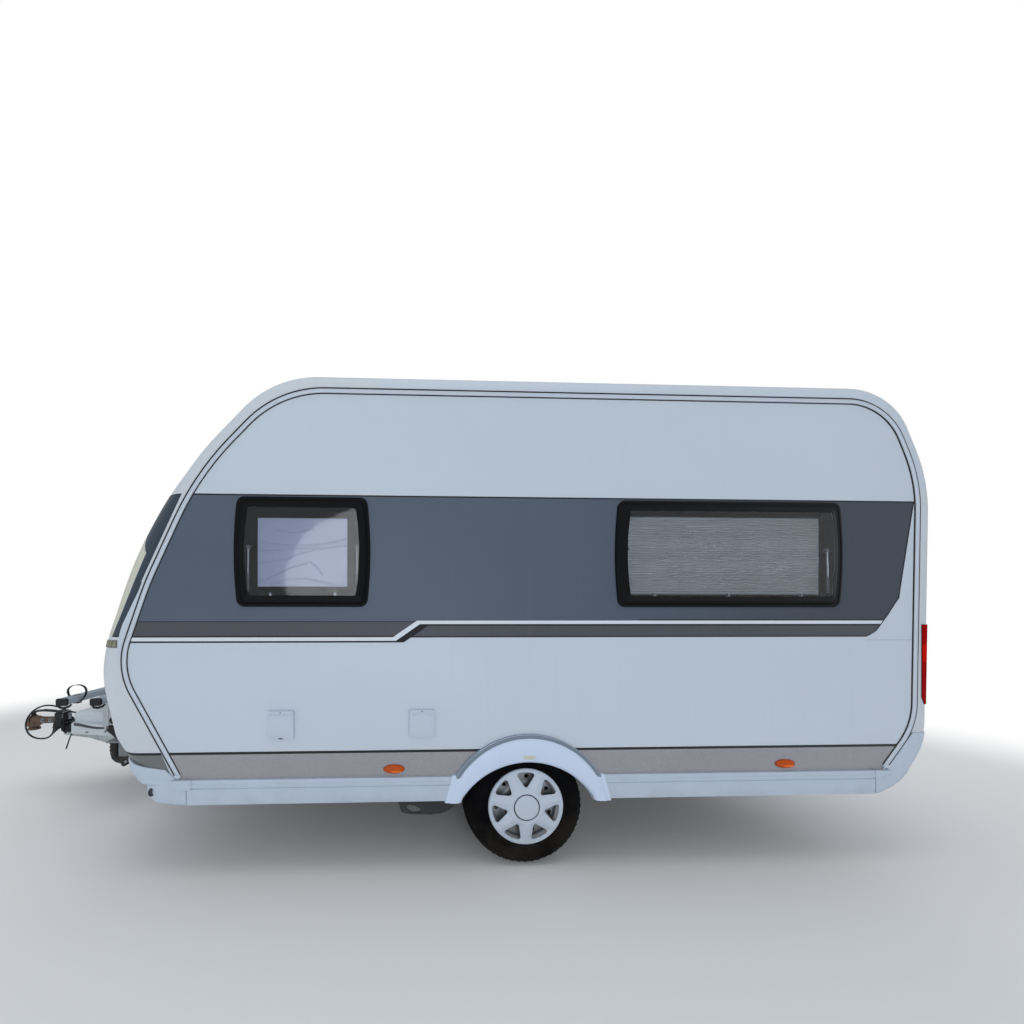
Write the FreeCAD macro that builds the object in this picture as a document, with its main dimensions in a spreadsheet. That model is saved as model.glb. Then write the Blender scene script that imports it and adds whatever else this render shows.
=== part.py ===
import FreeCAD, Part
import os
import Sketcher
from math import cos, pi, radians, sin, sqrt, tan

# Travel caravan, single axle.  Millimetres, +Z up, the front towards -X.
# Every piece is drawn in the axle frame: X counts from the wheel centres, Y from the middle
# plane, Z from the floor.  The last step moves each piece back, so that the model's origin lies
# under the middle of its overall length.

V = FreeCAD.Vector
doc = FreeCAD.newDocument("Caravan")

# ---------------------------------------------------------------- driving sizes
# alias, millimetres or degrees, meaning
SIZE_TABLE = [
    ("half_width", 1095, "middle plane to a side wall's outer face"),
    ("wall", 30, "thickness of the walls, the roof and the door"),
    ("edge_radius", 105, "rounding from the side walls to the front, roof and rear"),
    ("roof_top", 2620, "top of the roof"),
    ("wall_foot", 455, "lower edge of the walls and of the floor panel"),
    ("floor_thickness", 40, "floor panel"),
    ("nose_front", 2262, "wheel centres to the corner that the nose is rounded from"),
    ("rear_back", 2300, "wheel centres to the rear wall's outer face"),
    ("front_seam", 780, "wheel centres to the joint between front wall and roof"),
    ("rear_seam", 2040, "height of the joint between rear wall and roof"),
    ("handle_reach", 42, "rear grab handles, how far they stand out"),
    ("rail_width", 22, "awning rail, across"),
    ("rail_depth", 12, "awning rail, how far it stands proud"),
    ("window_foot", 1394, "lower edge of the windows"),
    ("window_height", 548, "windows, overall height"),
    ("window_bulge", 18, "how far a window's upright edges bow out"),
    ("window_proud", 24, "how far a window stands out from its wall"),
    ("window_lap", 22, "how far a window overlaps the wall around its hole"),
    ("blind_thickness", 8, "roller blind with its frame"),
    ("door_front", 480, "wheel centres back to the door hole's front edge"),
    ("door_width", 640, "door hole, across"),
    ("door_foot", 506, "door hole, lower edge"),
    ("door_height", 1740, "door hole, height"),
    ("door_gap", 8, "gap around the door"),
    ("locker_foot", 742, "gas locker hole, lower edge"),
    ("locker_height", 380, "gas locker hole, height"),
    ("locker_width", 1300, "gas locker hole, across"),
    ("lid_gap", 6, "gap around the lids"),
    ("flap_width", 134, "service flap with its frame, across"),
    ("flap_height", 146, "service flap with its frame, height"),
    ("vent_size", 400, "roof vent lid, each way"),
    ("pin_radius", 5, "hinge pins"),
    ("running_gap", 0.3, "clearance at pins and sockets"),
    ("skirt_top", 500, "top of the side skirts"),
    ("skirt_foot", 372, "lower edge of the side skirts"),
    ("skirt_thickness", 18, "side skirts"),
    ("arch_radius", 449, "outer edge of a wheel arch spat"),
    ("arch_centre", 267, "height of that edge's centre"),
    ("mouth_radius", 419, "wheel opening in the spat"),
    ("mouth_centre", 147, "height of the opening's centre"),
    ("spat_thickness", 26, "wheel arch spat"),
    ("tyre_radius", 320, "tyre, outside"),
    ("tyre_width", 190, "tyre"),
    ("tyre_face", 1077, "middle plane to the tyre's outer side"),
    ("rim_radius", 180, "steel wheel, bead seat"),
    ("flange_depth", 20, "steel wheel, tyre's side to a flange's inner face"),
    ("hubcap_radius", 203, "wheel cover"),
    ("stub_radius", 20, "stub axle"),
    ("box_half", 400, "wheel box, half its length"),
    ("box_top", 700, "top of the wheel box"),
    ("box_inside", 760, "middle plane to the wheel box's inner side"),
    ("rail_y", 500, "middle plane to a chassis member's centre"),
    ("beam_height", 100, "chassis members, height"),
    ("beam_width", 44, "chassis members, across"),
    ("beam_foot", 355, "underside of the chassis members"),
    ("drawbar_tip", 3180, "wheel centres forward to the drawbar members' tips"),
    ("tip_y", 62, "middle plane to a drawbar member's centre at its tip"),
    ("coupling_tip", 3550, "wheel centres forward to the coupling head's front"),
    ("coupling_z", 470, "height of the ball's centre"),
    ("ball_socket", 50.6, "coupling socket, across"),
    ("rack_near", 2590, "wheel centres forward to the rear bicycle rail"),
    ("rack_far", 2800, "wheel centres forward to the front bicycle rail"),
    ("rack_length", 1300, "bicycle rails"),
    ("rack_z", 775, "underside of the bicycle rails"),
    ("jockey_x", 2752, "wheel centres forward to the jockey wheel's tube"),
    ("jockey_y", 238, "middle plane to the jockey wheel's tube, on the door's side"),
    ("jockey_radius", 100, "jockey wheel"),
    ("jockey_trail", 50, "jockey wheel's axle behind its tube"),
    ("steady_reach", 430, "corner steady, pin to foot"),
    ("steady_z", 405, "height of the corner steadies' pins"),
    ("steady_y", 860, "middle plane to a corner steady"),
    ("steady_front", 1760, "wheel centres forward to the front steadies' pins"),
    ("steady_rear", 1900, "wheel centres back to the rear steadies' pins"),
    ("cable_diameter", 12, "connection cable"),
]

sheet = doc.addObject("Spreadsheet::Sheet", "Sizes")
for row, (alias, number, meaning) in enumerate(SIZE_TABLE, start=1):
    sheet.set(f"A{row}", meaning)
    sheet.set(f"B{row}", str(number))
    sheet.setAlias(f"B{row}", alias)
doc.recompute()


class Size:
    """A number with the sheet expression that it comes from."""

    def __init__(self, number, text):
        self.number = number
        self.text = text

    def join(self, other, sign, number):
        return Size(number, f"({self.text} {sign} {as_size(other).text})")

    def __add__(self, other):
        return self.join(other, "+", self.number + as_size(other).number)

    def __sub__(self, other):
        return self.join(other, "-", self.number - as_size(other).number)

    def __mul__(self, other):
        return self.join(other, "*", self.number * as_size(other).number)

    def __truediv__(self, other):
        return self.join(other, "/", self.number / as_size(other).number)

    def __radd__(self, other):
        return as_size(other) + self

    def __rsub__(self, other):
        return as_size(other) - self

    def __rmul__(self, other):
        return as_size(other) * self

    def __neg__(self):
        return Size(-self.number, f"(0 - {self.text})")


def as_size(value):
    return value if isinstance(value, Size) else Size(value, repr(value))


class Sheet:
    """Named access to the sheet's cells."""

    def __getattr__(self, alias):
        return Size(float(sheet.get(alias)), f"Sizes.{alias}")


S = Sheet()
nodes = {}


def bind(thing, prop, value):
    """Set one property to a number and tie it to the sheet."""
    thing.setExpression(prop, as_size(value).text)


def place(thing, x=0, y=0, z=0):
    for axis, value in zip("xyz", (x, y, z)):
        bind(thing, f"Placement.Base.{axis}", value)


def node(name, thing):
    """Make an object the node of that name."""
    thing.Label = name
    nodes[name] = thing
    return thing


# ---------------------------------------------------------------- plain solids
def box(x, y, z, at):
    solid = doc.addObject("Part::Box", "Box")
    bind(solid, "Length", x)
    bind(solid, "Width", y)
    bind(solid, "Height", z)
    place(solid, *at)
    return solid


def rod(radius, length, at, along="z"):
    """A cylinder from at, along one axis."""
    solid = doc.addObject("Part::Cylinder", "Rod")
    bind(solid, "Radius", radius)
    bind(solid, "Height", length)
    place(solid, *at)
    turn = {"z": (V(0, 0, 1), 0), "x": (V(0, 1, 0), 90), "y": (V(1, 0, 0), -90)}[along]
    solid.Placement.Rotation = FreeCAD.Rotation(*turn)
    return solid


def fuse(*solids):
    if len(solids) == 1:
        return solids[0]
    joined = doc.addObject("Part::MultiFuse", "Fuse")
    joined.Shapes = list(solids)
    joined.Refine = True
    return joined


def cut(base, *tools):
    result = doc.addObject("Part::Cut", "Cut")
    result.Base = base
    result.Tool = fuse(*tools)
    return result


def group(*solids):
    """Solids of one node that stay apart."""
    gathered = doc.addObject("Part::Compound", "Group")
    gathered.Links = list(solids)
    return gathered


def mirrored(thing):
    """The same piece on the other side of the middle plane."""
    other = doc.addObject("Part::Mirroring", "Mirror")
    other.Source = thing
    other.Normal = V(0, 1, 0)
    return other


# ---------------------------------------------------------------- sketched solids
PLANES = {"side": "XZ_Plane", "plan": "XY_Plane", "front": "YZ_Plane"}


def plane_of(body, view):
    for plane in body.Origin.OriginFeatures:
        if plane.Role == PLANES[view]:
            return plane
    raise RuntimeError("no plane " + view)


def outline_sketch(body, view, rows, depth=0):
    """A closed outline of straight lines.  rows: across, up."""
    sketch = body.newObject("Sketcher::SketchObject", "Outline")
    sketch.AttachmentSupport = [(plane_of(body, view), "")]
    sketch.MapMode = "FlatFace"
    bind(sketch, "AttachmentOffset.Base.z", depth)
    rows = [(as_size(across), as_size(up)) for across, up in rows]
    count = len(rows)
    for index in range(count):
        start, end = rows[index], rows[(index + 1) % count]
        sketch.addGeometry(Part.LineSegment(V(start[0].number, start[1].number, 0),
                                            V(end[0].number, end[1].number, 0)), False)
    for index in range(count):
        sketch.addConstraint(Sketcher.Constraint("Coincident", index, 2, (index + 1) % count, 1))
    for index, (across, up) in enumerate(rows):
        for kind, value in (("DistanceX", across), ("DistanceY", up)):
            number = sketch.addConstraint(Sketcher.Constraint(kind, -1, 1, index, 1, value.number))
            sketch.setExpression(f"Constraints[{number}]", value.text)
    return sketch


def plate(view, rows, depth, thickness):
    """A body padded from an outline, from depth on along the view's normal."""
    body = doc.addObject("PartDesign::Body", "Plate")
    sketch = outline_sketch(body, view, rows, depth)
    pad = body.newObject("PartDesign::Pad", "Pad")
    pad.Profile = sketch
    bind(pad, "Length", thickness)
    doc.recompute()
    return body


def turned(rows):
    """A body turned about the Y axis from half an outline.  rows: along Y, radius."""
    body = doc.addObject("PartDesign::Body", "Turned")
    sketch = outline_sketch(body, "plan", [(radius, along) for along, radius in rows])
    turn = body.newObject("PartDesign::Revolution", "Turn")
    turn.Profile = sketch
    turn.ReferenceAxis = (sketch, ["V_Axis"])
    turn.Angle = 360
    doc.recompute()
    return body


# ---------------------------------------------------------------- shapes from arcs and offsets
def rounded_wire(rows, place_point):
    """A closed wire with rounded corners.  rows: across, up, corner radius."""
    corners = [(place_point(across, up), radius) for across, up, radius in rows]
    count = len(corners)
    starts, ends, middles = [], [], []
    for index, (point, radius) in enumerate(corners):
        before = (corners[index - 1][0] - point).normalize()
        after = (corners[(index + 1) % count][0] - point).normalize()
        half = before.getAngle(after) / 2
        reach = radius / tan(half)
        starts.append(point + before * reach)
        ends.append(point + after * reach)
        inward = (before + after).normalize()
        middles.append(point + inward * (radius / sin(half) - radius))
    edges = []
    for index in range(count):
        if corners[index][1]:
            edges.append(Part.Arc(starts[index], middles[index], ends[index]).toShape())
        edges.append(Part.LineSegment(ends[index], starts[(index + 1) % count]).toShape())
    return Part.Wire(edges)


def in_side_view(across, up):
    return V(across, 0, up)


def in_plan(across, up):
    return V(across, up, 0)


def prism(wire, y_from, y_to):
    """A solid from a side view wire, between two places across the caravan."""
    solid = Part.Face(wire).extrude(V(0, y_to - y_from, 0))
    solid.translate(V(0, y_from, 0))
    return solid


def block(x_from, x_to, y_from, y_to, z_from, z_to):
    return Part.makeBox(x_to - x_from, y_to - y_from, z_to - z_from, V(x_from, y_from, z_from))


def feature(name, shape):
    thing = doc.addObject("Part::Feature", name)
    thing.Shape = shape
    return node(name, thing)


def solids_of(shape):
    found = shape.removeSplitter().Solids
    return found[0] if len(found) == 1 else Part.makeCompound(found)


# ---------------------------------------------------------------- the shell
HALF = S.half_width.number
WALL = S.wall.number
NOSE = S.nose_front.number
REAR = S.rear_back.number
TOP = S.roof_top.number
FOOT = S.wall_foot.number


def shell_rows(foot):
    """The caravan's side view, from its lower front corner.  across, up, corner radius."""
    drop = FOOT - foot
    return [
        (-NOSE + 272 + 0.78 * drop, foot, 0),
        (-NOSE + 167, 590, 300),
        (-NOSE + 97, 700, 150),
        (-NOSE, 1100, 600),
        (-NOSE + 456, TOP - 493, 1400),
        (-NOSE + 919, TOP, 560),
        (REAR - 226, TOP, 380),
        (REAR, TOP - 525, 900),
        (REAR - 25, 680, 220),
        (REAR - 180 - 0.69 * drop, foot, 0),
    ]


def rail_rows():
    """The line of the awning rail, the side panels' edge.  across, up, corner radius."""
    return [
        (-NOSE + 446, FOOT, 0),
        (-NOSE + 123, 1190, 300),
        (-NOSE + 540, TOP - 550, 1500),
        (-NOSE + 962, TOP - 104, 560),
        (REAR - 311, TOP - 104, 340),
        (REAR - 124, TOP - 540, 800),
        (REAR - 148, 736, 380),
        (REAR - 360, FOOT, 0),
    ]


def rounded_block(wire, half, radius):
    """The side view across the width, with its two long rims rounded."""
    solid = prism(wire, -half, half)
    rims = []
    for edge in solid.Edges:
        middle = edge.valueAt((edge.FirstParameter + edge.LastParameter) / 2)
        flat = edge.BoundBox.ZLength < 1 and middle.z < FOOT + 1
        if abs(abs(middle.y) - half) < 0.01 and edge.BoundBox.YLength < 1 and not flat:
            rims.append(edge)
    return solid.makeFillet(radius, rims)


outer_wire = rounded_wire(shell_rows(FOOT), in_side_view)
deep_wire = rounded_wire(shell_rows(FOOT - 120), in_side_view)
rail_wire = rounded_wire(rail_rows(), in_side_view)
outer_block = rounded_block(outer_wire, HALF, S.edge_radius.number)
inner_block = rounded_block(deep_wire.makeOffset2D(-WALL), HALF - WALL, S.edge_radius.number - WALL)
shell = outer_block.cut(inner_block)
NOSE_FACE = outer_wire.BoundBox.XMin
side_zone = {-1: prism(rail_wire, -HALF - 1, -HALF + WALL + 60),
             1: prism(rail_wire, HALF - WALL - 60, HALF + 1)}


def window_wire(x_from, x_to, inset):
    """A window's outline: straight sills, bowed uprights.  inset narrows it all round."""
    foot = S.window_foot.number + inset
    top = S.window_foot.number + S.window_height.number - inset
    bow = S.window_bulge.number
    left, right, middle = x_from + inset, x_to - inset, (foot + top) / 2
    corner = 45
    turn = corner * 0.29
    edges = [
        Part.LineSegment(V(left + corner, 0, foot), V(right - corner, 0, foot)),
        Part.Arc(V(right - corner, 0, foot), V(right - turn, 0, foot + turn), V(right, 0, foot + corner)),
        Part.Arc(V(right, 0, foot + corner), V(right + bow, 0, middle), V(right, 0, top - corner)),
        Part.Arc(V(right, 0, top - corner), V(right - turn, 0, top - turn), V(right - corner, 0, top)),
        Part.LineSegment(V(right - corner, 0, top), V(left + corner, 0, top)),
        Part.Arc(V(left + corner, 0, top), V(left + turn, 0, top - turn), V(left, 0, top - corner)),
        Part.Arc(V(left, 0, top - corner), V(left - bow, 0, middle), V(left, 0, foot + corner)),
        Part.Arc(V(left, 0, foot + corner), V(left + turn, 0, foot + turn), V(left + corner, 0, foot)),
    ]
    return Part.Wire([edge.toShape() for edge in edges])


# side, front edge, rear edge of each side window, in the axle frame
SIDE_WINDOWS = [
    (-1, -1510, -846),
    (-1, 488, 1708),
    (1, -1510, -846),
    (1, 1290, 1800),
]


def across(side, near, far):
    """The two places of a stretch measured outwards from the middle plane."""
    return sorted((side * near, side * far))


def window_parts(side, front, rear):
    """The hole, the pane with its lap, and the blind of one side window."""
    lap = S.window_lap.number
    hole = prism(window_wire(front, rear, lap), *across(side, HALF - WALL - 1, HALF + 1))
    pane = prism(window_wire(front, rear, 0), *across(side, HALF, HALF + S.window_proud.number))
    plug = prism(window_wire(front, rear, lap + 3), *across(side, HALF - WALL + 12, HALF))
    inside = HALF - WALL
    blind = prism(window_wire(front, rear, -6), *across(side, inside - S.blind_thickness.number, inside))
    return hole, pane.fuse(plug), blind


def arch_hole(side):
    """The wheel's hole through a side wall, hidden behind the spat."""
    hole = Part.makeCylinder(S.arch_radius.number - 18, WALL + 4,
                             V(0, -side * 2 + side * (HALF - WALL), S.arch_centre.number), V(0, side, 0))
    return hole


window_holes = {-1: [], 1: []}
panes, blinds = [], []
for side, front, rear in SIDE_WINDOWS:
    hole, pane, blind = window_parts(side, front, rear)
    window_holes[side].append(hole)
    panes.append(pane)
    blinds.append(blind)

# Service flaps on the left wall: front edge of each, in the axle frame
FLAPS = [("front_service_flap", -1354), ("rear_service_flap", -627)]
FLAP_FOOT = 703
FLAP_RIM = 14
FLAP_DEPTH = 10
BARREL = 6


def flap_hole(front):
    width, height = S.flap_width.number, S.flap_height.number
    return block(front + FLAP_RIM, front + width - FLAP_RIM, -HALF - 1, -HALF + WALL + 1,
                 FLAP_FOOT + FLAP_RIM, FLAP_FOOT + height - FLAP_RIM)


def door_wire(inset):
    """The door hole with round upper corners, in the side view."""
    left = S.door_front.number + inset
    right = S.door_front.number + S.door_width.number - inset
    foot = S.door_foot.number + inset
    top = S.door_foot.number + S.door_height.number - inset
    upper, lower = 110 - inset, 40 - inset
    return rounded_wire([(left, foot, lower), (right, foot, lower), (right, top, upper),
                         (left, top, upper)], in_side_view)


door_hole = prism(door_wire(0), HALF - WALL - 1, HALF + 1)

left_wall = shell.common(side_zone[-1]).cut([*window_holes[-1], arch_hole(-1),
                                             *[flap_hole(front) for _, front in FLAPS]])
right_wall = shell.common(side_zone[1]).cut([*window_holes[1], arch_hole(1), door_hole])
band = shell.cut([side_zone[-1], side_zone[1]])

front_zone = block(-NOSE - 200, -S.front_seam.number, -HALF - 50, HALF + 50, 0, TOP + 100)
rear_zone = block(1500, REAR + 200, -HALF - 50, HALF + 50, 0, S.rear_seam.number)

PANE_HALF = 960
PANE_FOOT = 1245
PANE_TOP = 1940
front_pane_zone = block(-NOSE - 200, -1500, -PANE_HALF, PANE_HALF, PANE_FOOT, PANE_TOP)


def locker_zone(gap):
    half = S.locker_width.number / 2 - gap
    foot = S.locker_foot.number + gap
    return block(-NOSE - 200, -1800, -half, half, foot, foot + S.locker_height.number - 2 * gap)


REAR_PANE_HALF = 600
rear_pane_zone = block(1900, REAR + 200, -REAR_PANE_HALF, REAR_PANE_HALF,
                       S.window_foot.number, S.window_foot.number + S.window_height.number)

front_band = band.common(front_zone)
rear_band = band.common(rear_zone)
roof_band = band.cut([front_zone, rear_zone])

# Roof vents: name, middle of the hole in the axle frame
VENTS = [("front_roof_vent", -560), ("rear_roof_vent", 1050)]


def vent_zone(middle, half, z_from, z_to):
    return block(middle - half, middle + half, -half, half, z_from, z_to)


vent_half = S.vent_size.number / 2
vent_holes = [vent_zone(middle, vent_half - 30, TOP - WALL - 1, TOP + 1) for _, middle in VENTS]

feature("left_side_wall", solids_of(left_wall))
feature("right_side_wall", solids_of(right_wall))
feature("front_wall", solids_of(front_band.cut([front_pane_zone, locker_zone(0)])))
feature("front_window", solids_of(front_band.common(front_pane_zone)))
feature("rear_wall", solids_of(rear_band.cut(rear_pane_zone)))
feature("rear_window", solids_of(rear_band.common(rear_pane_zone)))
feature("roof", solids_of(roof_band.cut(vent_holes)))
feature("side_windows", Part.makeCompound(panes))

thin_ring = prism(deep_wire.makeOffset2D(-WALL), -HALF, HALF).cut(
    prism(deep_wire.makeOffset2D(-WALL - S.blind_thickness.number), -HALF - 1, HALF + 1))
blinds.append(thin_ring.common(block(-NOSE - 200, -1500, -PANE_HALF - 10, PANE_HALF + 10,
                                     PANE_FOOT - 10, PANE_TOP + 10)))
blinds.append(thin_ring.common(block(1900, REAR, -REAR_PANE_HALF - 10, REAR_PANE_HALF + 10,
                                     S.window_foot.number - 10, S.window_foot.number + 558)))
feature("window_blinds", Part.makeCompound([solid for blind in blinds for solid in blind.Solids]))

rail_inner = rail_wire.makeOffset2D(-S.rail_width.number)
RAIL_START = 14
rails = []
for side in (-1, 1):
    ring = prism(rail_wire, *across(side, HALF, HALF + S.rail_depth.number)).cut(
        prism(rail_inner, *across(side, HALF - 1, HALF + S.rail_depth.number + 1)))
    rails.append(ring.cut(block(-NOSE, REAR, -HALF - 50, HALF + 50, 0, S.skirt_top.number + RAIL_START)))
feature("awning_rails", Part.makeCompound([solid for ring in rails for solid in ring.Solids]))

# ---------------------------------------------------------------- floor and wheel boxes
box_y = S.box_inside
side_inside = S.half_width - S.wall
floor_front = -S.nose_front + 200
floor_rear = S.rear_back - 100
floor_body = box(floor_rear - floor_front, 2 * side_inside, S.floor_thickness,
                 (floor_front, -side_inside, S.wall_foot))
notches = [box(2 * S.box_half, side_inside - box_y + 1, S.floor_thickness + 2,
               (-S.box_half, near, S.wall_foot - 1)) for near in (-side_inside - 1, box_y)]
inside = doc.addObject("Part::Feature", "Inside")
inside.Shape = inner_block
floor_trimmed = doc.addObject("Part::Common", "FloorWithinWalls")
floor_trimmed.Base = floor_body
floor_trimmed.Tool = inside
node("floor_panel", cut(floor_trimmed, *notches))

BOX_SKIN = 6
outer_box = box(2 * S.box_half, side_inside - box_y, S.box_top - S.wall_foot,
                (-S.box_half, -side_inside, S.wall_foot))
inner_box = box(2 * S.box_half - 2 * BOX_SKIN, side_inside - box_y - BOX_SKIN + 1,
                S.box_top - S.wall_foot - BOX_SKIN + 1,
                (-S.box_half + BOX_SKIN, -side_inside - 1, S.wall_foot - 1))
left_box = cut(outer_box, inner_box)
node("wheel_boxes", group(left_box, mirrored(left_box)))

# ---------------------------------------------------------------- skirts, arches and bumpers
skirt_y = S.half_width + S.running_gap
skirt_height = S.skirt_top - S.skirt_foot
SPAT_END = 425
front_skirt_start = -S.nose_front + 520
rear_skirt_end = S.rear_back - 470
front_skirt = box(-front_skirt_start - SPAT_END, S.skirt_thickness, skirt_height,
                  (front_skirt_start, -skirt_y - S.skirt_thickness, S.skirt_foot))
rear_skirt = box(rear_skirt_end - SPAT_END, S.skirt_thickness, skirt_height,
                 (SPAT_END, -skirt_y - S.skirt_thickness, S.skirt_foot))
node("side_skirts", group(front_skirt, rear_skirt, mirrored(front_skirt), mirrored(rear_skirt)))


def arc_rows(centre, radius, half_span):
    """The two ends and the top of an arc over the wheel."""
    rise = sqrt(radius * radius - half_span * half_span)
    return V(-half_span, 0, centre + rise), V(0, 0, centre + radius), V(half_span, 0, centre + rise)


def spat_wire():
    foot = S.skirt_foot.number - 8
    outer = arc_rows(S.arch_centre.number, S.arch_radius.number, 381)
    mouth = arc_rows(S.mouth_centre.number, S.mouth_radius.number, 345)
    return Part.Wire([
        Part.Arc(*outer).toShape(),
        Part.LineSegment(outer[2], V(SPAT_END, 0, S.skirt_top.number - 40)).toShape(),
        Part.LineSegment(V(SPAT_END, 0, S.skirt_top.number - 40), V(SPAT_END, 0, foot)).toShape(),
        Part.LineSegment(V(SPAT_END, 0, foot), V(352, 0, foot)).toShape(),
        Part.LineSegment(V(352, 0, foot), mouth[2]).toShape(),
        Part.Arc(mouth[2], mouth[1], mouth[0]).toShape(),
        Part.LineSegment(mouth[0], V(-352, 0, foot)).toShape(),
        Part.LineSegment(V(-352, 0, foot), V(-SPAT_END, 0, foot)).toShape(),
        Part.LineSegment(V(-SPAT_END, 0, foot), V(-SPAT_END, 0, S.skirt_top.number - 40)).toShape(),
        Part.LineSegment(V(-SPAT_END, 0, S.skirt_top.number - 40), outer[0]).toShape(),
    ])


spat_near = HALF + S.running_gap.number
spat_far = spat_near + S.spat_thickness.number
spats = [prism(spat_wire(), *across(side, spat_near, spat_far)) for side in (-1, 1)]
feature("wheel_arch_spats", Part.makeCompound(spats))


def bumper(rows, x_from, x_to, corners):
    """A wrap-round bumper: its side view, cut from a rounded ring in plan, less the shell."""
    half = HALF + S.skirt_thickness.number
    front_round, rear_round = corners
    plan = rounded_wire([(x_from, -half, front_round), (x_to, -half, rear_round),
                         (x_to, half, rear_round), (x_from, half, front_round)], in_plan)
    ring = Part.Face(plan).extrude(V(0, 0, 800))
    hollow = Part.Face(plan.makeOffset2D(-WALL)).extrude(V(0, 0, 800))
    open_side = block(x_from + 300, x_to + 1, -half + WALL, half - WALL, 0, 800) if front_round else \
        block(x_from - 1, x_to - 300, -half + WALL, half - WALL, 0, 800)
    side_view = prism(rounded_wire(rows, in_side_view), -half - 1, half + 1)
    return solids_of(side_view.common(ring.cut([hollow, open_side])).cut([outer_block, under_floor]))


under_floor = block(-NOSE + 302, REAR - 212, -HALF, HALF, FOOT - 0.1, 600)
front_end, rear_end = front_skirt_start.number, rear_skirt_end.number
skirt_low, skirt_high = S.skirt_foot.number, S.skirt_top.number
feature("front_bumper", bumper([
    (front_end, skirt_low, 0), (front_end, skirt_high, 0), (-NOSE + 420, skirt_high, 60),
    (-NOSE + 180, 605, 30), (-NOSE + 196, 520, 60), (-NOSE + 300, 405, 90), (-NOSE + 420, skirt_low, 0),
], -NOSE + 182, front_end, (180, 0)))
feature("rear_bumper", bumper([
    (rear_end, skirt_high, 0), (rear_end, skirt_low, 0), (REAR - 400, skirt_low, 60),
    (REAR - 262, 408, 80), (REAR - 85, 560, 60), (REAR - 85, 640, 20), (REAR - 300, skirt_high, 60),
], rear_end, REAR - 85, (0, 180)))

# ---------------------------------------------------------------- lamps and handles
LAMP_PROUD = 9
LAMP_FOOT, LAMP_TOP = 868, 1292


def wrapped_lamp(side):
    """A tail lamp bent round the rear corner, sitting on the shell."""
    radius = S.edge_radius.number
    plan = rounded_wire([(REAR - 400, -HALF - LAMP_PROUD, 0), (REAR + LAMP_PROUD, -HALF - LAMP_PROUD, radius),
                         (REAR + LAMP_PROUD, HALF + LAMP_PROUD, radius), (REAR - 400, HALF + LAMP_PROUD, 0)],
                        in_plan)
    skin = Part.Face(plan).extrude(V(0, 0, LAMP_TOP - LAMP_FOOT))
    skin.translate(V(0, 0, LAMP_FOOT))
    near, far = across(side, HALF - 190, HALF - 4)
    return skin.common(block(REAR - 90, REAR + 50, near, far, 0, 2000)).cut(outer_block)


feature("tail_lamps", Part.makeCompound([solid for side in (-1, 1) for solid in wrapped_lamp(side).Solids]))

# wheel centres to the lamp's middle
SIDE_MARKERS = [-706, 1406]
MARKER_Z = 541
MARKER_HALF_LENGTH, MARKER_HALF_HEIGHT, MARKER_PROUD = 57, 25, 14


def oval_lamp(middle):
    """An oval amber lamp on the left wall."""
    straight = MARKER_HALF_LENGTH - MARKER_HALF_HEIGHT
    low, high = MARKER_Z - MARKER_HALF_HEIGHT, MARKER_Z + MARKER_HALF_HEIGHT
    left, right = middle - straight, middle + straight
    wire = Part.Wire([
        Part.LineSegment(V(left, 0, low), V(right, 0, low)).toShape(),
        Part.Arc(V(right, 0, low), V(right + MARKER_HALF_HEIGHT, 0, MARKER_Z), V(right, 0, high)).toShape(),
        Part.LineSegment(V(right, 0, high), V(left, 0, high)).toShape(),
        Part.Arc(V(left, 0, high), V(left - MARKER_HALF_HEIGHT, 0, MARKER_Z), V(left, 0, low)).toShape(),
    ])
    return wire


markers = [prism(oval_lamp(middle), *across(side, HALF, HALF + MARKER_PROUD))
           for side in (-1, 1) for middle in SIDE_MARKERS]
feature("side_marker_lamps", Part.makeCompound(markers))

FRONT_MARKER_Z = 1168
front_markers = []
for side in (-1, 1):
    near, far = across(side, 880, 980)
    lens = block(NOSE_FACE - 12, NOSE_FACE + 60, near, far, FRONT_MARKER_Z, FRONT_MARKER_Z + 40)
    front_markers.append(lens.cut(outer_block))
feature("front_marker_lamps", Part.makeCompound([solid for lens in front_markers for solid in lens.Solids]))


HANDLE_RADIUS = 11


def rear_handle(side):
    """A grab handle: an upright bar on two feet."""
    x, y, z, length = REAR - 14, side * 840, 1000, 320
    stand = S.handle_reach.number + 14 - HANDLE_RADIUS
    bar = Part.makeCylinder(HANDLE_RADIUS, length, V(x + stand, y, z), V(0, 0, 1))
    feet = [Part.makeCylinder(9, stand, V(x, y, z + up), V(1, 0, 0)) for up in (22, length - 22)]
    return bar.fuse(feet).cut(outer_block)


feature("grab_handles", Part.makeCompound([solid for side in (-1, 1) for solid in rear_handle(side).Solids]))

# ---------------------------------------------------------------- moving lids and the door
PIN = S.pin_radius.number
GAP = S.running_gap.number
EAR = 9


def hinge_parts(start, along, length, foot_block):
    """A pin with its ear on the fixed side and a knuckle on the moving side."""
    pin = Part.makeCylinder(PIN, length, start, along)
    ear = Part.makeCylinder(PIN + EAR, length / 3 - 1, start, along).fuse(foot_block)
    knuckle = Part.makeCylinder(PIN + EAR, length * 2 / 3, start + along * (length / 3), along)
    bore = Part.makeCylinder(PIN + GAP, length * 2 / 3 + 2, start + along * (length / 3 - 1), along)
    return pin.fuse(ear), knuckle, bore


door_gap = S.door_gap.number
door_leaf = prism(door_wire(door_gap), HALF - WALL, HALF)
DOOR_PANE = (S.door_front.number + 150, S.door_front.number + 490, 1560, 2000)


def door_pane_wire(inset):
    left, right, foot, top = DOOR_PANE
    corner = 60 - inset
    return rounded_wire([(left + inset, foot + inset, corner), (right - inset, foot + inset, corner),
                         (right - inset, top - inset, corner), (left + inset, top - inset, corner)],
                        in_side_view)


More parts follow.
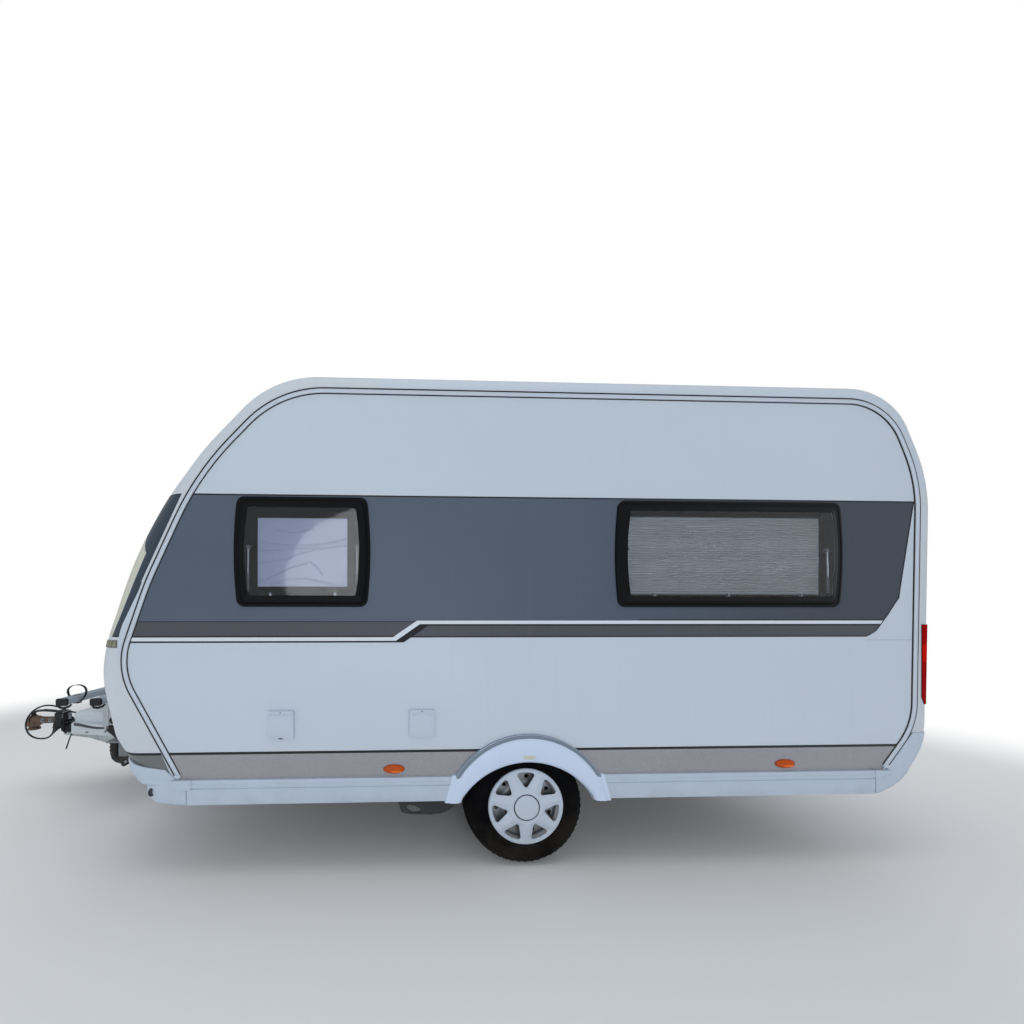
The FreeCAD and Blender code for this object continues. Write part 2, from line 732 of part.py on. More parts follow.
door_hinge_x = S.door_front.number + door_gap / 2
DOOR_HINGE_Y = HALF + 16
DOOR_HINGES = [760, 1350, 2000]
door_solid = door_leaf.cut(prism(door_pane_wire(0), HALF - WALL - 1, HALF + 1))
wall_ears = []
for height in DOOR_HINGES:
    start = V(door_hinge_x, DOOR_HINGE_Y, height)
    ear_foot = block(door_hinge_x - 30, door_hinge_x - 6, HALF, DOOR_HINGE_Y + 4, height, height + 19)
    fixed, knuckle, bore = hinge_parts(start, V(0, 0, 1), 60, ear_foot)
    leaf_foot = block(door_hinge_x + 6, door_hinge_x + 40, HALF - 1, DOOR_HINGE_Y + 4,
                      height + 20, height + 60)
    door_solid = door_solid.fuse([knuckle, leaf_foot]).cut(bore)
    wall_ears.append(fixed.cut(outer_block))
feature("entrance_door", solids_of(door_solid))
feature("door_window", prism(door_pane_wire(0), HALF - WALL + 4, HALF - 4))
doc.getObject("right_side_wall").Shape = solids_of(right_wall.fuse(wall_ears))

lid_gap = S.lid_gap.number
locker_top = S.locker_foot.number + S.locker_height.number
locker_lid = front_band.common(locker_zone(lid_gap))
LOCKER_HINGE_X = NOSE_FACE - 14
LOCKER_HINGE_Z = locker_top + 2
locker_ears = []
for middle in (-420, 420):
    start = V(LOCKER_HINGE_X, middle - 30, LOCKER_HINGE_Z)
    ear_foot = block(LOCKER_HINGE_X - 4, NOSE_FACE + 18, middle - 30, middle - 11,
                     LOCKER_HINGE_Z + 4, LOCKER_HINGE_Z + 34)
    fixed, knuckle, bore = hinge_parts(start, V(0, 1, 0), 60, ear_foot)
    leaf_foot = block(LOCKER_HINGE_X - 4, NOSE_FACE + 18, middle - 10, middle + 30,
                      LOCKER_HINGE_Z - 36, LOCKER_HINGE_Z - 9)
    locker_lid = locker_lid.fuse([knuckle, leaf_foot]).cut(bore)
    locker_ears.append(fixed)
feature("gas_locker_lid", solids_of(locker_lid))
front_shell = front_band.cut([front_pane_zone, locker_zone(0)])
doc.getObject("front_wall").Shape = solids_of(front_shell.fuse(locker_ears))

flap_rims = []
for name, front in FLAPS:
    width, height = S.flap_width.number, S.flap_height.number
    rim = block(front, front + width, -HALF - FLAP_DEPTH, -HALF, FLAP_FOOT, FLAP_FOOT + height)
    rim = rim.cut(block(front + FLAP_RIM, front + width - FLAP_RIM, -HALF - FLAP_DEPTH - 1, -HALF + 1,
                        FLAP_FOOT + FLAP_RIM, FLAP_FOOT + height - FLAP_RIM))
    hinge_z = FLAP_FOOT + height - FLAP_RIM
    hinge_y = -HALF - FLAP_DEPTH - BARREL - 0.5
    pin_start = V(front + 4, hinge_y, hinge_z)
    pin = Part.makeCylinder(3, width - 8, pin_start, V(1, 0, 0))
    lugs = []
    for lug_x in (front + 4, front + width - 16):
        lugs.append(Part.makeCylinder(BARREL, 12, V(lug_x, hinge_y, hinge_z), V(1, 0, 0)))
        lugs.append(block(lug_x, lug_x + 12, hinge_y, -HALF - FLAP_DEPTH, hinge_z, hinge_z + BARREL))
    flap_rims.append(rim.fuse([pin, *lugs]))
    leaf = block(front + FLAP_RIM + 5, front + width - FLAP_RIM - 5, -HALF - FLAP_DEPTH, -HALF - 2,
                 FLAP_FOOT + FLAP_RIM + 5, hinge_z - 5)
    barrel = Part.makeCylinder(BARREL, width - 44, V(front + 22, hinge_y, hinge_z), V(1, 0, 0))
    strap = block(front + 22, front + width - 22, hinge_y - 3, -HALF - FLAP_DEPTH + 1, hinge_z - 14, hinge_z)
    bore = Part.makeCylinder(3 + GAP, width, V(front, hinge_y, hinge_z), V(1, 0, 0))
    feature(name, solids_of(leaf.fuse([strap, barrel]).cut(bore)))
doc.getObject("left_side_wall").Shape = solids_of(left_wall.fuse(flap_rims))

VENT_KERB = 26
VENT_LID = 22
kerbs = []
for name, middle in VENTS:
    kerb = vent_zone(middle, vent_half, TOP, TOP + VENT_KERB).cut(
        vent_zone(middle, vent_half - 30, TOP - 1, TOP + VENT_KERB + 1))
    hinge_x, hinge_z = middle - vent_half - PIN - EAR - 6, TOP + VENT_KERB + 2
    ears, knuckles, bores = [], [], []
    for place_y in (-120, 90):
        foot_block = block(hinge_x - 8, middle - vent_half + 2, place_y, place_y + 9, TOP, hinge_z)
        fixed, knuckle, bore = hinge_parts(V(hinge_x, place_y, hinge_z), V(0, 1, 0), 30, foot_block)
        ears.append(fixed)
        strap = block(hinge_x, middle - vent_half + 12, place_y + 10, place_y + 30, hinge_z + 5, hinge_z + 14)
        knuckles.extend([knuckle, strap])
        bores.append(bore)
    kerbs.append(kerb.fuse(ears))
    lid = vent_zone(middle, vent_half + 4, TOP + VENT_KERB + 5, TOP + VENT_KERB + 5 + VENT_LID)
    lid = lid.cut(vent_zone(middle, vent_half - 4, TOP, TOP + VENT_KERB + VENT_LID))
    feature(name + "_lid", solids_of(lid.fuse(knuckles).cut(bores)))
feature("roof_vent_kerbs", Part.makeCompound([solid for kerb in kerbs for solid in kerb.Solids]))

# Fridge ventilation grilles on the right wall: lower edge
grilles = [block(60, 430, HALF, HALF + 12, foot, foot + 200) for foot in (800, 1260)]
feature("fridge_vents", Part.makeCompound(grilles))

# ---------------------------------------------------------------- chassis and drawbar
def member(side):
    """A drawbar member in plan, from the main member to its tip."""
    half = S.beam_width / 2
    rows = [(-980, side * (S.rail_y + half)), (-980, side * (S.rail_y - half)),
            (-S.drawbar_tip, side * (S.tip_y - half)), (-S.drawbar_tip, side * (S.tip_y + half))]
    return plate("plan", rows, S.beam_foot, S.beam_height)


def chassis():
    half = S.beam_width / 2
    length = S.rear_back + 730
    pieces = [member(-1), member(1)]
    for near in (-S.rail_y - half, S.rail_y - half):
        pieces.append(box(length, S.beam_width, S.beam_height, (-980, near, S.beam_foot)))
    for cross_x in (-980, 500, 1980):
        pieces.append(box(44, 2 * S.rail_y - S.beam_width, S.beam_height - 30,
                          (cross_x, -S.rail_y + half, S.beam_foot + 30)))
    return fuse(*pieces)


node("chassis_frame", chassis())

AXLE_X, AXLE_Z, AXLE_RADIUS = -165, 300, 46
ARM_NEAR = 842
ARM_FAR = 875
tube = rod(AXLE_RADIUS, 2 * ARM_NEAR, (AXLE_X, -ARM_NEAR, AXLE_Z), along="y")
saddles = [box(120, S.beam_width, S.beam_foot - 335, (AXLE_X - 60, near, 335))
           for near in (-S.rail_y - S.beam_width / 2, S.rail_y - S.beam_width / 2)]
node("axle_tube", fuse(tube, *saddles))

HUB_Z = S.tyre_radius
wheel_inner = S.tyre_face - S.tyre_width
arm_plate = plate("side", [(AXLE_X - 60, 262), (AXLE_X - 60, 338), (AXLE_X + 40, 352), (36, 360), (48, 300),
                           (30, 276), (AXLE_X + 40, 256)], ARM_NEAR, ARM_FAR - ARM_NEAR)
backplate = rod(126, 5, (0, -wheel_inner + 20, HUB_Z), along="y")
hub_stub = rod(S.stub_radius, S.tyre_width - 60 + 22, (0, -S.tyre_face + 60, HUB_Z), along="y")
left_arm = fuse(arm_plate, backplate, hub_stub)
node("trailing_arms", group(left_arm, mirrored(left_arm)))


# ---------------------------------------------------------------- wheels
FLANGE_HEIGHT, FLANGE_THICKNESS = 13, 10


def tyre():
    near, far, top = -S.tyre_face, -S.tyre_face + S.tyre_width, S.tyre_radius
    bead = S.rim_radius + S.running_gap
    side = S.flange_depth + S.running_gap
    return turned([(near + side, bead), (near + side, bead + FLANGE_HEIGHT), (near + 11, bead + 27),
                   (near + 2, bead + 44), (near, bead + 74),
                   (near + 6, top - 34), (near + 20, top - 12), (near + 36, top - 2), (near + 70, top),
                   (far - 70, top), (far - 36, top - 2), (far - 20, top - 12), (far - 6, top - 34),
                   (far, bead + 74), (far - 2, bead + 44), (far - 11, bead + 27),
                   (far - side, bead + FLANGE_HEIGHT), (far - side, bead)])


def steel_wheel():
    """Rim, disc, hub and brake drum in one."""
    near, far = -S.tyre_face, -S.tyre_face + S.tyre_width
    seat, flange, well = S.rim_radius, S.rim_radius + FLANGE_HEIGHT, S.rim_radius - 8
    bore = S.stub_radius + S.running_gap
    deep, edge = S.flange_depth, S.flange_depth - FLANGE_THICKNESS
    return turned([(near + edge, well), (near + edge, flange), (near + deep, flange), (near + deep, seat),
                   (far - deep, seat), (far - deep, flange), (far - edge, flange), (far - edge, well),
                   (near + 74, well), (near + 74, 122), (far - 30, 122), (far - 30, bore),
                   (near + 40, bore), (near + 40, 44), (near + 56, 50), (near + 56, 108),
                   (near + 44, 150), (near + 44, well)])


CAP_OPENINGS = 7


def hubcap():
    """The wheel cover: a domed disc with seven openings."""
    near = -S.tyre_face
    rim = S.hubcap_radius
    cover = turned([(near + 9.7, rim), (near + 4, rim), (near - 2, rim - 10), (near - 4, 150), (near - 8, 80),
                    (near - 10, 74), (near - 12, 0), (near - 6, 0), (near - 4, 70), (near, 150),
                    (near + 4, rim - 14), (near + 9.7, rim - 12)])
    sketch = outline_sketch(cover, "side", [(-38, 158), (38, 158), (30, 120), (8, 96), (-8, 96), (-30, 120)],
                            S.tyre_face - 30)
    opening = cover.newObject("PartDesign::Pocket", "Opening")
    opening.Profile = sketch
    opening.Length = 80
    opening.Reversed = True
    around = cover.newObject("PartDesign::PolarPattern", "Openings")
    around.Originals = [opening]
    around.Axis = (cover.Origin.OriginFeatures[1], [""])
    around.Angle = 360
    around.Occurrences = CAP_OPENINGS
    cover.Tip = around
    doc.recompute()
    return cover


for name, build in (("tyre", tyre), ("steel_wheel", steel_wheel), ("hubcap", hubcap)):
    left = build()
    place(left, z=HUB_Z)
    node("left_" + name, left)
    node("right_" + name, mirrored(left))

# ---------------------------------------------------------------- corner steadies
STEADY_PIN = 8
STEADY_DOWN = 62
# name, side, along: +1 where the arm points back from its pin
STEADIES = [("front_left_steady", -1, 1), ("front_right_steady", 1, 1),
            ("rear_left_steady", -1, -1), ("rear_right_steady", 1, -1)]
brackets = []
for name, side, along in STEADIES:
    pin_x = -S.steady_front.number if along == 1 else S.steady_rear.number
    y, z, reach = side * S.steady_y.number, S.steady_z.number, S.steady_reach.number
    ceiling = FOOT
    cheeks = [block(pin_x - 40, pin_x + 40, y + off, y + off + 6, z - 26, ceiling) for off in (-33, 27)]
    top = block(pin_x - 60, pin_x + 60, y - 45, y + 45, ceiling - 7, ceiling)
    pin = Part.makeCylinder(STEADY_PIN, 66, V(pin_x, y - 33, z), V(0, 1, 0))
    brackets.append(cheeks[0].fuse([cheeks[1], top, pin]).removeSplitter())
    arm_from, arm_to = sorted((pin_x - along * 24, pin_x + along * reach))
    arm = block(arm_from, arm_to, y - 21, y + 21, z - 18, z + 18)
    hollow_from, hollow_to = sorted((pin_x + along * 60, pin_x + along * (reach - 40)))
    arm = arm.cut(block(hollow_from, hollow_to, y - 17, y + 17, z - 19, z + 14))
    tilt = radians(STEADY_DOWN)
    flat = V(-along * sin(tilt), 0, cos(tilt))
    foot_middle = V(pin_x + along * (reach - 6), y, z)
    foot = Part.makeCylinder(40, 12, foot_middle - flat * 12, flat)
    bore = Part.makeCylinder(STEADY_PIN + GAP, 80, V(pin_x, y - 40, z), V(0, 1, 0))
    feature(name, solids_of(arm.fuse(foot).cut(bore)))
feature("steady_brackets", Part.makeCompound(brackets))

# ---------------------------------------------------------------- jacking points
JACK_Y = 1062


def jacking_bracket():
    """An outrigger from the main member with an upright plate and its oval socket."""
    flange = plate("side", [(-684, 366), (-672, 312), (-600, 300), (-470, 302), (-410, 330), (-388, 366)],
                   JACK_Y, 8)
    slot = Part.makeCylinder(20, 30, V(-616, -JACK_Y + 10, 334), V(0, -1, 0))
    slot = slot.fuse([Part.makeCylinder(20, 30, V(-584, -JACK_Y + 10, 334), V(0, -1, 0)),
                      block(-616, -584, -JACK_Y - 20, -JACK_Y + 10, 314, 354)]).removeSplitter()
    socket = doc.addObject("Part::Feature", "SocketHole")
    socket.Shape = slot
    arm = box(150, JACK_Y - S.rail_y + S.beam_width / 2, 8, (-560, -JACK_Y, S.beam_foot - 8))
    return fuse(cut(flange, socket), arm)


left_jack = jacking_bracket()
node("jacking_brackets", group(left_jack, mirrored(left_jack)))

# ---------------------------------------------------------------- overrun device and coupling
HOUSING_FRONT, HOUSING_REAR = 3200, 2990
SHAFT_Z, SHAFT_RADIUS = 498, 25
BALL_X = 3505
LEVER_X, LEVER_Z = 3170, 500
BELLOWS_RADIUS = 48
BRAKE_PIN = 8
COUPLING_NECK = 3300
PLUG_TILT = radians(35)
PLUG_AXIS = V(sin(PLUG_TILT), 0, cos(PLUG_TILT))
PLUG_END = V(-3244, -100, 462)
PLUG_LENGTH, HOLDER_LENGTH = 72, 84


def overrun_housing():
    """The casting on the drawbar tips, with the brake lever's pin and the plug's parking socket."""
    casting = block(-HOUSING_FRONT, -HOUSING_REAR, -60, 60, FOOT + GAP, 526)
    pin = Part.makeCylinder(BRAKE_PIN, 44, V(-LEVER_X, 56, LEVER_Z), V(0, 1, 0))
    collar = Part.makeCylinder(16, 8, V(-LEVER_X, 58, LEVER_Z), V(0, 1, 0))
    holder = Part.makeCylinder(27, HOLDER_LENGTH, PLUG_END + PLUG_AXIS * PLUG_LENGTH, PLUG_AXIS)
    stay = block(-HOUSING_FRONT + 16, -HOUSING_FRONT + 42, PLUG_END.y, -56, 512, 526)
    return casting.fuse([pin, collar, holder, stay]).removeSplitter()


feature("overrun_housing", overrun_housing())


def coupling_head():
    """The ball coupling: socket, neck, shaft and its lifting handle."""
    ball_z = S.coupling_z.number
    tip = S.coupling_tip.number
    dome = Part.makeCylinder(tip - BALL_X, 92, V(-BALL_X, 0, ball_z - 24), V(0, 0, 1))
    neck = block(-BALL_X, -COUPLING_NECK, -30, 30, SHAFT_Z - 30, SHAFT_Z + 30)
    shaft = Part.makeCylinder(SHAFT_RADIUS, COUPLING_NECK - HOUSING_FRONT, V(-COUPLING_NECK, 0, SHAFT_Z),
                              V(1, 0, 0))
    grip = block(-BALL_X - 10, -3330, -17, 17, 548, 566)
    post = block(-3490, -3450, -14, 14, 520, 550)
    socket = Part.makeSphere(S.ball_socket.number / 2, V(-BALL_X, 0, ball_z))
    mouth = Part.makeCylinder(S.ball_socket.number / 2, 60, V(-BALL_X, 0, ball_z - 60), V(0, 0, 1))
    return dome.fuse([neck, shaft, grip, post]).cut([socket, mouth]).removeSplitter()


feature("coupling_head", coupling_head())
bellows_start = V(-COUPLING_NECK, 0, SHAFT_Z)
bellows_length = COUPLING_NECK - HOUSING_FRONT
bellows = Part.makeCylinder(BELLOWS_RADIUS, bellows_length, bellows_start, V(1, 0, 0))
feature("overrun_bellows", bellows.cut(
    Part.makeCylinder(SHAFT_RADIUS + GAP, bellows_length, bellows_start, V(1, 0, 0))))

lever_eye = Part.makeCylinder(20, 12, V(-LEVER_X, 72, LEVER_Z), V(0, 1, 0))
lever_bar = block(-LEVER_X - 330, -LEVER_X, 73, 83, LEVER_Z - 9, LEVER_Z + 9)
lever_grip = Part.makeCylinder(14, 120, V(-LEVER_X - 340, 78, LEVER_Z), V(1, 0, 0))
lever_bore = Part.makeCylinder(BRAKE_PIN + GAP, 30, V(-LEVER_X, 64, LEVER_Z), V(0, 1, 0))
feature("handbrake_lever", lever_eye.fuse([lever_bar, lever_grip]).cut(lever_bore).removeSplitter())

# Drawbar cover: two hollow steps that widen towards the nose
COVER_FRONT, COVER_REAR = 3150, 2160
COVER_STEP, COVER_TOP, COVER_SKIN = 540, 618, 5


def cover_tier(front, rear, half_front, half_rear, z_from, z_to):
    wire = rounded_wire([(-front, -half_front, 30), (-rear, -half_rear, 0), (-rear, half_rear, 0),
                         (-front, half_front, 30)], in_plan)
    solid = Part.Face(wire).extrude(V(0, 0, z_to - z_from))
    solid.translate(V(0, 0, z_from))
    return solid


cover = cover_tier(COVER_FRONT, COVER_REAR, 128, 310, FOOT + GAP, COVER_STEP).fuse(
    cover_tier(3090, COVER_REAR, 58, 112, COVER_STEP, COVER_TOP))
cover = cover.cut([
    cover_tier(COVER_FRONT - 5, COVER_REAR - 5, 123, 305, FOOT - 1, COVER_STEP - COVER_SKIN),
    cover_tier(3085, COVER_REAR - 5, 53, 107, COVER_STEP - 20, COVER_TOP - COVER_SKIN),
    block(-COVER_FRONT - 1, -COVER_FRONT + 30, -62, 62, FOOT - 1, 528), outer_block])
feature("drawbar_cover", solids_of(cover))

# ---------------------------------------------------------------- bicycle carrier
RAIL_HALF, RACK_BAR_Y = 30, 110
bars = [box(S.rack_far - S.rack_near + 120, 30, 30, (-S.rack_far - 60, near, S.rack_z - 30))
        for near in (-RACK_BAR_Y - 15, RACK_BAR_Y - 15)]
posts = [box(30, 30, S.rack_z - COVER_STEP - 20, (-(S.rack_far + S.rack_near) / 2 - 15, near, COVER_STEP))
         for near in (-RACK_BAR_Y - 15, RACK_BAR_Y - 15)]
rails = []
for centre in (S.rack_near, S.rack_far):
    rail = box(60, S.rack_length, 34, (-centre - RAIL_HALF, -S.rack_length / 2, S.rack_z))
    groove = box(44, S.rack_length + 2, 24, (-centre - 22, -S.rack_length / 2 - 1, S.rack_z + 12))
    rails.append(cut(rail, groove))
node("bicycle_carrier", fuse(*bars, *posts, *rails))

# ---------------------------------------------------------------- jockey wheel
LEG_RADIUS, TUBE_RADIUS, KING_RADIUS, JOCKEY_AXLE = 24, 30, 8, 7
LEG_FOOT, LEG_TOP, CROWN_FOOT = 222, 585, 208
JX, JY = -S.jockey_x.number, S.jockey_y.number
JR, TRAIL = S.jockey_radius.number, S.jockey_trail.number
outer_tube = Part.makeCylinder(TUBE_RADIUS, 365, V(JX, JY, 380), V(0, 0, 1))
clamp = block(JX - 32, JX + 32, JY - 88, JY - 14, 392, 452)
crank = Part.makeCylinder(9, 14, V(JX, JY, 744), V(0, 0, 1)).fuse(
    block(JX - 7, JX + 7, JY - 7, JY + 84, 756, 764))
tube_bore = Part.makeCylinder(LEG_RADIUS + GAP, 361, V(JX, JY, 379), V(0, 0, 1))
chassis_shape = nodes["chassis_frame"].Shape
feature("jockey_clamp", solids_of(outer_tube.fuse([clamp, crank]).cut([tube_bore, chassis_shape])))
leg = Part.makeCylinder(LEG_RADIUS, LEG_TOP - LEG_FOOT, V(JX, JY, LEG_FOOT), V(0, 0, 1))
feature("jockey_leg", leg.cut(Part.makeCylinder(KING_RADIUS + GAP, 41, V(JX, JY, LEG_FOOT - 1), V(0, 0, 1))))

cheek_wire = rounded_wire([(JX - 22, CROWN_FOOT + 13.7, 0), (JX - 22, CROWN_FOOT - 6, 4),
                           (JX + TRAIL - 18, JR - 16, 14), (JX + TRAIL + 18, JR - 16, 14),
                           (JX + TRAIL + 18, JR + 20, 10),
                           (JX + 32, CROWN_FOOT - 4, 4), (JX + 32, CROWN_FOOT + 13.7, 0)], in_side_view)
fork = block(JX - 22, JX + 32, JY - 35, JY + 35, CROWN_FOOT, CROWN_FOOT + 13.7)
fork = fork.fuse([prism(cheek_wire, JY - 35, JY - 30), prism(cheek_wire, JY + 30, JY + 35),
                  Part.makeCylinder(KING_RADIUS, 50, V(JX, JY, CROWN_FOOT + 1), V(0, 0, 1)),
                  Part.makeCylinder(JOCKEY_AXLE, 70, V(JX + TRAIL, JY - 35, JR), V(0, 1, 0))])
feature("jockey_fork", fork.removeSplitter())
jockey_hub = V(JX + TRAIL, JY, JR)
roller_wire = rounded_wire([(JOCKEY_AXLE + GAP, -25, 0), (JR - 40, -16, 4), (JR, -23, 8), (JR, 23, 8),
                            (JR - 40, 16, 4), (JOCKEY_AXLE + GAP, 25, 0)],
                           lambda outwards, along: jockey_hub + V(outwards, along, 0))
feature("jockey_wheel", Part.Face(roller_wire).revolve(jockey_hub, V(0, 1, 0), 360))

# ---------------------------------------------------------------- furniture
FURNITURE_FOOT = FOOT + S.floor_thickness.number
INSIDE = HALF - WALL - 12
box_space = [block(-S.box_half.number - 2, S.box_half.number + 2, *across(side, S.box_inside.number - 2, HALF),
                   FOOT, S.box_top.number + 2) for side in (-1, 1)]
BOARD = 18


def cabinet(x_from, x_to, y_from, y_to, z_from, z_to):
    """A hollow cabinet of boards, open to the floor."""
    body = block(x_from, x_to, y_from, y_to, z_from, z_to)
    return body.cut(block(x_from + BOARD, x_to - BOARD, y_from + BOARD, y_to - BOARD, z_from - 1, z_to - BOARD))


bed = cabinet(-1930, -790, -INSIDE, INSIDE, FURNITURE_FOOT, 800)
washroom = cabinet(-760, 440, -INSIDE, -330, FURNITURE_FOOT, 2330).cut(box_space)
kitchen = cabinet(-740, 440, 520, INSIDE, FURNITURE_FOOT, 1350).cut(box_space)
feature("bed_base", bed)
feature("washroom_cabinet", washroom)
feature("kitchen_cabinet", kitchen)
seat_front = cabinet(470, 900, -INSIDE, -60, FURNITURE_FOOT, 860)
seat_rear = cabinet(1640, 2060, -INSIDE, 500, FURNITURE_FOOT, 860)
table = block(1000, 1560, -INSIDE, -180, 1150, 1178).fuse(
    Part.makeCylinder(28, 1150 - FURNITURE_FOOT, V(1280, -520, FURNITURE_FOOT), V(0, 0, 1)))
feature("dinette", Part.makeCompound([seat_front, seat_rear, table]))

# ---------------------------------------------------------------- connection cable
CABLE_RADIUS = S.cable_diameter.number / 2
# Hand-laid route, in the axle frame: out of the cover, over the coupling and back to the parked plug
CABLE_ROUTE = [
    V(-3090, -18, 586), V(-3140, -18, 586), V(-3190, -24, 602), V(-3242, -33, 629), V(-3293, -43, 650),
    V(-3348, -55, 655), V(-3400, -66, 634), V(-3441, -75, 593), V(-3465, -80, 540), V(-3464, -83, 484),
    V(-3437, -86, 440), V(-3393, -90, 416), V(-3344, -94, 410), V(-3298, -98, 415), V(-3265, -100, 432.5),
    PLUG_END,
]


def cable_path(points):
    """Straight runs joined by tangent arcs."""
    edges, start, length = [], points[0], 0
    radii = []
    for before, corner, after in zip(points, points[1:], points[2:]):
        back, ahead = (before - corner), (after - corner)
        half = back.getAngle(ahead) / 2
        run = min(back.Length, ahead.Length)
        back.normalize()
        ahead.normalize()
        reach = 0.45 * run
        radius = reach * tan(half)
        inward = (back + ahead).normalize()
        arc_start, arc_end = corner + back * reach, corner + ahead * reach
        arc_middle = corner + inward * (radius / sin(half) - radius)
        edges.append(Part.LineSegment(start, arc_start).toShape())
        edges.append(Part.Arc(arc_start, arc_middle, arc_end).toShape())
        radii.append(round(radius))
        start = arc_end
    edges.append(Part.LineSegment(start, points[-1]).toShape())
    print("cable radii", radii)
    return Part.Wire(edges)


def tube_along(path, radius, start, heading):
    ring = Part.Wire(Part.Circle(start, heading, radius).toShape())
    tube = path.makePipeShell([ring], True, False)
    print("cable volume over section times length", round(tube.Volume / (pi * radius ** 2 * path.Length), 4))
    return tube


route = cable_path(CABLE_ROUTE)
print("cable length", round(route.Length))
feature("connection_cable", tube_along(route, CABLE_RADIUS, CABLE_ROUTE[0], CABLE_ROUTE[1] - CABLE_ROUTE[0]))
feature("cable_plug", Part.makeCylinder(23, PLUG_LENGTH, PLUG_END, PLUG_AXIS))

# ---------------------------------------------------------------- set back, check and write
set_back = (S.coupling_tip - S.rear_back - S.handle_reach) / 2
print("wheel centres behind the origin", set_back.number)
for thing in nodes.values():
    if getattr(thing, "Source", None) in nodes.values():
        continue
    bound = {path.lstrip("."): text for path, text in thing.ExpressionEngine}
    own = bound.get("Placement.Base.x")
    thing.setExpression("Placement.Base.x", f"{own} + {set_back.text}" if own else set_back.text)
doc.recompute()

for thing in doc.Objects:
    if "Invalid" in thing.State or "Error" in thing.State:
        raise RuntimeError(f"{thing.Label}: {thing.State}")
for name, thing in nodes.items():
    if thing.Shape.isNull() or not thing.Shape.isValid() or thing.Shape.Volume <= 0:
        raise RuntimeError(f"{name}: bad shape")

os.makedirs("parts", exist_ok=True)
whole = FreeCAD.BoundBox()
for name, thing in nodes.items():
    thing.Shape.exportStep(f"parts/{name}.step")
    whole.add(thing.Shape.BoundBox)
    print(name, len(thing.Shape.Solids), "solids", round(thing.Shape.Volume / 1e6, 2), "l")
print(len(nodes), "nodes", whole)
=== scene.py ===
from functools import partial
from math import atan2, ceil, cos, degrees, exp, hypot, pi, radians, sin, tan

import bmesh
import bpy
from mathutils import Matrix, Vector, noise
from mathutils.geometry import tessellate_polygon


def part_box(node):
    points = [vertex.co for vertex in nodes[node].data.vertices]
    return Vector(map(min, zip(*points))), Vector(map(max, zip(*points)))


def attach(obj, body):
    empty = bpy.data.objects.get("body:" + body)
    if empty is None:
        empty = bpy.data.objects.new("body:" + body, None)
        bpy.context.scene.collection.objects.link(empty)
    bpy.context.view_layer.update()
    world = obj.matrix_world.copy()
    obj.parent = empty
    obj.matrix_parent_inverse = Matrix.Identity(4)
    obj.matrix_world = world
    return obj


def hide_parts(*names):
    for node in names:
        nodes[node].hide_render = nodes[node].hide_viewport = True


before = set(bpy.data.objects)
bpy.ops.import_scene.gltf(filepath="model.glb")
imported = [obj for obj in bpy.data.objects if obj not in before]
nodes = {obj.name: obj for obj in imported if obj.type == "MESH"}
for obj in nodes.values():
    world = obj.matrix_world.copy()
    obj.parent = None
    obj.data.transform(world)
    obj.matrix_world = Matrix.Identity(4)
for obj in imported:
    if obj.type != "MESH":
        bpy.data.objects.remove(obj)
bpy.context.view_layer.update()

scene = bpy.context.scene


def middleOf(node):
    low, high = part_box(node)
    return (low + high) / 2


axle = middleOf("left_tyre")  # every place along the caravan is measured from the wheels
wallY = 1.095  # outside of a side wall, from the middle line
sides = (-1, 1)  # left is -Y


def along(x):
    return axle.x + x


# camera
cameraSet = {"place": (along(-0.7785), -3.10, 1.3318), "turn": 2.03, "lens": 13.535,
             "shift": (0.1156, 0.1025)}


def makeCamera():
    data = bpy.data.cameras.new("camera")
    data.lens = cameraSet["lens"]
    data.sensor_width = 36
    data.shift_x, data.shift_y = cameraSet["shift"]
    data.clip_start = 0.05
    data.clip_end = 200
    camera = bpy.data.objects.new("camera", data)
    camera.location = cameraSet["place"]
    camera.rotation_euler = (pi / 2, 0, -radians(cameraSet["turn"]))
    scene.collection.objects.link(camera)
    scene.camera = camera


makeCamera()
print("camera set")

# the lead to the car
leadSet = {"thick": 0.012, "length": 0.769}
leadRoute = [(-3.090, -0.018, 0.586), (-3.140, -0.018, 0.586), (-3.190, -0.024, 0.602),
             (-3.242, -0.033, 0.629), (-3.293, -0.043, 0.650), (-3.348, -0.055, 0.655),
             (-3.400, -0.066, 0.634), (-3.441, -0.075, 0.593), (-3.465, -0.080, 0.540),
             (-3.464, -0.083, 0.484), (-3.437, -0.086, 0.440), (-3.393, -0.090, 0.416),
             (-3.344, -0.094, 0.410), (-3.298, -0.098, 0.415), (-3.265, -0.100, 0.4325),
             (-3.244, -0.100, 0.462)]
leadRoute = [(along(x), y, z) for x, y, z in leadRoute]


def makeLead():
    data = bpy.data.curves.new("towing_lead", "CURVE")
    data.dimensions = "3D"
    data.bevel_depth = leadSet["thick"] / 2
    data.bevel_resolution = 5
    data.resolution_u = 12
    data.use_fill_caps = True
    spline = data.splines.new("NURBS")
    spline.points.add(len(leadRoute) - 1)
    for point, place in zip(spline.points, leadRoute):
        point.co = (*place, 1)
    spline.order_u = 3
    spline.use_endpoint_u = True
    lead = bpy.data.objects.new("towing_lead", data)
    scene.collection.objects.link(lead)
    return lead


lead = makeLead()
print("towing lead laid")

# shader helpers


def tone(red, green, blue):
    # a colour as it looks on a screen, 0 to 255, turned to what the shaders count in
    channels = [c / 255 for c in (red, green, blue)]
    return tuple(c / 12.92 if c < 0.04 else ((c + 0.055) / 1.055) ** 2.4 for c in channels) + (1.0,)


def setInputs(node, values):
    for key, value in values.items():
        node.inputs[key.replace("_", " ")].default_value = value


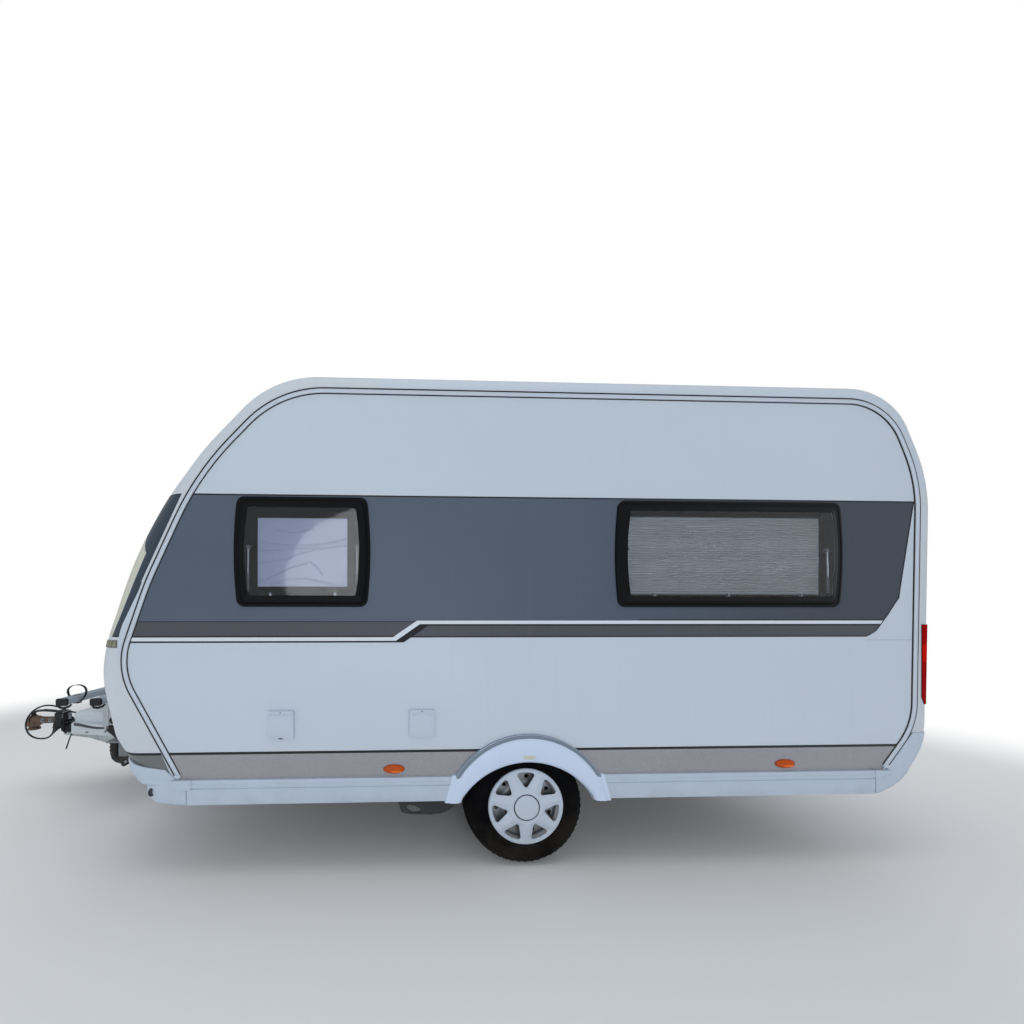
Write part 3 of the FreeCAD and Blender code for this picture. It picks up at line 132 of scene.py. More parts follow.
def addNode(tree, kind, settings=None, **values):
    made = tree.nodes.new(kind)
    for key, value in (settings or {}).items():
        setattr(made, key, value)
    setInputs(made, values)
    return made


def join(tree, source, target):
    tree.links.new(source, target)


def feed(tree, value, slot):
    # a fixed value is set, anything else is linked
    if isinstance(value, (int, float, tuple)):
        slot.default_value = value
    elif value is not None:
        join(tree, value, slot)


def sums(tree, operation, first, second=0.0, third=None, clamp=False):
    made = addNode(tree, "ShaderNodeMath", {"operation": operation, "use_clamp": clamp})
    for slot, value in zip(made.inputs, (first, second, third)):
        feed(tree, value, slot)
    return made.outputs[0]


def mixed(tree, share, first, second, blend="MIX"):
    made = addNode(tree, "ShaderNodeMix", {"data_type": "RGBA", "blend_type": blend})
    for slot, value in ((0, share), (6, first), (7, second)):
        feed(tree, value, made.inputs[slot])
    return made.outputs[2]


def ramped(tree, value, low, high):
    made = addNode(tree, "ShaderNodeMapRange", {"interpolation_type": "SMOOTHSTEP"})
    for slot, given in zip(made.inputs, (value, low, high)):
        feed(tree, given, slot)
    return made.outputs[0]


def noiseAt(tree, place, scale, detail=2.0, rough=0.5):
    made = addNode(tree, "ShaderNodeTexNoise", Detail=detail, Roughness=rough)
    join(tree, place, made.inputs["Vector"])
    feed(tree, scale, made.inputs["Scale"])
    return made.outputs[0]


def waveOver(tree, value, rate):
    # swings between 0 and 1 along a value
    swing = sums(tree, "SINE", sums(tree, "MULTIPLY", value, rate))
    return sums(tree, "MULTIPLY_ADD", swing, 0.5, 0.5)


def stretched(tree, place, scale):
    made = addNode(tree, "ShaderNodeMapping", {"vector_type": "POINT"}, Scale=scale)
    join(tree, place, made.inputs["Vector"])
    return made.outputs[0]


def heightOf(tree, place):
    made = addNode(tree, "ShaderNodeSeparateXYZ")
    join(tree, place, made.inputs[0])
    return made.outputs[2]


socketKinds = {"colour": "NodeSocketColor", "number": "NodeSocketFloat", "vector": "NodeSocketVector"}


def newGroup(name, inputs, outputs):
    tree = bpy.data.node_groups.new(name, "ShaderNodeTree")
    for label, kind, value in inputs:
        made = tree.interface.new_socket(name=label, in_out="INPUT", socket_type=socketKinds[kind])
        if value is not None:
            made.default_value = value
    for label, kind in outputs:
        tree.interface.new_socket(name=label, in_out="OUTPUT", socket_type=socketKinds[kind])
    given = tree.nodes.new("NodeGroupInput").outputs
    place = tree.nodes.new("ShaderNodeTexCoord").outputs["Object"]
    return tree, given, tree.nodes.new("NodeGroupOutput").inputs, place


def mottleGroup():
    # slow change of shade over a panel, as paint and plastic have
    tree, given, out, place = newGroup("mottle", [("Colour", "colour", None), ("Strength", "number", 0.1),
                                                  ("Scale", "number", 2.0)], [("Colour", "colour")])
    slow = noiseAt(tree, place, given["Scale"], 3.0, 0.6)
    swing = sums(tree, "MULTIPLY", sums(tree, "SUBTRACT", slow, 0.5), given["Strength"])
    level = sums(tree, "ADD", swing, 1.0)
    grey = addNode(tree, "ShaderNodeCombineColor")
    for slot in grey.inputs:
        join(tree, level, slot)
    join(tree, mixed(tree, 1.0, given["Colour"], grey.outputs[0], "MULTIPLY"), out["Colour"])
    return tree


def dustGroup():
    # road dust low down, and faint streaks where rain ran off
    tree, given, out, place = newGroup("roadDust", [
        ("Colour", "colour", None), ("Amount", "number", 0.3), ("Top", "number", 0.9),
        ("Streaks", "number", 0.1)], [("Colour", "colour"), ("Mask", "number")])
    low = ramped(tree, heightOf(tree, place), given["Top"], 0.05)
    cloud = ramped(tree, noiseAt(tree, place, 6.0, 5.0, 0.65), 0.3, 0.75)
    dust = sums(tree, "MULTIPLY", sums(tree, "MULTIPLY", low, cloud), given["Amount"])
    runs = noiseAt(tree, stretched(tree, place, (22.0, 22.0, 0.7)), 1.0, 4.0, 0.6)
    runs = sums(tree, "MULTIPLY", ramped(tree, runs, 0.55, 0.8), given["Streaks"])
    mask = sums(tree, "MAXIMUM", dust, runs, clamp=True)
    join(tree, mixed(tree, mask, given["Colour"], tone(120, 112, 100)), out["Colour"])
    join(tree, mask, out["Mask"])
    return tree


def wearGroup():
    # fine scuffs and rubbed places
    tree, given, out, place = newGroup("scuffs", [
        ("Colour", "colour", None), ("Bare", "colour", (0.5, 0.5, 0.5, 1)), ("Amount", "number", 0.2),
        ("Scale", "number", 30.0)], [("Colour", "colour"), ("Mask", "number")])
    lines = noiseAt(tree, stretched(tree, place, (1.0, 1.0, 7.0)), given["Scale"], 6.0, 0.7)
    patches = noiseAt(tree, place, 5.0, 2.0, 0.5)
    mask = sums(tree, "MULTIPLY", ramped(tree, lines, 0.6, 0.72), ramped(tree, patches, 0.4, 0.65))
    mask = sums(tree, "MULTIPLY", mask, given["Amount"], clamp=True)
    join(tree, mixed(tree, mask, given["Colour"], given["Bare"]), out["Colour"])
    join(tree, mask, out["Mask"])
    return tree


def grainGroup():
    # small pebble grain over slow waves, put out as a normal
    tree, given, out, place = newGroup("grain", [
        ("Scale", "number", 600.0), ("Depth", "number", 0.1), ("Waves", "number", 0.05),
        ("Wave Scale", "number", 6.0)], [("Normal", "vector"), ("Height", "number")])
    fine = noiseAt(tree, place, given["Scale"], 2.0, 0.5)
    wave = noiseAt(tree, place, given["Wave Scale"], 1.0, 0.4)
    first = addNode(tree, "ShaderNodeBump", Distance=0.02)
    join(tree, wave, first.inputs["Height"])
    join(tree, given["Waves"], first.inputs["Strength"])
    second = addNode(tree, "ShaderNodeBump", Distance=0.0006)
    join(tree, fine, second.inputs["Height"])
    join(tree, given["Depth"], second.inputs["Strength"])
    join(tree, first.outputs[0], second.inputs["Normal"])
    join(tree, second.outputs[0], out["Normal"])
    join(tree, fine, out["Height"])
    return tree


def glossGroup():
    # uneven gloss: base level, spread and where dust lies
    tree, given, out, place = newGroup("unevenGloss", [
        ("Base", "number", 0.4), ("Spread", "number", 0.1), ("Scale", "number", 8.0),
        ("Dust", "number", 0.0)], [("Roughness", "number")])
    cloud = noiseAt(tree, place, given["Scale"], 4.0, 0.6)
    swing = sums(tree, "MULTIPLY", sums(tree, "SUBTRACT", cloud, 0.5), given["Spread"])
    level = sums(tree, "ADD", given["Base"], swing)
    dusty = sums(tree, "MULTIPLY", given["Dust"], 0.4)
    join(tree, sums(tree, "ADD", level, dusty, clamp=True), out["Roughness"])
    return tree


mottle, roadDust, scuffs, grain, unevenGloss = (mottleGroup(), dustGroup(), wearGroup(), grainGroup(),
                                                glossGroup())


def newMaterial(name):
    made = bpy.data.materials.new(name)
    made.use_nodes = True
    made.node_tree.nodes.clear()
    tree = made.node_tree
    shader = tree.nodes.new("ShaderNodeBsdfPrincipled")
    join(tree, shader.outputs[0], tree.nodes.new("ShaderNodeOutputMaterial").inputs["Surface"])
    place = tree.nodes.new("ShaderNodeTexCoord").outputs["Object"]
    return made, tree, shader, place


def useGroup(tree, group, **values):
    made = tree.nodes.new("ShaderNodeGroup")
    made.node_tree = group
    for key, value in values.items():
        feed(tree, value, made.inputs[key.replace("_", " ")])
    return made.outputs


def lastLayers(tree, shader, layer, dust, gloss, bumps=None):
    # what lies over every finish: road dust (amount, top, streaks), uneven gloss and grain
    dusted = useGroup(tree, roadDust, Colour=layer, Amount=dust[0], Top=dust[1], Streaks=dust[2])
    join(tree, dusted["Colour"], shader.inputs["Base Color"])
    level = useGroup(tree, unevenGloss, Dust=dusted["Mask"], **gloss)
    join(tree, level["Roughness"], shader.inputs["Roughness"])
    if bumps:
        join(tree, useGroup(tree, grain, **bumps)["Normal"], shader.inputs["Normal"])


def embossed(tree, shader, height, strength, distance):
    bump = addNode(tree, "ShaderNodeBump", Strength=strength, Distance=distance)
    join(tree, height, bump.inputs["Height"])
    join(tree, bump.outputs[0], shader.inputs["Normal"])


def finish(name, colour, rough=0.4, spread=0.1, metal=0.0, coat=0.0, shade=(0.1, 2.0),
           dust=(0.2, 0.9, 0.05),
           scuff=(0.2, 30.0, (0.5, 0.5, 0.5, 1)), pebbles=(600, 0.1), waves=(0.05, 6.0), **fixed):
    # most finishes of the caravan: shade, scuffs, dust, uneven gloss and grain
    made, tree, shader = newMaterial(name)[:3]
    layer = useGroup(tree, mottle, Colour=colour, Strength=shade[0], Scale=shade[1])
    layer = useGroup(tree, scuffs, Colour=layer["Colour"], Amount=scuff[0], Scale=scuff[1], Bare=scuff[2])
    lastLayers(tree, shader, layer["Colour"], dust, {"Base": rough, "Spread": spread},
               {"Scale": pebbles[0], "Depth": pebbles[1], "Waves": waves[0], "Wave_Scale": waves[1]})
    setInputs(shader, {"Metallic": metal, "Coat Weight": coat, "Coat Roughness": 0.12, **fixed})
    return made


def pleatShadedFinish(name, colour, step, dark):
    # blind cloth: fine level pleats read from the height, with faint waviness; every fold is also painted
    # darker along the pleat, as painted shade
    made, tree, shader, place = newMaterial(name)
    sway = sums(tree, "MULTIPLY", noiseAt(tree, place, 5.0, 2.0), 0.004)
    wave = waveOver(tree, sums(tree, "ADD", heightOf(tree, place), sway), 2 * pi / step)
    layer = useGroup(tree, mottle, Colour=colour, Strength=0.18, Scale=4.0)
    threads = noiseAt(tree, stretched(tree, place, (900.0, 900.0, 260.0)), 1.0, 1.0)
    # painted shade of the folds: the dark colour laid along every pleat; the same dark colour then marks
    # the threads
    cloth = mixed(tree, sums(tree, "MULTIPLY", wave, 0.35), layer["Colour"], dark)
    cloth = mixed(tree, sums(tree, "MULTIPLY", ramped(tree, threads, 0.35, 0.7), 0.12), cloth, dark)
    join(tree, cloth, shader.inputs["Base Color"])
    embossed(tree, shader, wave, 0.5, 0.002)
    join(tree, sums(tree, "MULTIPLY_ADD", threads, 0.1, 0.8), shader.inputs["Roughness"])
    setInputs(shader, {"Sheen Weight": 0.15})
    return made


def zincFinish(name, colour, spangle=45.0, rough=0.42):
    # hot dipped zinc: crystal patches of different shade, with dull runs
    made, tree, shader, place = newMaterial(name)
    cells = addNode(tree, "ShaderNodeTexVoronoi", {"feature": "F1"}, Scale=spangle)
    join(tree, place, cells.inputs["Vector"])
    patch = sums(tree, "MULTIPLY_ADD", heightOf(tree, cells.outputs["Color"]), 0.3, 0.0)
    runs = noiseAt(tree, stretched(tree, place, (5.0, 5.0, 1.5)), 1.0, 5.0, 0.65)
    layer = mixed(tree, patch, colour, tone(112, 118, 122))
    layer = mixed(tree, sums(tree, "MULTIPLY", ramped(tree, runs, 0.5, 0.75), 0.5), layer,
                  tone(104, 104, 100))
    lastLayers(tree, shader, layer, (0.5, 0.75, 0.1), {"Base": rough, "Spread": 0.25, "Scale": 20.0},
               {"Scale": 260.0, "Depth": 0.25, "Waves": 0.05, "Wave_Scale": 20.0})
    setInputs(shader, {"Metallic": 0.7})
    return made


def paneFinish(name, colour):
    # tinted acrylic: plain glass settings, with fine rubbing marks in its gloss
    made, tree, shader, place = newMaterial(name)
    marks = noiseAt(tree, stretched(tree, place, (3.0, 3.0, 40.0)), 3.0, 6.0, 0.7)
    level = sums(tree, "MULTIPLY_ADD", ramped(tree, marks, 0.55, 0.8), 0.12, 0.03)
    join(tree, level, shader.inputs["Roughness"])
    bumps = useGroup(tree, grain, Scale=40.0, Depth=0.02, Waves=0.04, Wave_Scale=4.0)
    join(tree, bumps["Normal"], shader.inputs["Normal"])
    setInputs(shader, {"Base Color": colour, "Transmission Weight": 1.0, "IOR": 1.45,
                       "Specular IOR Level": 0.06})
    return made


def lensFinish(name, colour, deep, ribs=260.0, across=(1.0, 0.0, 0.0), sheen=0.25):
    # lamp lens: ribbed inner face seen through coloured plastic
    made, tree, shader, place = newMaterial(name)
    split = addNode(tree, "ShaderNodeVectorMath", {"operation": "DOT_PRODUCT"})
    join(tree, place, split.inputs[0])
    split.inputs[1].default_value = across
    columns = waveOver(tree, split.outputs["Value"], ribs * 2 * pi)
    cell = sums(tree, "MULTIPLY", columns, waveOver(tree, heightOf(tree, place), ribs * 2 * pi))
    lastLayers(tree, shader, mixed(tree, cell, deep, colour), (0.15, 1.2, 0.05),
               {"Base": 0.14, "Spread": 0.08})
    embossed(tree, shader, cell, 0.25, 0.0008)
    setInputs(shader, {"Specular IOR Level": sheen})
    return made


def woodFinish(name, light, dark):
    # light veneer with grain running upwards
    made, tree, shader, place = newMaterial(name)
    rings = noiseAt(tree, stretched(tree, place, (9.0, 9.0, 0.6)), 1.5, 4.0, 0.6)
    pores = noiseAt(tree, stretched(tree, place, (260.0, 260.0, 9.0)), 1.0, 2.0)
    layer = mixed(tree, sums(tree, "MULTIPLY", waveOver(tree, rings, 60.0), 0.7), light, dark)
    layer = mixed(tree, sums(tree, "MULTIPLY", ramped(tree, pores, 0.55, 0.75), 0.4), layer,
                  tone(110, 80, 52))
    join(tree, layer, shader.inputs["Base Color"])
    gloss = useGroup(tree, unevenGloss, Base=0.38, Spread=0.12)
    join(tree, gloss["Roughness"], shader.inputs["Roughness"])
    embossed(tree, shader, pores, 0.2, 0.0004)
    return made


def flakeFinish(name, colour, bright, speck=900.0, amount=0.35, coat=0.25, shadeAcross=None):
    # metallic decor film: fine bright flakes, with a slow change of shade
    made, tree, shader, place = newMaterial(name)
    layer = useGroup(tree, mottle, Colour=colour, Strength=0.22, Scale=1.3)
    flakes = noiseAt(tree, place, speck, 2.0, 0.6)
    tinted = mixed(tree, sums(tree, "MULTIPLY", ramped(tree, flakes, 0.45, 0.7), amount), layer["Colour"],
                   bright)
    if shadeAcross:
        split = addNode(tree, "ShaderNodeSeparateXYZ")
        join(tree, place, split.inputs[0])
        start, end, dark = shadeAcross
        tinted = mixed(tree, sums(tree, "MULTIPLY", ramped(tree, split.outputs[0], start, end), 0.75),
                       tinted, dark)
    lastLayers(tree, shader, tinted, (0.2, 0.8, 0.12), {"Base": 0.38, "Spread": 0.12, "Scale": 5.0},
               {"Scale": speck, "Depth": 0.12, "Waves": 0.05, "Wave_Scale": 4.0})
    setInputs(shader, {"Metallic": 0.25, "Coat Weight": coat})
    return made


# finishes
shellPaint = finish("shellPaint", tone(190, 202, 216), 0.34, 0.12, coat=0.25, shade=(0.09, 0.8),
                    dust=(0.28, 0.8, 0.03), scuff=(0.08, 14.0, tone(150, 152, 152)), pebbles=(420, 0.05),
                    waves=(0.10, 2.2))
nosePaint = finish("nosePaint", tone(194, 203, 213), 0.3, 0.14, coat=0.35, shade=(0.08, 1.0),
                   dust=(0.32, 0.95, 0.1), scuff=(0.1, 14.0, tone(150, 152, 150)), pebbles=(300, 0.04),
                   waves=(0.12, 2.6))
trimPlastic = finish("trimPlastic", tone(180, 194, 212), 0.42, 0.12, shade=(0.09, 1.6),
                     dust=(0.5, 0.62, 0.05), scuff=(0.25, 24.0, tone(146, 146, 144)), pebbles=(1500, 0.22))
archTrim = finish("archTrim", tone(114, 128, 144), 0.45, 0.1, shade=(0.12, 3.0), dust=(0.3, 0.8, 0.05))
coverPlastic = finish("coverPlastic", tone(188, 197, 205), 0.48, 0.16, shade=(0.12, 3.0),
                      dust=(0.45, 0.75, 0.12), scuff=(0.35, 20.0, tone(128, 124, 116)), pebbles=(900, 0.3))
greyHandle = finish("greyHandle", tone(96, 100, 106), 0.5, 0.12, shade=(0.12, 6.0), pebbles=(1400, 0.4))
blackSeal = finish("blackSeal", tone(24, 25, 29), 0.5, 0.14, shade=(0.3, 12.0), dust=(0.3, 1.2, 0.1),
                   scuff=(0.2, 40.0, tone(70, 70, 70)), pebbles=(1500, 0.3))
blackRubber = finish("blackRubber", tone(26, 26, 30), 0.62, 0.16, shade=(0.3, 9.0), dust=(0.35, 0.7, 0.1),
                     scuff=(0.3, 50.0, tone(78, 76, 72)), pebbles=(1100, 0.5))
tyreRubber = finish("tyreRubber", tone(4, 4, 6), 0.85, 0.16, shade=(0.35, 7.0), dust=(0.10, 0.5, 0.0),
                    scuff=(0.2, 40.0, tone(52, 50, 48)), pebbles=(1200, 0.6),
                    Specular_IOR_Level=0.12)
leadRubber = finish("leadRubber", tone(22, 22, 26), 0.48, 0.12, shade=(0.25, 30.0), dust=(0.2, 0.7, 0.0),
                    scuff=(0.3, 60.0, tone(80, 78, 76)), pebbles=(1600, 0.35))
blackSteel = finish("blackSteel", tone(34, 35, 38), 0.46, 0.2, metal=0.4, shade=(0.25, 10.0),
                    dust=(0.4, 0.7, 0.1), scuff=(0.5, 40.0, tone(104, 86, 70)), pebbles=(700, 0.35))
silverPaint = finish("silverPaint", tone(150, 154, 160), 0.36, 0.14, metal=0.75, shade=(0.15, 12.0),
                     dust=(0.5, 0.5, 0.0), scuff=(0.3, 50.0, tone(98, 88, 78)), pebbles=(1500, 0.2))
capPlastic = finish("capPlastic", tone(186, 198, 214), 0.34, 0.1, coat=0.25, shade=(0.08, 6.0),
                    dust=(0.35, 0.5, 0.0), scuff=(0.25, 50.0, tone(120, 118, 114)), pebbles=(1500, 0.08))
railMetal = finish("railMetal", tone(196, 206, 220), 0.46, 0.14, metal=0.08, shade=(0.1, 2.0),
                   dust=(0.25, 0.9, 0.1), scuff=(0.3, 60.0, tone(118, 120, 122)), pebbles=(1800, 0.12))
bareMetal = finish("bareMetal", tone(150, 156, 162), 0.36, 0.16, metal=0.8, shade=(0.15, 9.0),
                   dust=(0.3, 0.9, 0.1), scuff=(0.45, 60.0, tone(86, 84, 82)), pebbles=(1800, 0.2))
zinc = zincFinish("zinc", tone(142, 150, 156))
darkZinc = zincFinish("darkZinc", tone(104, 112, 118), 60.0, 0.5)
floorBoard = finish("floorBoard", tone(92, 92, 92), 0.75, 0.1, shade=(0.3, 6.0), dust=(0.5, 0.6, 0.0),
                    scuff=(0.3, 20.0, tone(120, 112, 100)), pebbles=(200, 0.6))
bandFilm = flakeFinish("bandFilm", tone(80, 92, 110), tone(114, 126, 144),
                       shadeAcross=(along(-0.2), along(2.1), tone(44, 53, 64)))
bandLowFilm = flakeFinish("bandLowFilm", tone(74, 77, 86), tone(110, 110, 118), speck=500.0, amount=0.3)
# the grey base film of the sides again, darker for the nose: painted shade on the nose's lower band
noseFilm = flakeFinish("noseFilm", tone(104, 110, 112), tone(134, 138, 140), speck=500.0, amount=0.3)
greyFilm = flakeFinish("greyFilm", tone(142, 143, 151), tone(206, 204, 208), speck=420.0, amount=0.6,
                       coat=0.1)
whiteLine = finish("whiteLine", tone(208, 216, 228), 0.36, 0.08, shade=(0.05, 3.0), dust=(0.1, 0.9, 0.05))
darkLine = finish("darkLine", tone(14, 16, 23), 0.4, 0.1, shade=(0.2, 4.0), dust=(0.15, 0.9, 0.05))
tintedPane = paneFinish("tintedPane", (0.84, 0.86, 0.90, 1))
darkPane = paneFinish("darkPane", (0.10, 0.115, 0.13, 1))
paneBorder = finish("paneBorder", tone(6, 7, 10), 0.12, 0.08, shade=(0.4, 5.0),
                    dust=(0.0, 0.9, 0.015), scuff=(0.08, 30.0, tone(60, 57, 50)), pebbles=(60, 0.06),
                    waves=(0.12, 5.0), Specular_IOR_Level=0.2)
linerBlack = finish("linerBlack", tone(5, 5, 6), 0.7, 0.1, shade=(0.3, 9.0), dust=(0.0, 0.9, 0.0),
                    scuff=(0.1, 30.0, tone(14, 14, 14)), pebbles=(300, 0.03), Specular_IOR_Level=0.0)
frontFilm = finish("frontFilm", tone(44, 58, 72), 0.3, 0.1, shade=(0.25, 3.0), dust=(0.2, 1.6, 0.1),
                   scuff=(0.15, 30.0, tone(110, 110, 106)), pebbles=(300, 0.05))
filmGloss = finish("filmGloss", tone(178, 190, 222), 0.32, 0.15, coat=0.5, shade=(0.12, 5.0),
                   dust=(0.0, 0.9, 0.06), pebbles=(500, 0.05), waves=(0.2, 9.0))
# the darker colour is painted shade along the pleats' folds, and the colour of the threads
rearBlind = pleatShadedFinish("rearBlind", tone(184, 190, 194), 0.013, tone(126, 131, 135))
redLens = lensFinish("redLens", tone(226, 30, 26), tone(184, 14, 14), 110.0, sheen=0.0)
darkRedLens = lensFinish("darkRedLens", tone(190, 22, 22), tone(140, 9, 12), 110.0, sheen=0.0)
amberLens = lensFinish("amberLens", tone(220, 98, 14), tone(168, 60, 4), 130.0)
glossBlack = finish("glossBlack", tone(16, 18, 24), 0.3, 0.14, coat=0.3, shade=(0.3, 9.0),
                    dust=(0.12, 0.6, 0.0),
                    scuff=(0.3, 40.0, tone(80, 76, 72)), pebbles=(900, 0.2))
silverPost = finish("silverPost", tone(176, 184, 190), 0.42, 0.16, metal=0.35, shade=(0.12, 9.0),
                    dust=(0.25, 0.9, 0.1), scuff=(0.3, 50.0, tone(110, 112, 114)), pebbles=(1500, 0.2))
rackMetal = finish("rackMetal", tone(176, 188, 198), 0.4, 0.14, metal=0.2, shade=(0.1, 6.0),
                   dust=(0.2, 0.9, 0.05),
                   scuff=(0.3, 40.0, tone(120, 120, 120)), pebbles=(1200, 0.1))
jawSteel = finish("jawSteel", tone(104, 86, 74), 0.55, 0.2, metal=0.3, shade=(0.4, 20.0),
                  dust=(0.3, 0.9, 0.1),
                  scuff=(0.5, 40.0, tone(66, 54, 48)), pebbles=(700, 0.5))
leverSteel = finish("leverSteel", tone(48, 46, 46), 0.4, 0.2, metal=0.3, shade=(0.4, 20.0),
                    dust=(0.3, 0.9, 0.1),
                    scuff=(0.6, 40.0, tone(150, 146, 140)), pebbles=(700, 0.4))
spatPlastic = finish("spatPlastic", tone(196, 212, 236), 0.34, 0.1, coat=0.2, shade=(0.06, 5.0),
                     dust=(0.25, 0.6, 0.03),
                     scuff=(0.1, 40.0, tone(150, 150, 150)), pebbles=(1500, 0.08))
paleZinc = zincFinish("paleZinc", tone(196, 204, 208), 40.0, 0.5)
brightAmber = lensFinish("brightAmber", tone(250, 132, 30), tone(214, 92, 14), 150.0)
darkAmber = finish("darkAmber", tone(140, 62, 26), 0.4, 0.1, shade=(0.3, 9.0), dust=(0.3, 1.0, 0.0))
creamPlastic = finish("creamPlastic", tone(196, 198, 186), 0.4, 0.1, shade=(0.2, 30.0), pebbles=(1500, 0.2),
                      scuff=(0.5, 60.0, tone(140, 138, 118)))
flapPlastic = finish("flapPlastic", tone(188, 200, 216), 0.38, 0.1, shade=(0.08, 6.0),
                     dust=(0.2, 1.2, 0.05),
                     scuff=(0.15, 40.0, tone(140, 142, 146)), pebbles=(1500, 0.12))
shadowGap = finish("shadowGap", tone(58, 62, 70), 0.6, 0.1, shade=(0.2, 20.0), dust=(0.2, 1.2, 0.0))
smokedLens = lensFinish("smokedLens", tone(150, 148, 132), tone(108, 106, 92), 110.0, (0.0, 1.0, 0.0))
clearLens = lensFinish("clearLens", tone(206, 212, 220), tone(158, 166, 176), 110.0, (0.0, 1.0, 0.0))
whiteLens = finish("whiteLens", tone(196, 204, 212), 0.3, 0.1, shade=(0.1, 4.0), dust=(0.2, 3.5, 0.0))
veneer = woodFinish("veneer", tone(176, 138, 98), tone(146, 108, 72))
paleVeneer = woodFinish("paleVeneer", tone(206, 190, 166), tone(186, 168, 140))
greyWorktop = finish("greyWorktop", tone(120, 120, 124), 0.4, 0.1, shade=(0.3, 30.0), dust=(0.0, 0.9, 0.0),
                     pebbles=(900, 0.1))
ventPlastic = finish("ventPlastic", tone(214, 220, 224), 0.3, 0.1, coat=0.3, shade=(0.08, 6.0),
                     dust=(0.3, 3.0, 0.05),
                     scuff=(0.2, 40.0, tone(160, 158, 150)), pebbles=(900, 0.1))

slotFinishes = {"shell_white": shellPaint, "nose_white": nosePaint, "trim_white": trimPlastic,
                "tinted_acrylic": darkPane, "blind_fabric": rearBlind, "anodised_rail": railMetal,
                "grey_floor": floorBoard, "galvanised": zinc, "black_steel": blackSteel,
                "tyre_rubber": tyreRubber, "wheel_silver": silverPaint, "cap_white": capPlastic,
                "lamp_red": redLens, "lamp_amber": amberLens, "lamp_clear": clearLens,
                "handle_grey": greyHandle, "black_rubber": blackRubber, "furniture": veneer}
for cadNode in nodes.values():
    for holder in cadNode.material_slots:
        holder.material = slotFinishes[holder.material.name.split(".")[0]]
nodes["drawbar_cover"].material_slots[0].material = coverPlastic
nodes["coupling_head"].material_slots[0].material = darkZinc
lead.data.materials.append(leadRubber)
print("finishes ready")

# mesh helpers


def turns(count):
    return [2 * pi * i / count for i in range(count)]


def centreOf(points):
    return sum(points, Vector((0, 0))) / len(points)


def runAt(points, spot):
    # the direction of a line of points at one of them
    return (points[min(spot + 1, len(points) - 1)] - points[max(spot - 1, 0)]).normalized()


def inward(run, away):
    # the normal of a flat run that points to the side of another direction
    normal = Vector((-run.y, run.x)).normalized()
    return -normal if normal.dot(away) < 0 else normal


def paint(faces, index):
    for face in faces:
        face.material_index = index


def roundedOutline(rows, closed=True, step=9.0):
    # rows of (across, up, corner radius) to a run of points with arcs at the corners
    points = []
    for index, (across, up, radius) in enumerate(rows):
        here = Vector((across, up))
        if radius <= 0 or (not closed and index in (0, len(rows) - 1)):
            points.append(here)
            continue
        back = (Vector(rows[index - 1][:2]) - here).normalized()
        onward = (Vector(rows[(index + 1) % len(rows)][:2]) - here).normalized()
        half = back.angle(onward) / 2
        centre = here + (back + onward).normalized() * (radius / sin(half))
        start = here + back * (radius / tan(half)) - centre
        end = here + onward * (radius / tan(half)) - centre
        turn = start.angle_signed(end)
        count = max(2, ceil(abs(degrees(turn)) / step))
        for part in range(count + 1):
            points.append(centre + Matrix.Rotation(-turn * part / count, 2) @ start)
    return points


def roundedBox(left, right, foot, head, corner):
    return roundedOutline([(left, foot, corner), (right, foot, corner), (right, head, corner),
                           (left, head, corner)])


def inset(points, depth, closed=True):
    # moves an outline inwards, towards its own middle
    middle = centreOf(points)
    moved = []
    last = len(points) - 1
    for index, here in enumerate(points):
        back = points[index - 1] if closed or index else here
        onward = points[(index + 1) % len(points)] if closed or index < last else here
        moved.append(here + inward(onward - back, middle - here) * depth)
    return moved


def clipTo(outline, convex):
    # the part of an outline inside a convex one
    middle = centreOf(convex)
    kept = [Vector(p) for p in outline]
    for index, start in enumerate(convex):
        run = convex[(index + 1) % len(convex)] - start
        if run.length < 1e-9:
            continue
        normal = inward(run, middle - start)
        given, kept = kept, []
        for spot, here in enumerate(given):
            before = given[spot - 1]
            inHere, inBefore = normal.dot(here - start), normal.dot(before - start)
            if (inHere >= 0) != (inBefore >= 0):
                kept.append(before.lerp(here, inBefore / (inBefore - inHere)))
            if inHere >= 0:
                kept.append(here)
        if not kept:
            return []
    return kept


def addRings(bm, rings, index=0, capped=True):
    # a skin over rings of points; a ring of one point is a pole
    made = [[bm.verts.new(point) for point in ring] for ring in rings]
    faces = []
    for first, second in zip(made, made[1:]):
        count = max(len(first), len(second))
        for spot in range(count):
            after = (spot + 1) % count
            corners = [first[spot % len(first)], first[after % len(first)],
                       second[after % len(second)], second[spot % len(second)]]
            corners = list(dict.fromkeys(corners))
            if len(corners) > 2:
                faces.append(bm.faces.new(corners))
    if capped:
        for ring in (made[0], made[-1]):
            if len(ring) > 2:
                faces.append(bm.faces.new(ring))
    paint(faces, index)
    return made


def addDome(bm, placed, outline, rows, index=0):
    # rings of an outline drawn in to its middle while it comes out
    middle = centreOf(outline)
    rings = [[placed(*middle.lerp(p, share), out) for p in outline] if share else [placed(*middle, out)]
             for share, out in rows]
    addRings(bm, rings, index)


def addSlab(bm, outline, holes, placed, low, high, index=0):
    # a plate between two heights, with holes; placed(across, up, height) gives the point
    loops = [[Vector((p[0], p[1], 0)) for p in loop] for loop in [outline, *holes]]
    flat = [p for loop in loops for p in loop]
    triangles = tessellate_polygon(loops)
    levels = [[bm.verts.new(placed(p.x, p.y, height)) for p in flat] for height in (low, high)]
    faces = [bm.faces.new([level[i] for i in triangle]) for level in levels for triangle in triangles]
    start = 0
    for loop in loops:
        for spot in range(len(loop)):
            here, after = start + spot, start + (spot + 1) % len(loop)
            faces.append(bm.faces.new((levels[0][here], levels[0][after], levels[1][after],
                                       levels[1][here])))
        start += len(loop)
    paint(faces, index)


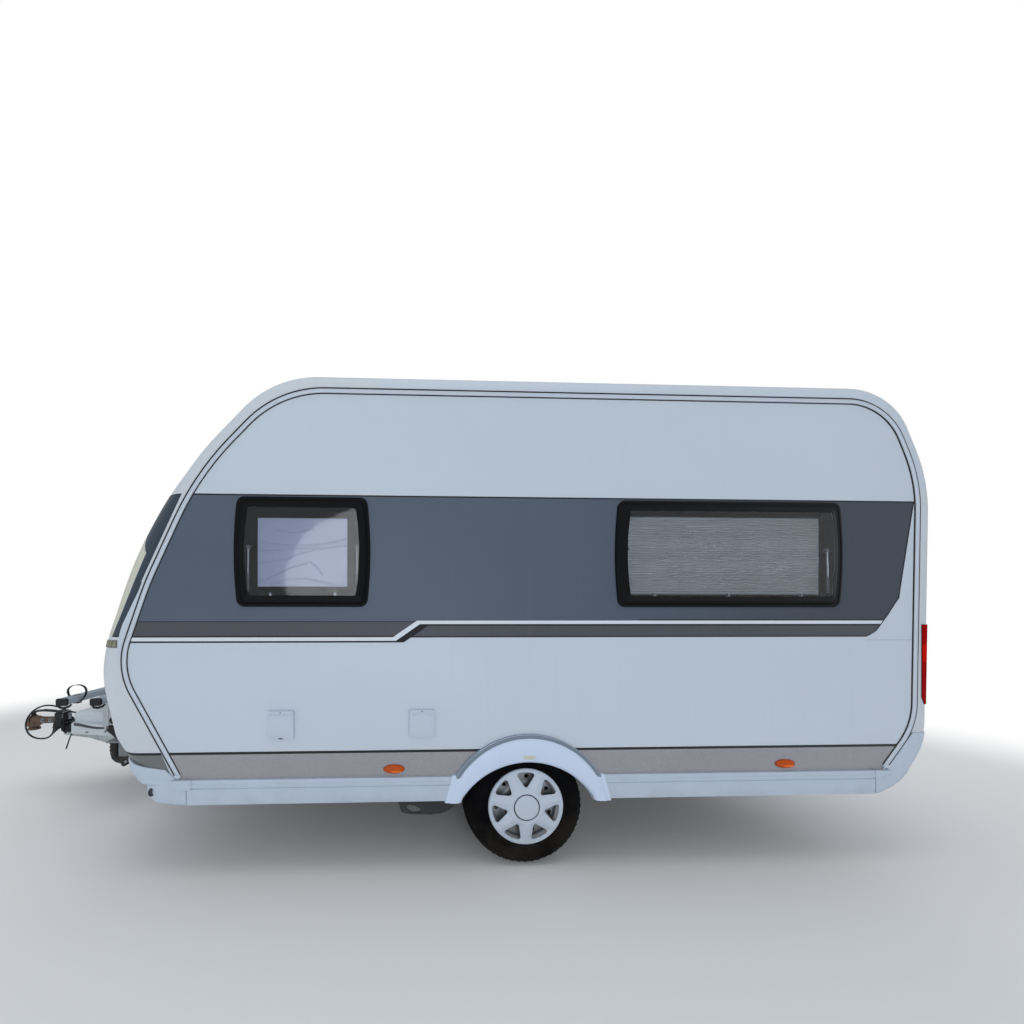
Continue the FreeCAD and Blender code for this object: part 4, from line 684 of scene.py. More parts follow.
def addTurned(bm, profile, centre, axis="y", segments=48, index=0, closedProfile=False):
    # turns (along, radius) rows round an axis through the centre
    rings = []
    for run, radius in profile:
        ring = []
        for angle in turns(segments) if radius > 1e-6 else [0]:
            first, second = radius * cos(angle), radius * sin(angle)
            spot = {"x": (run, first, second), "y": (first, run, second), "z": (first, second, run)}[axis]
            ring.append(Vector(centre) + Vector(spot))
        rings.append(ring)
    if closedProfile:
        rings.append(rings[0])
    return addRings(bm, rings, index, capped=not closedProfile)


def addTube(bm, points, radius, segments=12, index=0):
    # a round bar along points; radius is a number or one for each point
    points = [Vector(p) for p in points]
    radii = radius if isinstance(radius, list) else [radius] * len(points)
    side = None
    rings = []
    for spot, here in enumerate(points):
        run = runAt(points, spot)
        if side is None:
            side = run.orthogonal().normalized()
        side = (side - run * side.dot(run)).normalized()
        other = run.cross(side)
        rings.append([here + (side * cos(a) + other * sin(a)) * radii[spot] for a in turns(segments)])
    return addRings(bm, rings, index)


def addStrap(bm, points, wide, thick, across, index=0):
    # a flat band along points; across is the direction of its width
    points = [Vector(p) for p in points]
    across = Vector(across).normalized()
    rings = []
    for spot, here in enumerate(points):
        up = runAt(points, spot).cross(across).normalized()
        rings.append([here + across * (wide / 2 * a) + up * (thick / 2 * b)
                      for a, b in ((-1, -0.4), (-0.9, -1), (0.9, -1), (1, -0.4),
                                   (1, 0.4), (0.9, 1), (-0.9, 1), (-1, 0.4))])
    return addRings(bm, rings, index)


def addBlock(bm, first, second, bevel=0.002, index=0, turn=None, segments=2):
    # a block between two opposite corners, with its edges rounded over
    part = bmesh.new()
    bmesh.ops.create_cube(part, size=1)
    for vert in part.verts:
        vert.co = Vector([(a + b) / 2 + c * abs(b - a) for a, b, c in zip(first, second, vert.co)])
    if bevel:
        bmesh.ops.bevel(part, geom=part.edges[:], offset=bevel, segments=segments, affect="EDGES",
                        profile=0.5)
    if turn:
        part.transform(turn)
    copied = {vert: bm.verts.new(vert.co) for vert in part.verts}
    for face in part.faces:
        made = bm.faces.new([copied[vert] for vert in face.verts])
        made.material_index = index
    part.free()


def meshFrom(name, bm, clean=True):
    # a plain mesh from one in the making
    if clean:
        bmesh.ops.remove_doubles(bm, verts=bm.verts, dist=1e-6)
        loose = [vert for vert in bm.verts if not vert.link_faces]
        bmesh.ops.delete(bm, geom=loose, context="VERTS")
        bmesh.ops.recalc_face_normals(bm, faces=bm.faces)
    mesh = bpy.data.meshes.new(name)
    bm.to_mesh(mesh)
    bm.free()
    return mesh


def copyOf(mesh):
    # a welded working copy of a mesh
    bm = bmesh.new()
    bm.from_mesh(mesh)
    bmesh.ops.remove_doubles(bm, verts=bm.verts, dist=1e-5)
    return bm


def cutAcross(bm, place, normal, clear=False):
    geometry = bm.verts[:] + bm.edges[:] + bm.faces[:]
    bmesh.ops.bisect_plane(bm, geom=geometry, plane_co=place, plane_no=normal, clear_outer=clear, dist=1e-6)


def finishPiece(name, bm, body, finishes, smooth=35, replaces=()):
    return placePiece(name, meshFrom(name, bm), body, finishes, smooth, replaces)


def placePiece(name, mesh, body, finishes, smooth=35, replaces=()):
    for made in finishes:
        mesh.materials.append(made)
    mesh.polygons.foreach_set("use_smooth", [True] * len(mesh.polygons))
    mesh.set_sharp_from_angle(angle=radians(smooth))
    piece = bpy.data.objects.new(name, mesh)
    scene.collection.objects.link(piece)
    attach(piece, body)
    if replaces:
        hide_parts(*replaces)
    return piece


def onSide(side):
    # a place on a side wall from (along from the wheels, up, out of the wall)
    return lambda across, up, out: Vector((along(across), side * (wallY + out), up))


def settled(holder):
    # the object's mesh with its modifiers worked in; the object itself goes away
    seen = holder.evaluated_get(bpy.context.evaluated_depsgraph_get())
    mesh = bpy.data.meshes.new_from_object(seen)
    holder.modifiers.clear()
    old = holder.data
    bpy.data.objects.remove(holder)
    bpy.data.meshes.remove(old)
    return mesh


def holderOf(mesh):
    holder = bpy.data.objects.new(mesh.name, mesh)
    scene.collection.objects.link(holder)
    return holder


# copying trees
def copiesTree(name, layout):
    # layout "ring": copies round the Y axis; "row": copies along a step
    tree = bpy.data.node_groups.new(name, "GeometryNodeTree")
    for label, way, kind, value in (
            ("Geometry", "INPUT", "Geometry", None), ("Copied", "INPUT", "Object", None),
            ("Count", "INPUT", "Int", 8), ("Step", "INPUT", "Vector", None),
            ("Start", "INPUT", "Vector", None),
            ("Finish", "INPUT", "Material", None), ("Geometry", "OUTPUT", "Geometry", None)):
        made = tree.interface.new_socket(name=label, in_out=way, socket_type="NodeSocket" + kind)
        if value is not None:
            made.default_value = value
    given = tree.nodes.new("NodeGroupInput").outputs
    out = tree.nodes.new("NodeGroupOutput").inputs[0]
    line = addNode(tree, "GeometryNodeMeshLine", {"mode": "OFFSET"})
    join(tree, given["Count"], line.inputs["Count"])
    info = addNode(tree, "GeometryNodeObjectInfo")
    join(tree, given["Copied"], info.inputs["Object"])
    copies = tree.nodes.new("GeometryNodeInstanceOnPoints")
    join(tree, line.outputs[0], copies.inputs["Points"])
    join(tree, info.outputs["Geometry"], copies.inputs["Instance"])
    number = tree.nodes.new("GeometryNodeInputIndex").outputs[0]
    if layout == "ring":
        line.inputs["Offset"].default_value = (0, 0, 0)
        join(tree, given["Start"], line.inputs["Start Location"])
        angle = sums(tree, "DIVIDE", sums(tree, "MULTIPLY", number, 2 * pi), given["Count"])
        turn = tree.nodes.new("ShaderNodeCombineXYZ")
        join(tree, angle, turn.inputs[1])
        join(tree, turn.outputs[0], copies.inputs["Rotation"])
    else:
        join(tree, given["Start"], line.inputs["Start Location"])
        join(tree, given["Step"], line.inputs["Offset"])
    real = tree.nodes.new("GeometryNodeRealizeInstances")
    join(tree, copies.outputs[0], real.inputs[0])
    painted = tree.nodes.new("GeometryNodeSetMaterial")
    join(tree, real.outputs[0], painted.inputs["Geometry"])
    join(tree, given["Finish"], painted.inputs["Material"])
    join(tree, painted.outputs[0], out)
    return tree


ringTree = copiesTree("roundTheHub", "ring")
rowTree = copiesTree("alongARow", "row")


def copied(tree, bm, finishUsed, **values):
    # one part made in bm, copied by a tree, as a plain mesh
    part = holderOf(meshFrom("part", bm))
    holder = holderOf(bpy.data.meshes.new("copies"))
    modifier = holder.modifiers.new("copies", "NODES")
    modifier.node_group = tree
    names = {item.name: item.identifier for item in tree.interface.items_tree if item.in_out == "INPUT"}
    modifier[names["Copied"]] = part
    modifier[names["Finish"]] = finishUsed
    for key, value in values.items():
        modifier[names[key]] = value
    bpy.context.view_layer.update()
    mesh = settled(holder)
    old = part.data
    bpy.data.objects.remove(part)
    bpy.data.meshes.remove(old)
    return mesh


def addMesh(bm, mesh, index=0, move=None):
    # works a finished mesh into a piece in the making, and drops it
    start = len(bm.faces)
    if move:
        mesh.transform(move)
    bm.from_mesh(mesh)
    bm.faces.ensure_lookup_table()
    paint(bm.faces[start:], index)
    bpy.data.meshes.remove(mesh)


print("helpers ready")

# the nose's curve
noseSet = {"middle": 1.655, "reach": 0.470, "most": 0.043, "over": 0.080, "low": 1.180, "step": 0.035,
           "cuts": 28, "edge": (-2.139, 1.190), "lean": (0.904, 0.428)}


def noseBulge(up):
    # how far the nose swells forward at a height
    share = (up - noseSet["middle"]) / noseSet["reach"]
    return noseSet["most"] * cos(share * pi / 2) ** 1.4 if abs(share) < 1 else 0.0


def makeNose():
    bm = copyOf(nodes["front_wall"].data)
    for number in range(noseSet["cuts"]):
        cutAcross(bm, (0, 0, noseSet["low"] + noseSet["step"] * number), (0, 0, 1))
    (edgeX, edgeZ), (leanX, leanZ) = noseSet["edge"], noseSet["lean"]
    for vert in bm.verts:
        away = (along(edgeX) - vert.co.x) * leanX + (vert.co.z - edgeZ) * leanZ
        vert.co.x -= noseBulge(vert.co.z) * min(1.0, max(0.0, away / noseSet["over"]))
    mesh = meshFrom("nose_skin", bm, clean=False)
    placePiece("nose_skin", mesh, "caravan", [nosePaint], 30, ["front_wall"])
    return mesh


noseMesh = makeNose()
print("nose made")

# awning rails
railRows = [(-1.790, 0.455, 0), (-2.121, 1.0735, 0.35), (-1.973, 1.512, 1.5), (-1.722, 2.070, 1.5),
            (-1.300, 2.516, 0.56), (1.989, 2.516, 0.34), (2.176, 2.080, 0.8), (2.152, 0.736, 0.38),
            (1.940, 0.455, 0)]
railSet = {"foot": 0.514, "middle": 0.0140,
           "strip": [(0.004, 0.0), (0.004, 0.0045), (0.006, 0.0072), (0.010, 0.0084),
                                    (0.0115, 0.0062), (0.0140, 0.0062), (0.0155, 0.0084), (0.0205, 0.0086),
                                    (0.0240, 0.0068), (0.0255, 0.0042), (0.0255, 0.0)],
           "outerSeal": [(-0.0045, 0.0), (-0.0045, 0.0032), (-0.0030, 0.0046), (0.0030, 0.0052),
                         (0.004, 0.0)],
           "innerSeal": [(0.0252, 0.0), (0.0256, 0.0040), (0.0282, 0.0034), (0.0298, 0.0)]}
railLine = roundedOutline(railRows, closed=False, step=3.0)
railOutline = roundedOutline(railRows, step=3.0)


def railPath():
    # the rail's outer line, from just over the front of the skirt to just over its back
    points = [p for p in railLine if p.y > railSet["foot"]]
    starts = ((railLine[0], points[0]), (railLine[-1], points[-1]))
    ends = [low.lerp(high, (railSet["foot"] - low.y) / (high.y - low.y)) for low, high in starts]
    return [ends[0], *points, ends[1]]


def makeRails():
    bm = bmesh.new()
    path = railPath()
    lines = {depth: inset(path, depth, closed=False)
             for name in ("strip", "outerSeal", "innerSeal") for depth, out in railSet[name]}
    for side in sides:
        placed = onSide(side)
        for index, name in ((0, "strip"), (1, "outerSeal"), (1, "innerSeal")):
            addRings(bm, [[placed(*lines[depth][spot], out) for depth, out in railSet[name]]
                          for spot in range(len(path))], index)
        for end in (lines[railSet["middle"]][0], lines[railSet["middle"]][-1]):  # end stops
            addBlock(bm, placed(end.x - 0.016, end.y - 0.010, 0.0),
                     placed(end.x + 0.016, end.y + 0.004, 0.0115))
    finishPiece("awning_rail_strips", bm, "caravan", [railMetal, blackSeal], 30,
                ["awning_rails"])


makeRails()
print("awning rails made")

# decor films on the sides
filmSet = {"thick": 0.0006, "line": 0.0009, "edge": 0.0011, "margin": 0.012, "hole": 0.0225,
           "doorGap": (0.470, 1.130), "door": (0.4870, 1.1130)}
bandTop, bandFar = 1.963, 3.0
rearEdge = [(2.142, bandTop), (2.063, 1.479), (2.057, 1.435), (2.030, 1.399), (1.996, 1.347),
            (1.971, 1.315)]
films = [  # name, which finish, height out, corners
    ("main", 0, "thick", [(-bandFar, bandTop), *rearEdge, (1.969, 1.3125), (-0.586, 1.3125),
                          (-0.590, 1.309), (-bandFar, 1.309)]),
    ("lowFront", 1, "thick", [(-bandFar, 1.3055), (-0.5945, 1.3055), (-0.696, 1.2335), (-bandFar, 1.2335)]),
    ("lowRear", 1, "thick", [(-0.527, 1.286), (1.950, 1.286), (1.925, 1.255), (1.891, 1.2345),
                             (1.880, 1.2305), (-0.609, 1.2305)]),
    ("whiteStripe", 2, "line", [(-bandFar, 1.2265), (-0.711, 1.2265), (-0.586, 1.3125), (1.969, 1.3125),
                                (1.956, 1.2945), (-0.570, 1.2945), (-0.696, 1.2075), (-bandFar, 1.2075)]),
    ("thinLine", 3, "line", [(-bandFar, 1.309), (-0.590, 1.309), (-0.5945, 1.3055), (-bandFar, 1.3055)]),
    ("overStripe", 3, "line", [(-bandFar, 1.2335), (-0.700, 1.2335), (-0.711, 1.2265), (-bandFar, 1.2265)]),
    ("underStripe", 3, "line", [(-bandFar, 1.2075), (-0.696, 1.2075), (-0.570, 1.2945), (1.956, 1.2945),
                                (1.950, 1.286), (-0.527, 1.286), (-0.655, 1.199), (-bandFar, 1.199)]),
    ("bandFoot", 3, "line", [(-0.609, 1.2305), (1.880, 1.2305), (1.868, 1.2245), (-0.618, 1.2245)]),
    ("bandHead", 3, "edge", [(-bandFar, bandTop + 0.001), (2.1425, bandTop + 0.001), (2.1415, 1.957),
                             (-bandFar, 1.957)]),
    ("rearLine", 3, "edge", [(0.60, 1.3185), (1.9735, 1.3185), (1.971, 1.3125), (0.60, 1.3125)]),
    ("panelSeam", 5, "thick", [(1.872, 1.2075), (bandFar, 1.2075), (bandFar, 1.206), (1.872, 1.206)]),
    ("baseFront", 4, "thick", [(-bandFar, 0.628), (-0.2480, 0.628), (-0.322, 0.566), (-0.3735, 0.499),
                               (-bandFar, 0.499)]),
    ("baseRear", 4, "thick", [(0.2480, 0.628), (bandFar, 0.628), (bandFar, 0.499), (0.3735, 0.499),
                              (0.322, 0.566)]),
    ("baseLineFront", 3, "line",
     [(-bandFar, 0.6385), (-0.2420, 0.6385), (-0.2540, 0.6255), (-bandFar, 0.6255)]),
    ("baseLineRear", 3, "line", [(0.2420, 0.6385), (bandFar, 0.6385), (bandFar, 0.6255), (0.2540, 0.6255)]),
]
edgeRun = [*rearEdge, (1.950, 1.286), (1.925, 1.255), (1.891, 1.2345), (1.868, 1.2245)]
films.append(("rearRim", 3, "edge", edgeRun + [(x - 0.0065, z) for x, z in reversed(edgeRun)]))

windowSet = {"foot": 1.384, "head": 1.951, "bulge": 0.018, "corner": 0.036,
             -1: [(-1.510, -0.846), (0.488, 1.708)], 1: [(-1.510, -0.846), (1.290, 1.800)]}


def barrel(left, right, foot, head, bulge, corner, depth):
    # a window outline with bulging sides, moved in by depth; always the same number of points
    half, tall = (right - left) / 2 - depth, (head - foot) / 2 - depth
    radius = max(corner - depth * 0.7, 0.014)
    middle = Vector(((left + right) / 2, (foot + head) / 2))
    points = []
    for across, up, start in ((1, 1, 0), (-1, 1, 90), (-1, -1, 180), (1, -1, 270)):
        centre = Vector((across * (half - radius), up * (tall - radius)))
        for part in range(9):
            angle = radians(start + 90 * part / 8)
            points.append(centre + radius * Vector((cos(angle), sin(angle))))
    full = []
    for spot, here in enumerate(points):
        full.append(here)
        after = points[(spot + 1) % len(points)]
        if spot % 9 == 8:
            full += [here.lerp(after, part / 12) for part in range(1, 12)]
    return [middle + Vector((p.x * (1 + bulge / half * (1 - min(1, (p.y / tall) ** 2))),
                             p.y)) for p in full]


def boxOf(start, end):
    # an upright strip of a side wall
    return [Vector(p) for p in ((start, 0), (end, 0), (end, 3), (start, 3))]


def sideWindow(span, depth=0.0):
    return barrel(*span, windowSet["foot"], windowSet["head"], windowSet["bulge"], windowSet["corner"],
                  depth)


def makeFilms():
    finishes = [bandFilm, bandLowFilm, whiteLine, darkLine, greyFilm, archTrim]
    inside = inset(railOutline, filmSet["margin"])
    for side, name in ((-1, "left_side_films"), (1, "right_side_films")):
        placed = onSide(side)
        bm = bmesh.new()
        holes = [sideWindow(span, filmSet["hole"]) for span in windowSet[side]]
        for label, index, level, corners in films:
            runs = [(-bandFar, bandFar)]
            if side == 1:
                runs = [(-bandFar, filmSet["doorGap"][0]), (filmSet["doorGap"][1], bandFar)]
            for start, end in runs:
                shape = clipTo(clipTo(corners, inside), boxOf(start, end))
                if len(shape) < 3:
                    continue
                held = [h for h in holes if label == "main" and start < h[0].x < end]
                addSlab(bm, shape, held, placed, 0.0, filmSet[level], index)
        finishPiece(name, bm, "caravan", finishes, 30)
    # the door carries its own part of the films
    placed = onSide(1)
    bm = bmesh.new()
    start, end = filmSet["door"]
    window = roundedOutline([(end, bandTop, 0), (0.972, bandTop, 0), (0.972, 1.558, 0.06),
                             (0.628, 1.558, 0.06), (0.628, bandTop, 0), (start, bandTop, 0),
                             (start, 1.3125, 0), (end, 1.3125, 0)])
    for label, index, level, corners in films:
        shape = window if label == "main" else clipTo(corners, boxOf(start, end))
        if len(shape) < 3 or label == "bandHead":
            continue
        addSlab(bm, shape, [], placed, 0.0, filmSet[level], index)
    for low, high in ((start, 0.622), (0.978, end)):
        addSlab(bm, [(low, 1.964), (high, 1.964), (high, 1.957), (low, 1.957)], [], placed, 0.0,
                filmSet["edge"], 3)
    finishPiece("door_films", bm, "door", finishes, 30)


makeFilms()
print("decor films made")

# strips on the front and rear skins
bodyMiddle = Vector((along(0.0), 0.0, 1.4))


def addShell(part, bm, top, under, index=0):
    # closes an open skin into a thin plate; top and under give each corner's two places
    front = {v: bm.verts.new(top(v)) for v in part.verts}
    back = {v: bm.verts.new(under(v)) for v in part.verts}
    made = []
    for face in part.faces:
        made.append(bm.faces.new([front[v] for v in face.verts]))
        made.append(bm.faces.new([back[v] for v in reversed(face.verts)]))
        for edge in face.edges:
            if len(edge.link_faces) == 1:
                first, second = edge.verts
                made.append(bm.faces.new((front[first], front[second], back[second], back[first])))
    paint(made, index)
    part.free()


def skinStrip(bm, node, planes, lift, index=0):
    # a thin film cut from the outer skin of a wall
    part = copyOf(noseMesh if node == "front_wall" else nodes[node].data)
    for place, normal in planes:
        cutAcross(part, place, normal, clear=True)
    part.normal_update()
    drop = [f for f in part.faces if not outside(f.calc_center_median(), f.normal)]
    bmesh.ops.delete(part, geom=drop, context="FACES")
    part.normal_update()
    addShell(part, bm, lambda v: v.co + v.normal * lift, lambda v: v.co - v.normal * 0.0003, index)


def between(low, high):
    return [((0, 0, low), (0, 0, -1)), ((0, 0, high), (0, 0, 1))]


def outside(place, normal):
    return normal.dot(place - bodyMiddle) > 0 and hypot(normal.x, normal.y) > 0.3


def makeSkinStrips():
    bm = bmesh.new()
    skinStrip(bm, "front_wall", between(0.6255, 0.6380), 0.0008)
    # the grey base band round the nose, in its darker copy: painted shade
    skinStrip(bm, "front_wall", between(0.50, 0.6255), 0.0005, 1)
    finishPiece("base_films", bm, "caravan", [darkLine, noseFilm], 30)
    bm = bmesh.new()
    # the front's films fold round its corners, stopping short of the rail
    upperMargin = ((along(-1.996), 0, 1.512), Vector((1, 0, -0.450)).normalized())
    lowerMargin = ((along(-2.085), 0, 1.236), Vector((1, 0, -0.337)).normalized())
    for side in sides:
        # the dark film tapers down the corner, with a cream panel inside it
        turn = Vector((0, side * 1.0800, 1.660))
        inner = turn - Vector((0, side * 0.0012, 0))
        slope = Vector((0, side * -0.300, -0.117)).normalized()
        for low, high, near, far, lift, index, edges in (
                (1.660, 1.958, 0.962, 3, 0.0007, 0, [(turn, slope), upperMargin]),
                (1.512, 1.660, 1.0800, 3, 0.0007, 0, [upperMargin]),
                (1.235, 1.512, 1.0800, 3, 0.0007, 0, [lowerMargin]),
                (1.958, 1.964, 0.962, 3, 0.0010, 1, [upperMargin]),
                (1.229, 1.235, 1.0800, 3, 0.0010, 1, [lowerMargin]),
                (1.660, 1.957, 0.962, 3, 0.0007, 2, [(inner, -slope)]),
                (1.232, 1.660, 0.962, 1.0788, 0.0007, 2, [])):
            planes = between(low, high) + edges + [((0, side * near, 0), (0, -side, 0)),
                                                   ((0, side * far, 0), (0, side, 0))]
            skinStrip(bm, "front_wall", planes, lift, index)
    finishPiece("front_wrap_films", bm, "caravan", [frontFilm, darkLine, creamPlastic], 30)


makeSkinStrips()
print("front and rear strips made")

# windows
borderRows = [(0.0, 0.0006), (0.0, 0.0065), (0.0018, 0.0100), (0.006, 0.0118), (0.0125, 0.0118),
              (0.0155, 0.0088), (0.0205, 0.0088), (0.0235, 0.0125), (0.0275, 0.0136), (0.0315, 0.0128),
              (0.0355, 0.0140), (0.050, 0.0190), (0.0570, 0.0205), (0.0580, 0.0165), (0.050, 0.0150),
              (0.031, 0.0070), (0.0215, 0.0006)]
linerRows = [(0.0225, 0.0004), (0.0225, -0.0290), (0.026, -0.046), (0.060, -0.050), (0.062, -0.046),
             (0.060, -0.0425), (0.044, -0.036), (0.034, -0.006), (0.031, 0.0004)]
paneSet = {"edge": 0.0575, "low": 0.0150, "high": 0.0200, "crown": 0.0030, "liner": 0.045}
blindSet = {"out": -0.0400, "step": 0.0145, "fold": 0.0022, "thick": 0.0008, "lap": 0.008,
            "hole": (-0.0540, -0.0505), "fullness": 1.05,
            "front": (0.091, 0.105, 0.107, 0.099), "rear": (0.060, 0.066, 0.070, 0.074)}
creaseSet = {"wide": 0.0035, "high": 0.0045, "grid": (170, 130), "lines": [
    [(-0.93, 0.30), (-0.70, 0.235), (-0.40, 0.20), (0.05, 0.205), (0.40, 0.235), (0.72, 0.29),
     (0.98, 0.40)],
    [(-0.98, 0.02), (-0.65, 0.03), (-0.40, 0.07), (-0.10, 0.10), (0.20, 0.13)],
    [(-0.95, -0.33), (-0.62, -0.25), (-0.35, -0.22), (0.0, -0.02), (0.28, 0.10), (0.62, 0.14),
     (0.97, 0.20)],
    [(0.18, -0.30), (0.27, -0.37), (0.37, -0.50), (0.44, -0.66)],
    [(-0.70, -0.92), (-0.35, -0.80), (0.10, -0.78), (0.55, -0.88), (0.90, -0.97)],
    [(-0.55, 0.62), (-0.28, 0.55), (-0.10, 0.58), (0.25, 0.66)],
    [(0.10, -0.30), (-0.25, -0.45), (-0.60, -0.66), (-0.92, -0.90)]]}


def addBorder(bm, placed, outline, rows, index=0, widen=1.0):
    # a closed moulding round an opening; outline(depth) gives the opening's line drawn in
    rings = [[placed(p.x, p.y, out) for p in outline(depth * widen)] for depth, out in rows]
    addRings(bm, rings + rings[:1], index, capped=False)


def addPane(bm, placed, outline, index, depth, low, high, crown):
    edge = outline(depth)
    shares = (0.0, 0.25, 0.5, 0.75, 0.92, 1.0)
    levels = [(share, low) for share in shares] + [(share, high) for share in reversed(shares)]
    addDome(bm, placed, edge, [(share, level + crown * (1 - share ** 2)) for share, level in levels], index)


def addBlindSheet(bm, placed, left, right, foot, head, height, columns, rows):
    # a thin cloth over a grid; height(across, up, row) gives how far out it lies
    def corner(row, column, way):
        up = foot + (head - foot) * row / rows
        across = left + (right - left) * column / columns
        return bm.verts.new(placed(across, up, height(across, up, row) + way * blindSet["thick"] / 2))

    grids = [[[corner(row, column, way) for column in range(columns + 1)] for row in range(rows + 1)]
             for way in (1, -1)]
    for grid in grids:
        for low, high in zip(grid, grid[1:]):
            for i in range(columns):
                bm.faces.new((low[i], low[i + 1], high[i + 1], high[i]))
    front, back = grids
    edges = [(front[row], back[row]) for row in (0, -1)]
    edges += [([line[column] for line in front], [line[column] for line in back]) for column in (0, -1)]
    for first, second in edges:
        for i in range(len(first) - 1):
            bm.faces.new((first[i], first[i + 1], second[i + 1], second[i]))


def pleats(across, up, row):
    drift = noise.noise(Vector((across * 3, up * 2, 1.7))) * 0.002
    return blindSet["out"] + drift + (blindSet["fold"] if row % 2 else -blindSet["fold"])


def distanceToRun(point, run):
    nearest = 9.0
    for first, second in zip(run, run[1:]):
        step = second - first
        share = max(0.0, min(1.0, (point - first).dot(step) / step.length_squared))
        nearest = min(nearest, (first + step * share - point).length)
    return nearest


def creasedOver(left, right, foot, head):
    # a blind still in its film: nearly flat, with a few sharp creases running across it
    middle = Vector(((left + right) / 2, (foot + head) / 2))
    half = Vector(((right - left) / 2, (head - foot) / 2))
    runs = [[middle + Vector((x * half.x, z * half.y)) for x, z in line] for line in creaseSet["lines"]]

    def height(across, up, _row):
        point = Vector((across, up))
        slow = noise.noise(Vector((across * 2.4, up * 3.0, 4.1))) * 0.005
        ridge = 0.0
        for run in runs:
            near = distanceToRun(point, run)
            uneven = 0.6 + 0.4 * noise.noise(Vector((across * 21, up * 21, 3.3)))
            ridge = max(ridge, exp(-(near / creaseSet["wide"]) ** 2) * creaseSet["high"] * uneven)
        return blindSet["out"] + slow + ridge
    return height


def blindHole(span):
    left, right, foot, head = span
    lap = blindSet["lap"]
    return [Vector(p) for p in ((left + lap, foot + lap), (right - lap, foot + lap),
                                (right - lap, head - lap), (left + lap, head - lap))]


def blindRows(span):
    return 2 * round((span[3] - span[2]) / blindSet["step"])


def finishBorders(prefix, meshes, replaces, fittingFinishes):
    # the borders, panes, liners and fittings of all windows of one kind
    border, pane, liner, fittings = meshes
    finishPiece(f"{prefix}_borders", border, "caravan", [paneBorder], 30, replaces)
    finishPiece(f"{prefix}_panes", pane, "caravan", [tintedPane], 30)
    linerName = "window_liners" if prefix == "side_window" else f"{prefix}_liners"
    finishPiece(linerName, liner, "caravan", [linerBlack], 30)
    fittingsName = "window_fittings" if prefix == "side_window" else f"{prefix}_fittings"
    finishPiece(fittingsName, fittings, "caravan", fittingFinishes, 30)


def glazeOpening(meshes, placed, outline, span, widen, crown):
    # one window: its border, the liner with the hole for the blind, and the pane
    border, pane, liner, _fittings = meshes
    addBorder(border, placed, outline, borderRows, 0, widen)
    addBorder(liner, placed, outline, linerRows)
    addPane(pane, placed, outline, 0, paneSet["edge"] * widen, paneSet["low"], paneSet["high"], crown)
    addSlab(liner, outline(paneSet["liner"]), [blindHole(span)], placed, *blindSet["hole"])


def addStay(fittings, side, across, foot):
    # a stay up one side of the pane and the turning catch over it
    placed = onSide(side)
    for low, high, outLow, outHigh, radius, index in ((0.09, 0.30, -0.006, -0.010, 0.0045, 0),
                                                      (0.08, 0.17, -0.006, -0.008, 0.0065, 1)):
        addTube(fittings, [placed(across, foot + low, outLow), placed(across, foot + high, outHigh)],
                radius, 10,
                index)
    knob = [(-0.018, 0.0), (-0.018, 0.011), (-0.004, 0.011), (-0.002, 0.006), (-0.002, 0.0)]
    addTurned(fittings, [(side * out, radius) for out, radius in knob], placed(across, foot + 0.31, 0.0),
              "y", 16, 1)


def makeSideWindows():
    meshes = [bmesh.new() for _ in range(4)]
    fittings = meshes[3]
    foot, head = windowSet["foot"], windowSet["head"]
    for side, sideName in ((-1, "left"), (1, "right")):
        placed = onSide(side)
        for (left, right), place in zip(windowSet[side], ("front", "rear")):
            laps = blindSet[place]
            span = (left + laps[0], right - laps[1], foot + laps[2], head - laps[3])
            glazeOpening(meshes, placed, partial(sideWindow, (left, right)), span, 1.0, paneSet["crown"])
            bm = bmesh.new()
            wrinkled = place == "front"
            if wrinkled:
                addBlindSheet(bm, placed, *span, creasedOver(*span), *creaseSet["grid"])
            else:
                addBlindSheet(bm, placed, *span, pleats, 16, blindRows(span))
            blind = finishPiece(f"{sideName}_{place}_blind", bm, "caravan",
                                [filmGloss if wrinkled else rearBlind], 180 if wrinkled else 30,
                                ["window_blinds"])
            for across in (left + 0.052, right - 0.052):
                addStay(fittings, side, across, foot)
            count = 3 if right - left > 1 else 2
            for number in range(count):
                across = left + (right - left) * (number + 0.5) / count
                addBlock(fittings, placed(across - 0.022, foot + 0.040, -0.020),
                         placed(across + 0.022, foot + 0.058, 0.004), 0.003, 1)
                addBlock(fittings, placed(across - 0.006, foot + 0.044, -0.020),
                         placed(across + 0.006, foot + 0.074, 0.000), 0.002, 0)
    finishBorders("side_window", meshes, ["side_windows"], [bareMetal, greyHandle])


makeSideWindows()
print("side windows made")

shellRows = [(-1.990, 0.455, 0), (-2.095, 0.590, 0.3), (-2.165, 0.700, 0.15), (-2.262, 1.100, 0.6),
             (-1.806, 2.127, 1.4), (-1.343, 2.620, 0.56), (2.074, 2.620, 0.38), (2.300, 2.095, 0.9),
             (2.275, 0.680, 0.22), (2.120, 0.455, 0)]
shellRun = roundedOutline(shellRows, closed=False, step=1.5)
shellLine = []
for first, second in zip(shellRun, shellRun[1:]):
    steps = max(1, round((second - first).length / 0.035))
    shellLine += [first.lerp(second, i / steps) for i in range(steps)]
shellLine = [Vector((p.x - noseBulge(p.y), p.y)) if p.x < -1.2 else p for p in shellLine + [shellRun[-1]]]


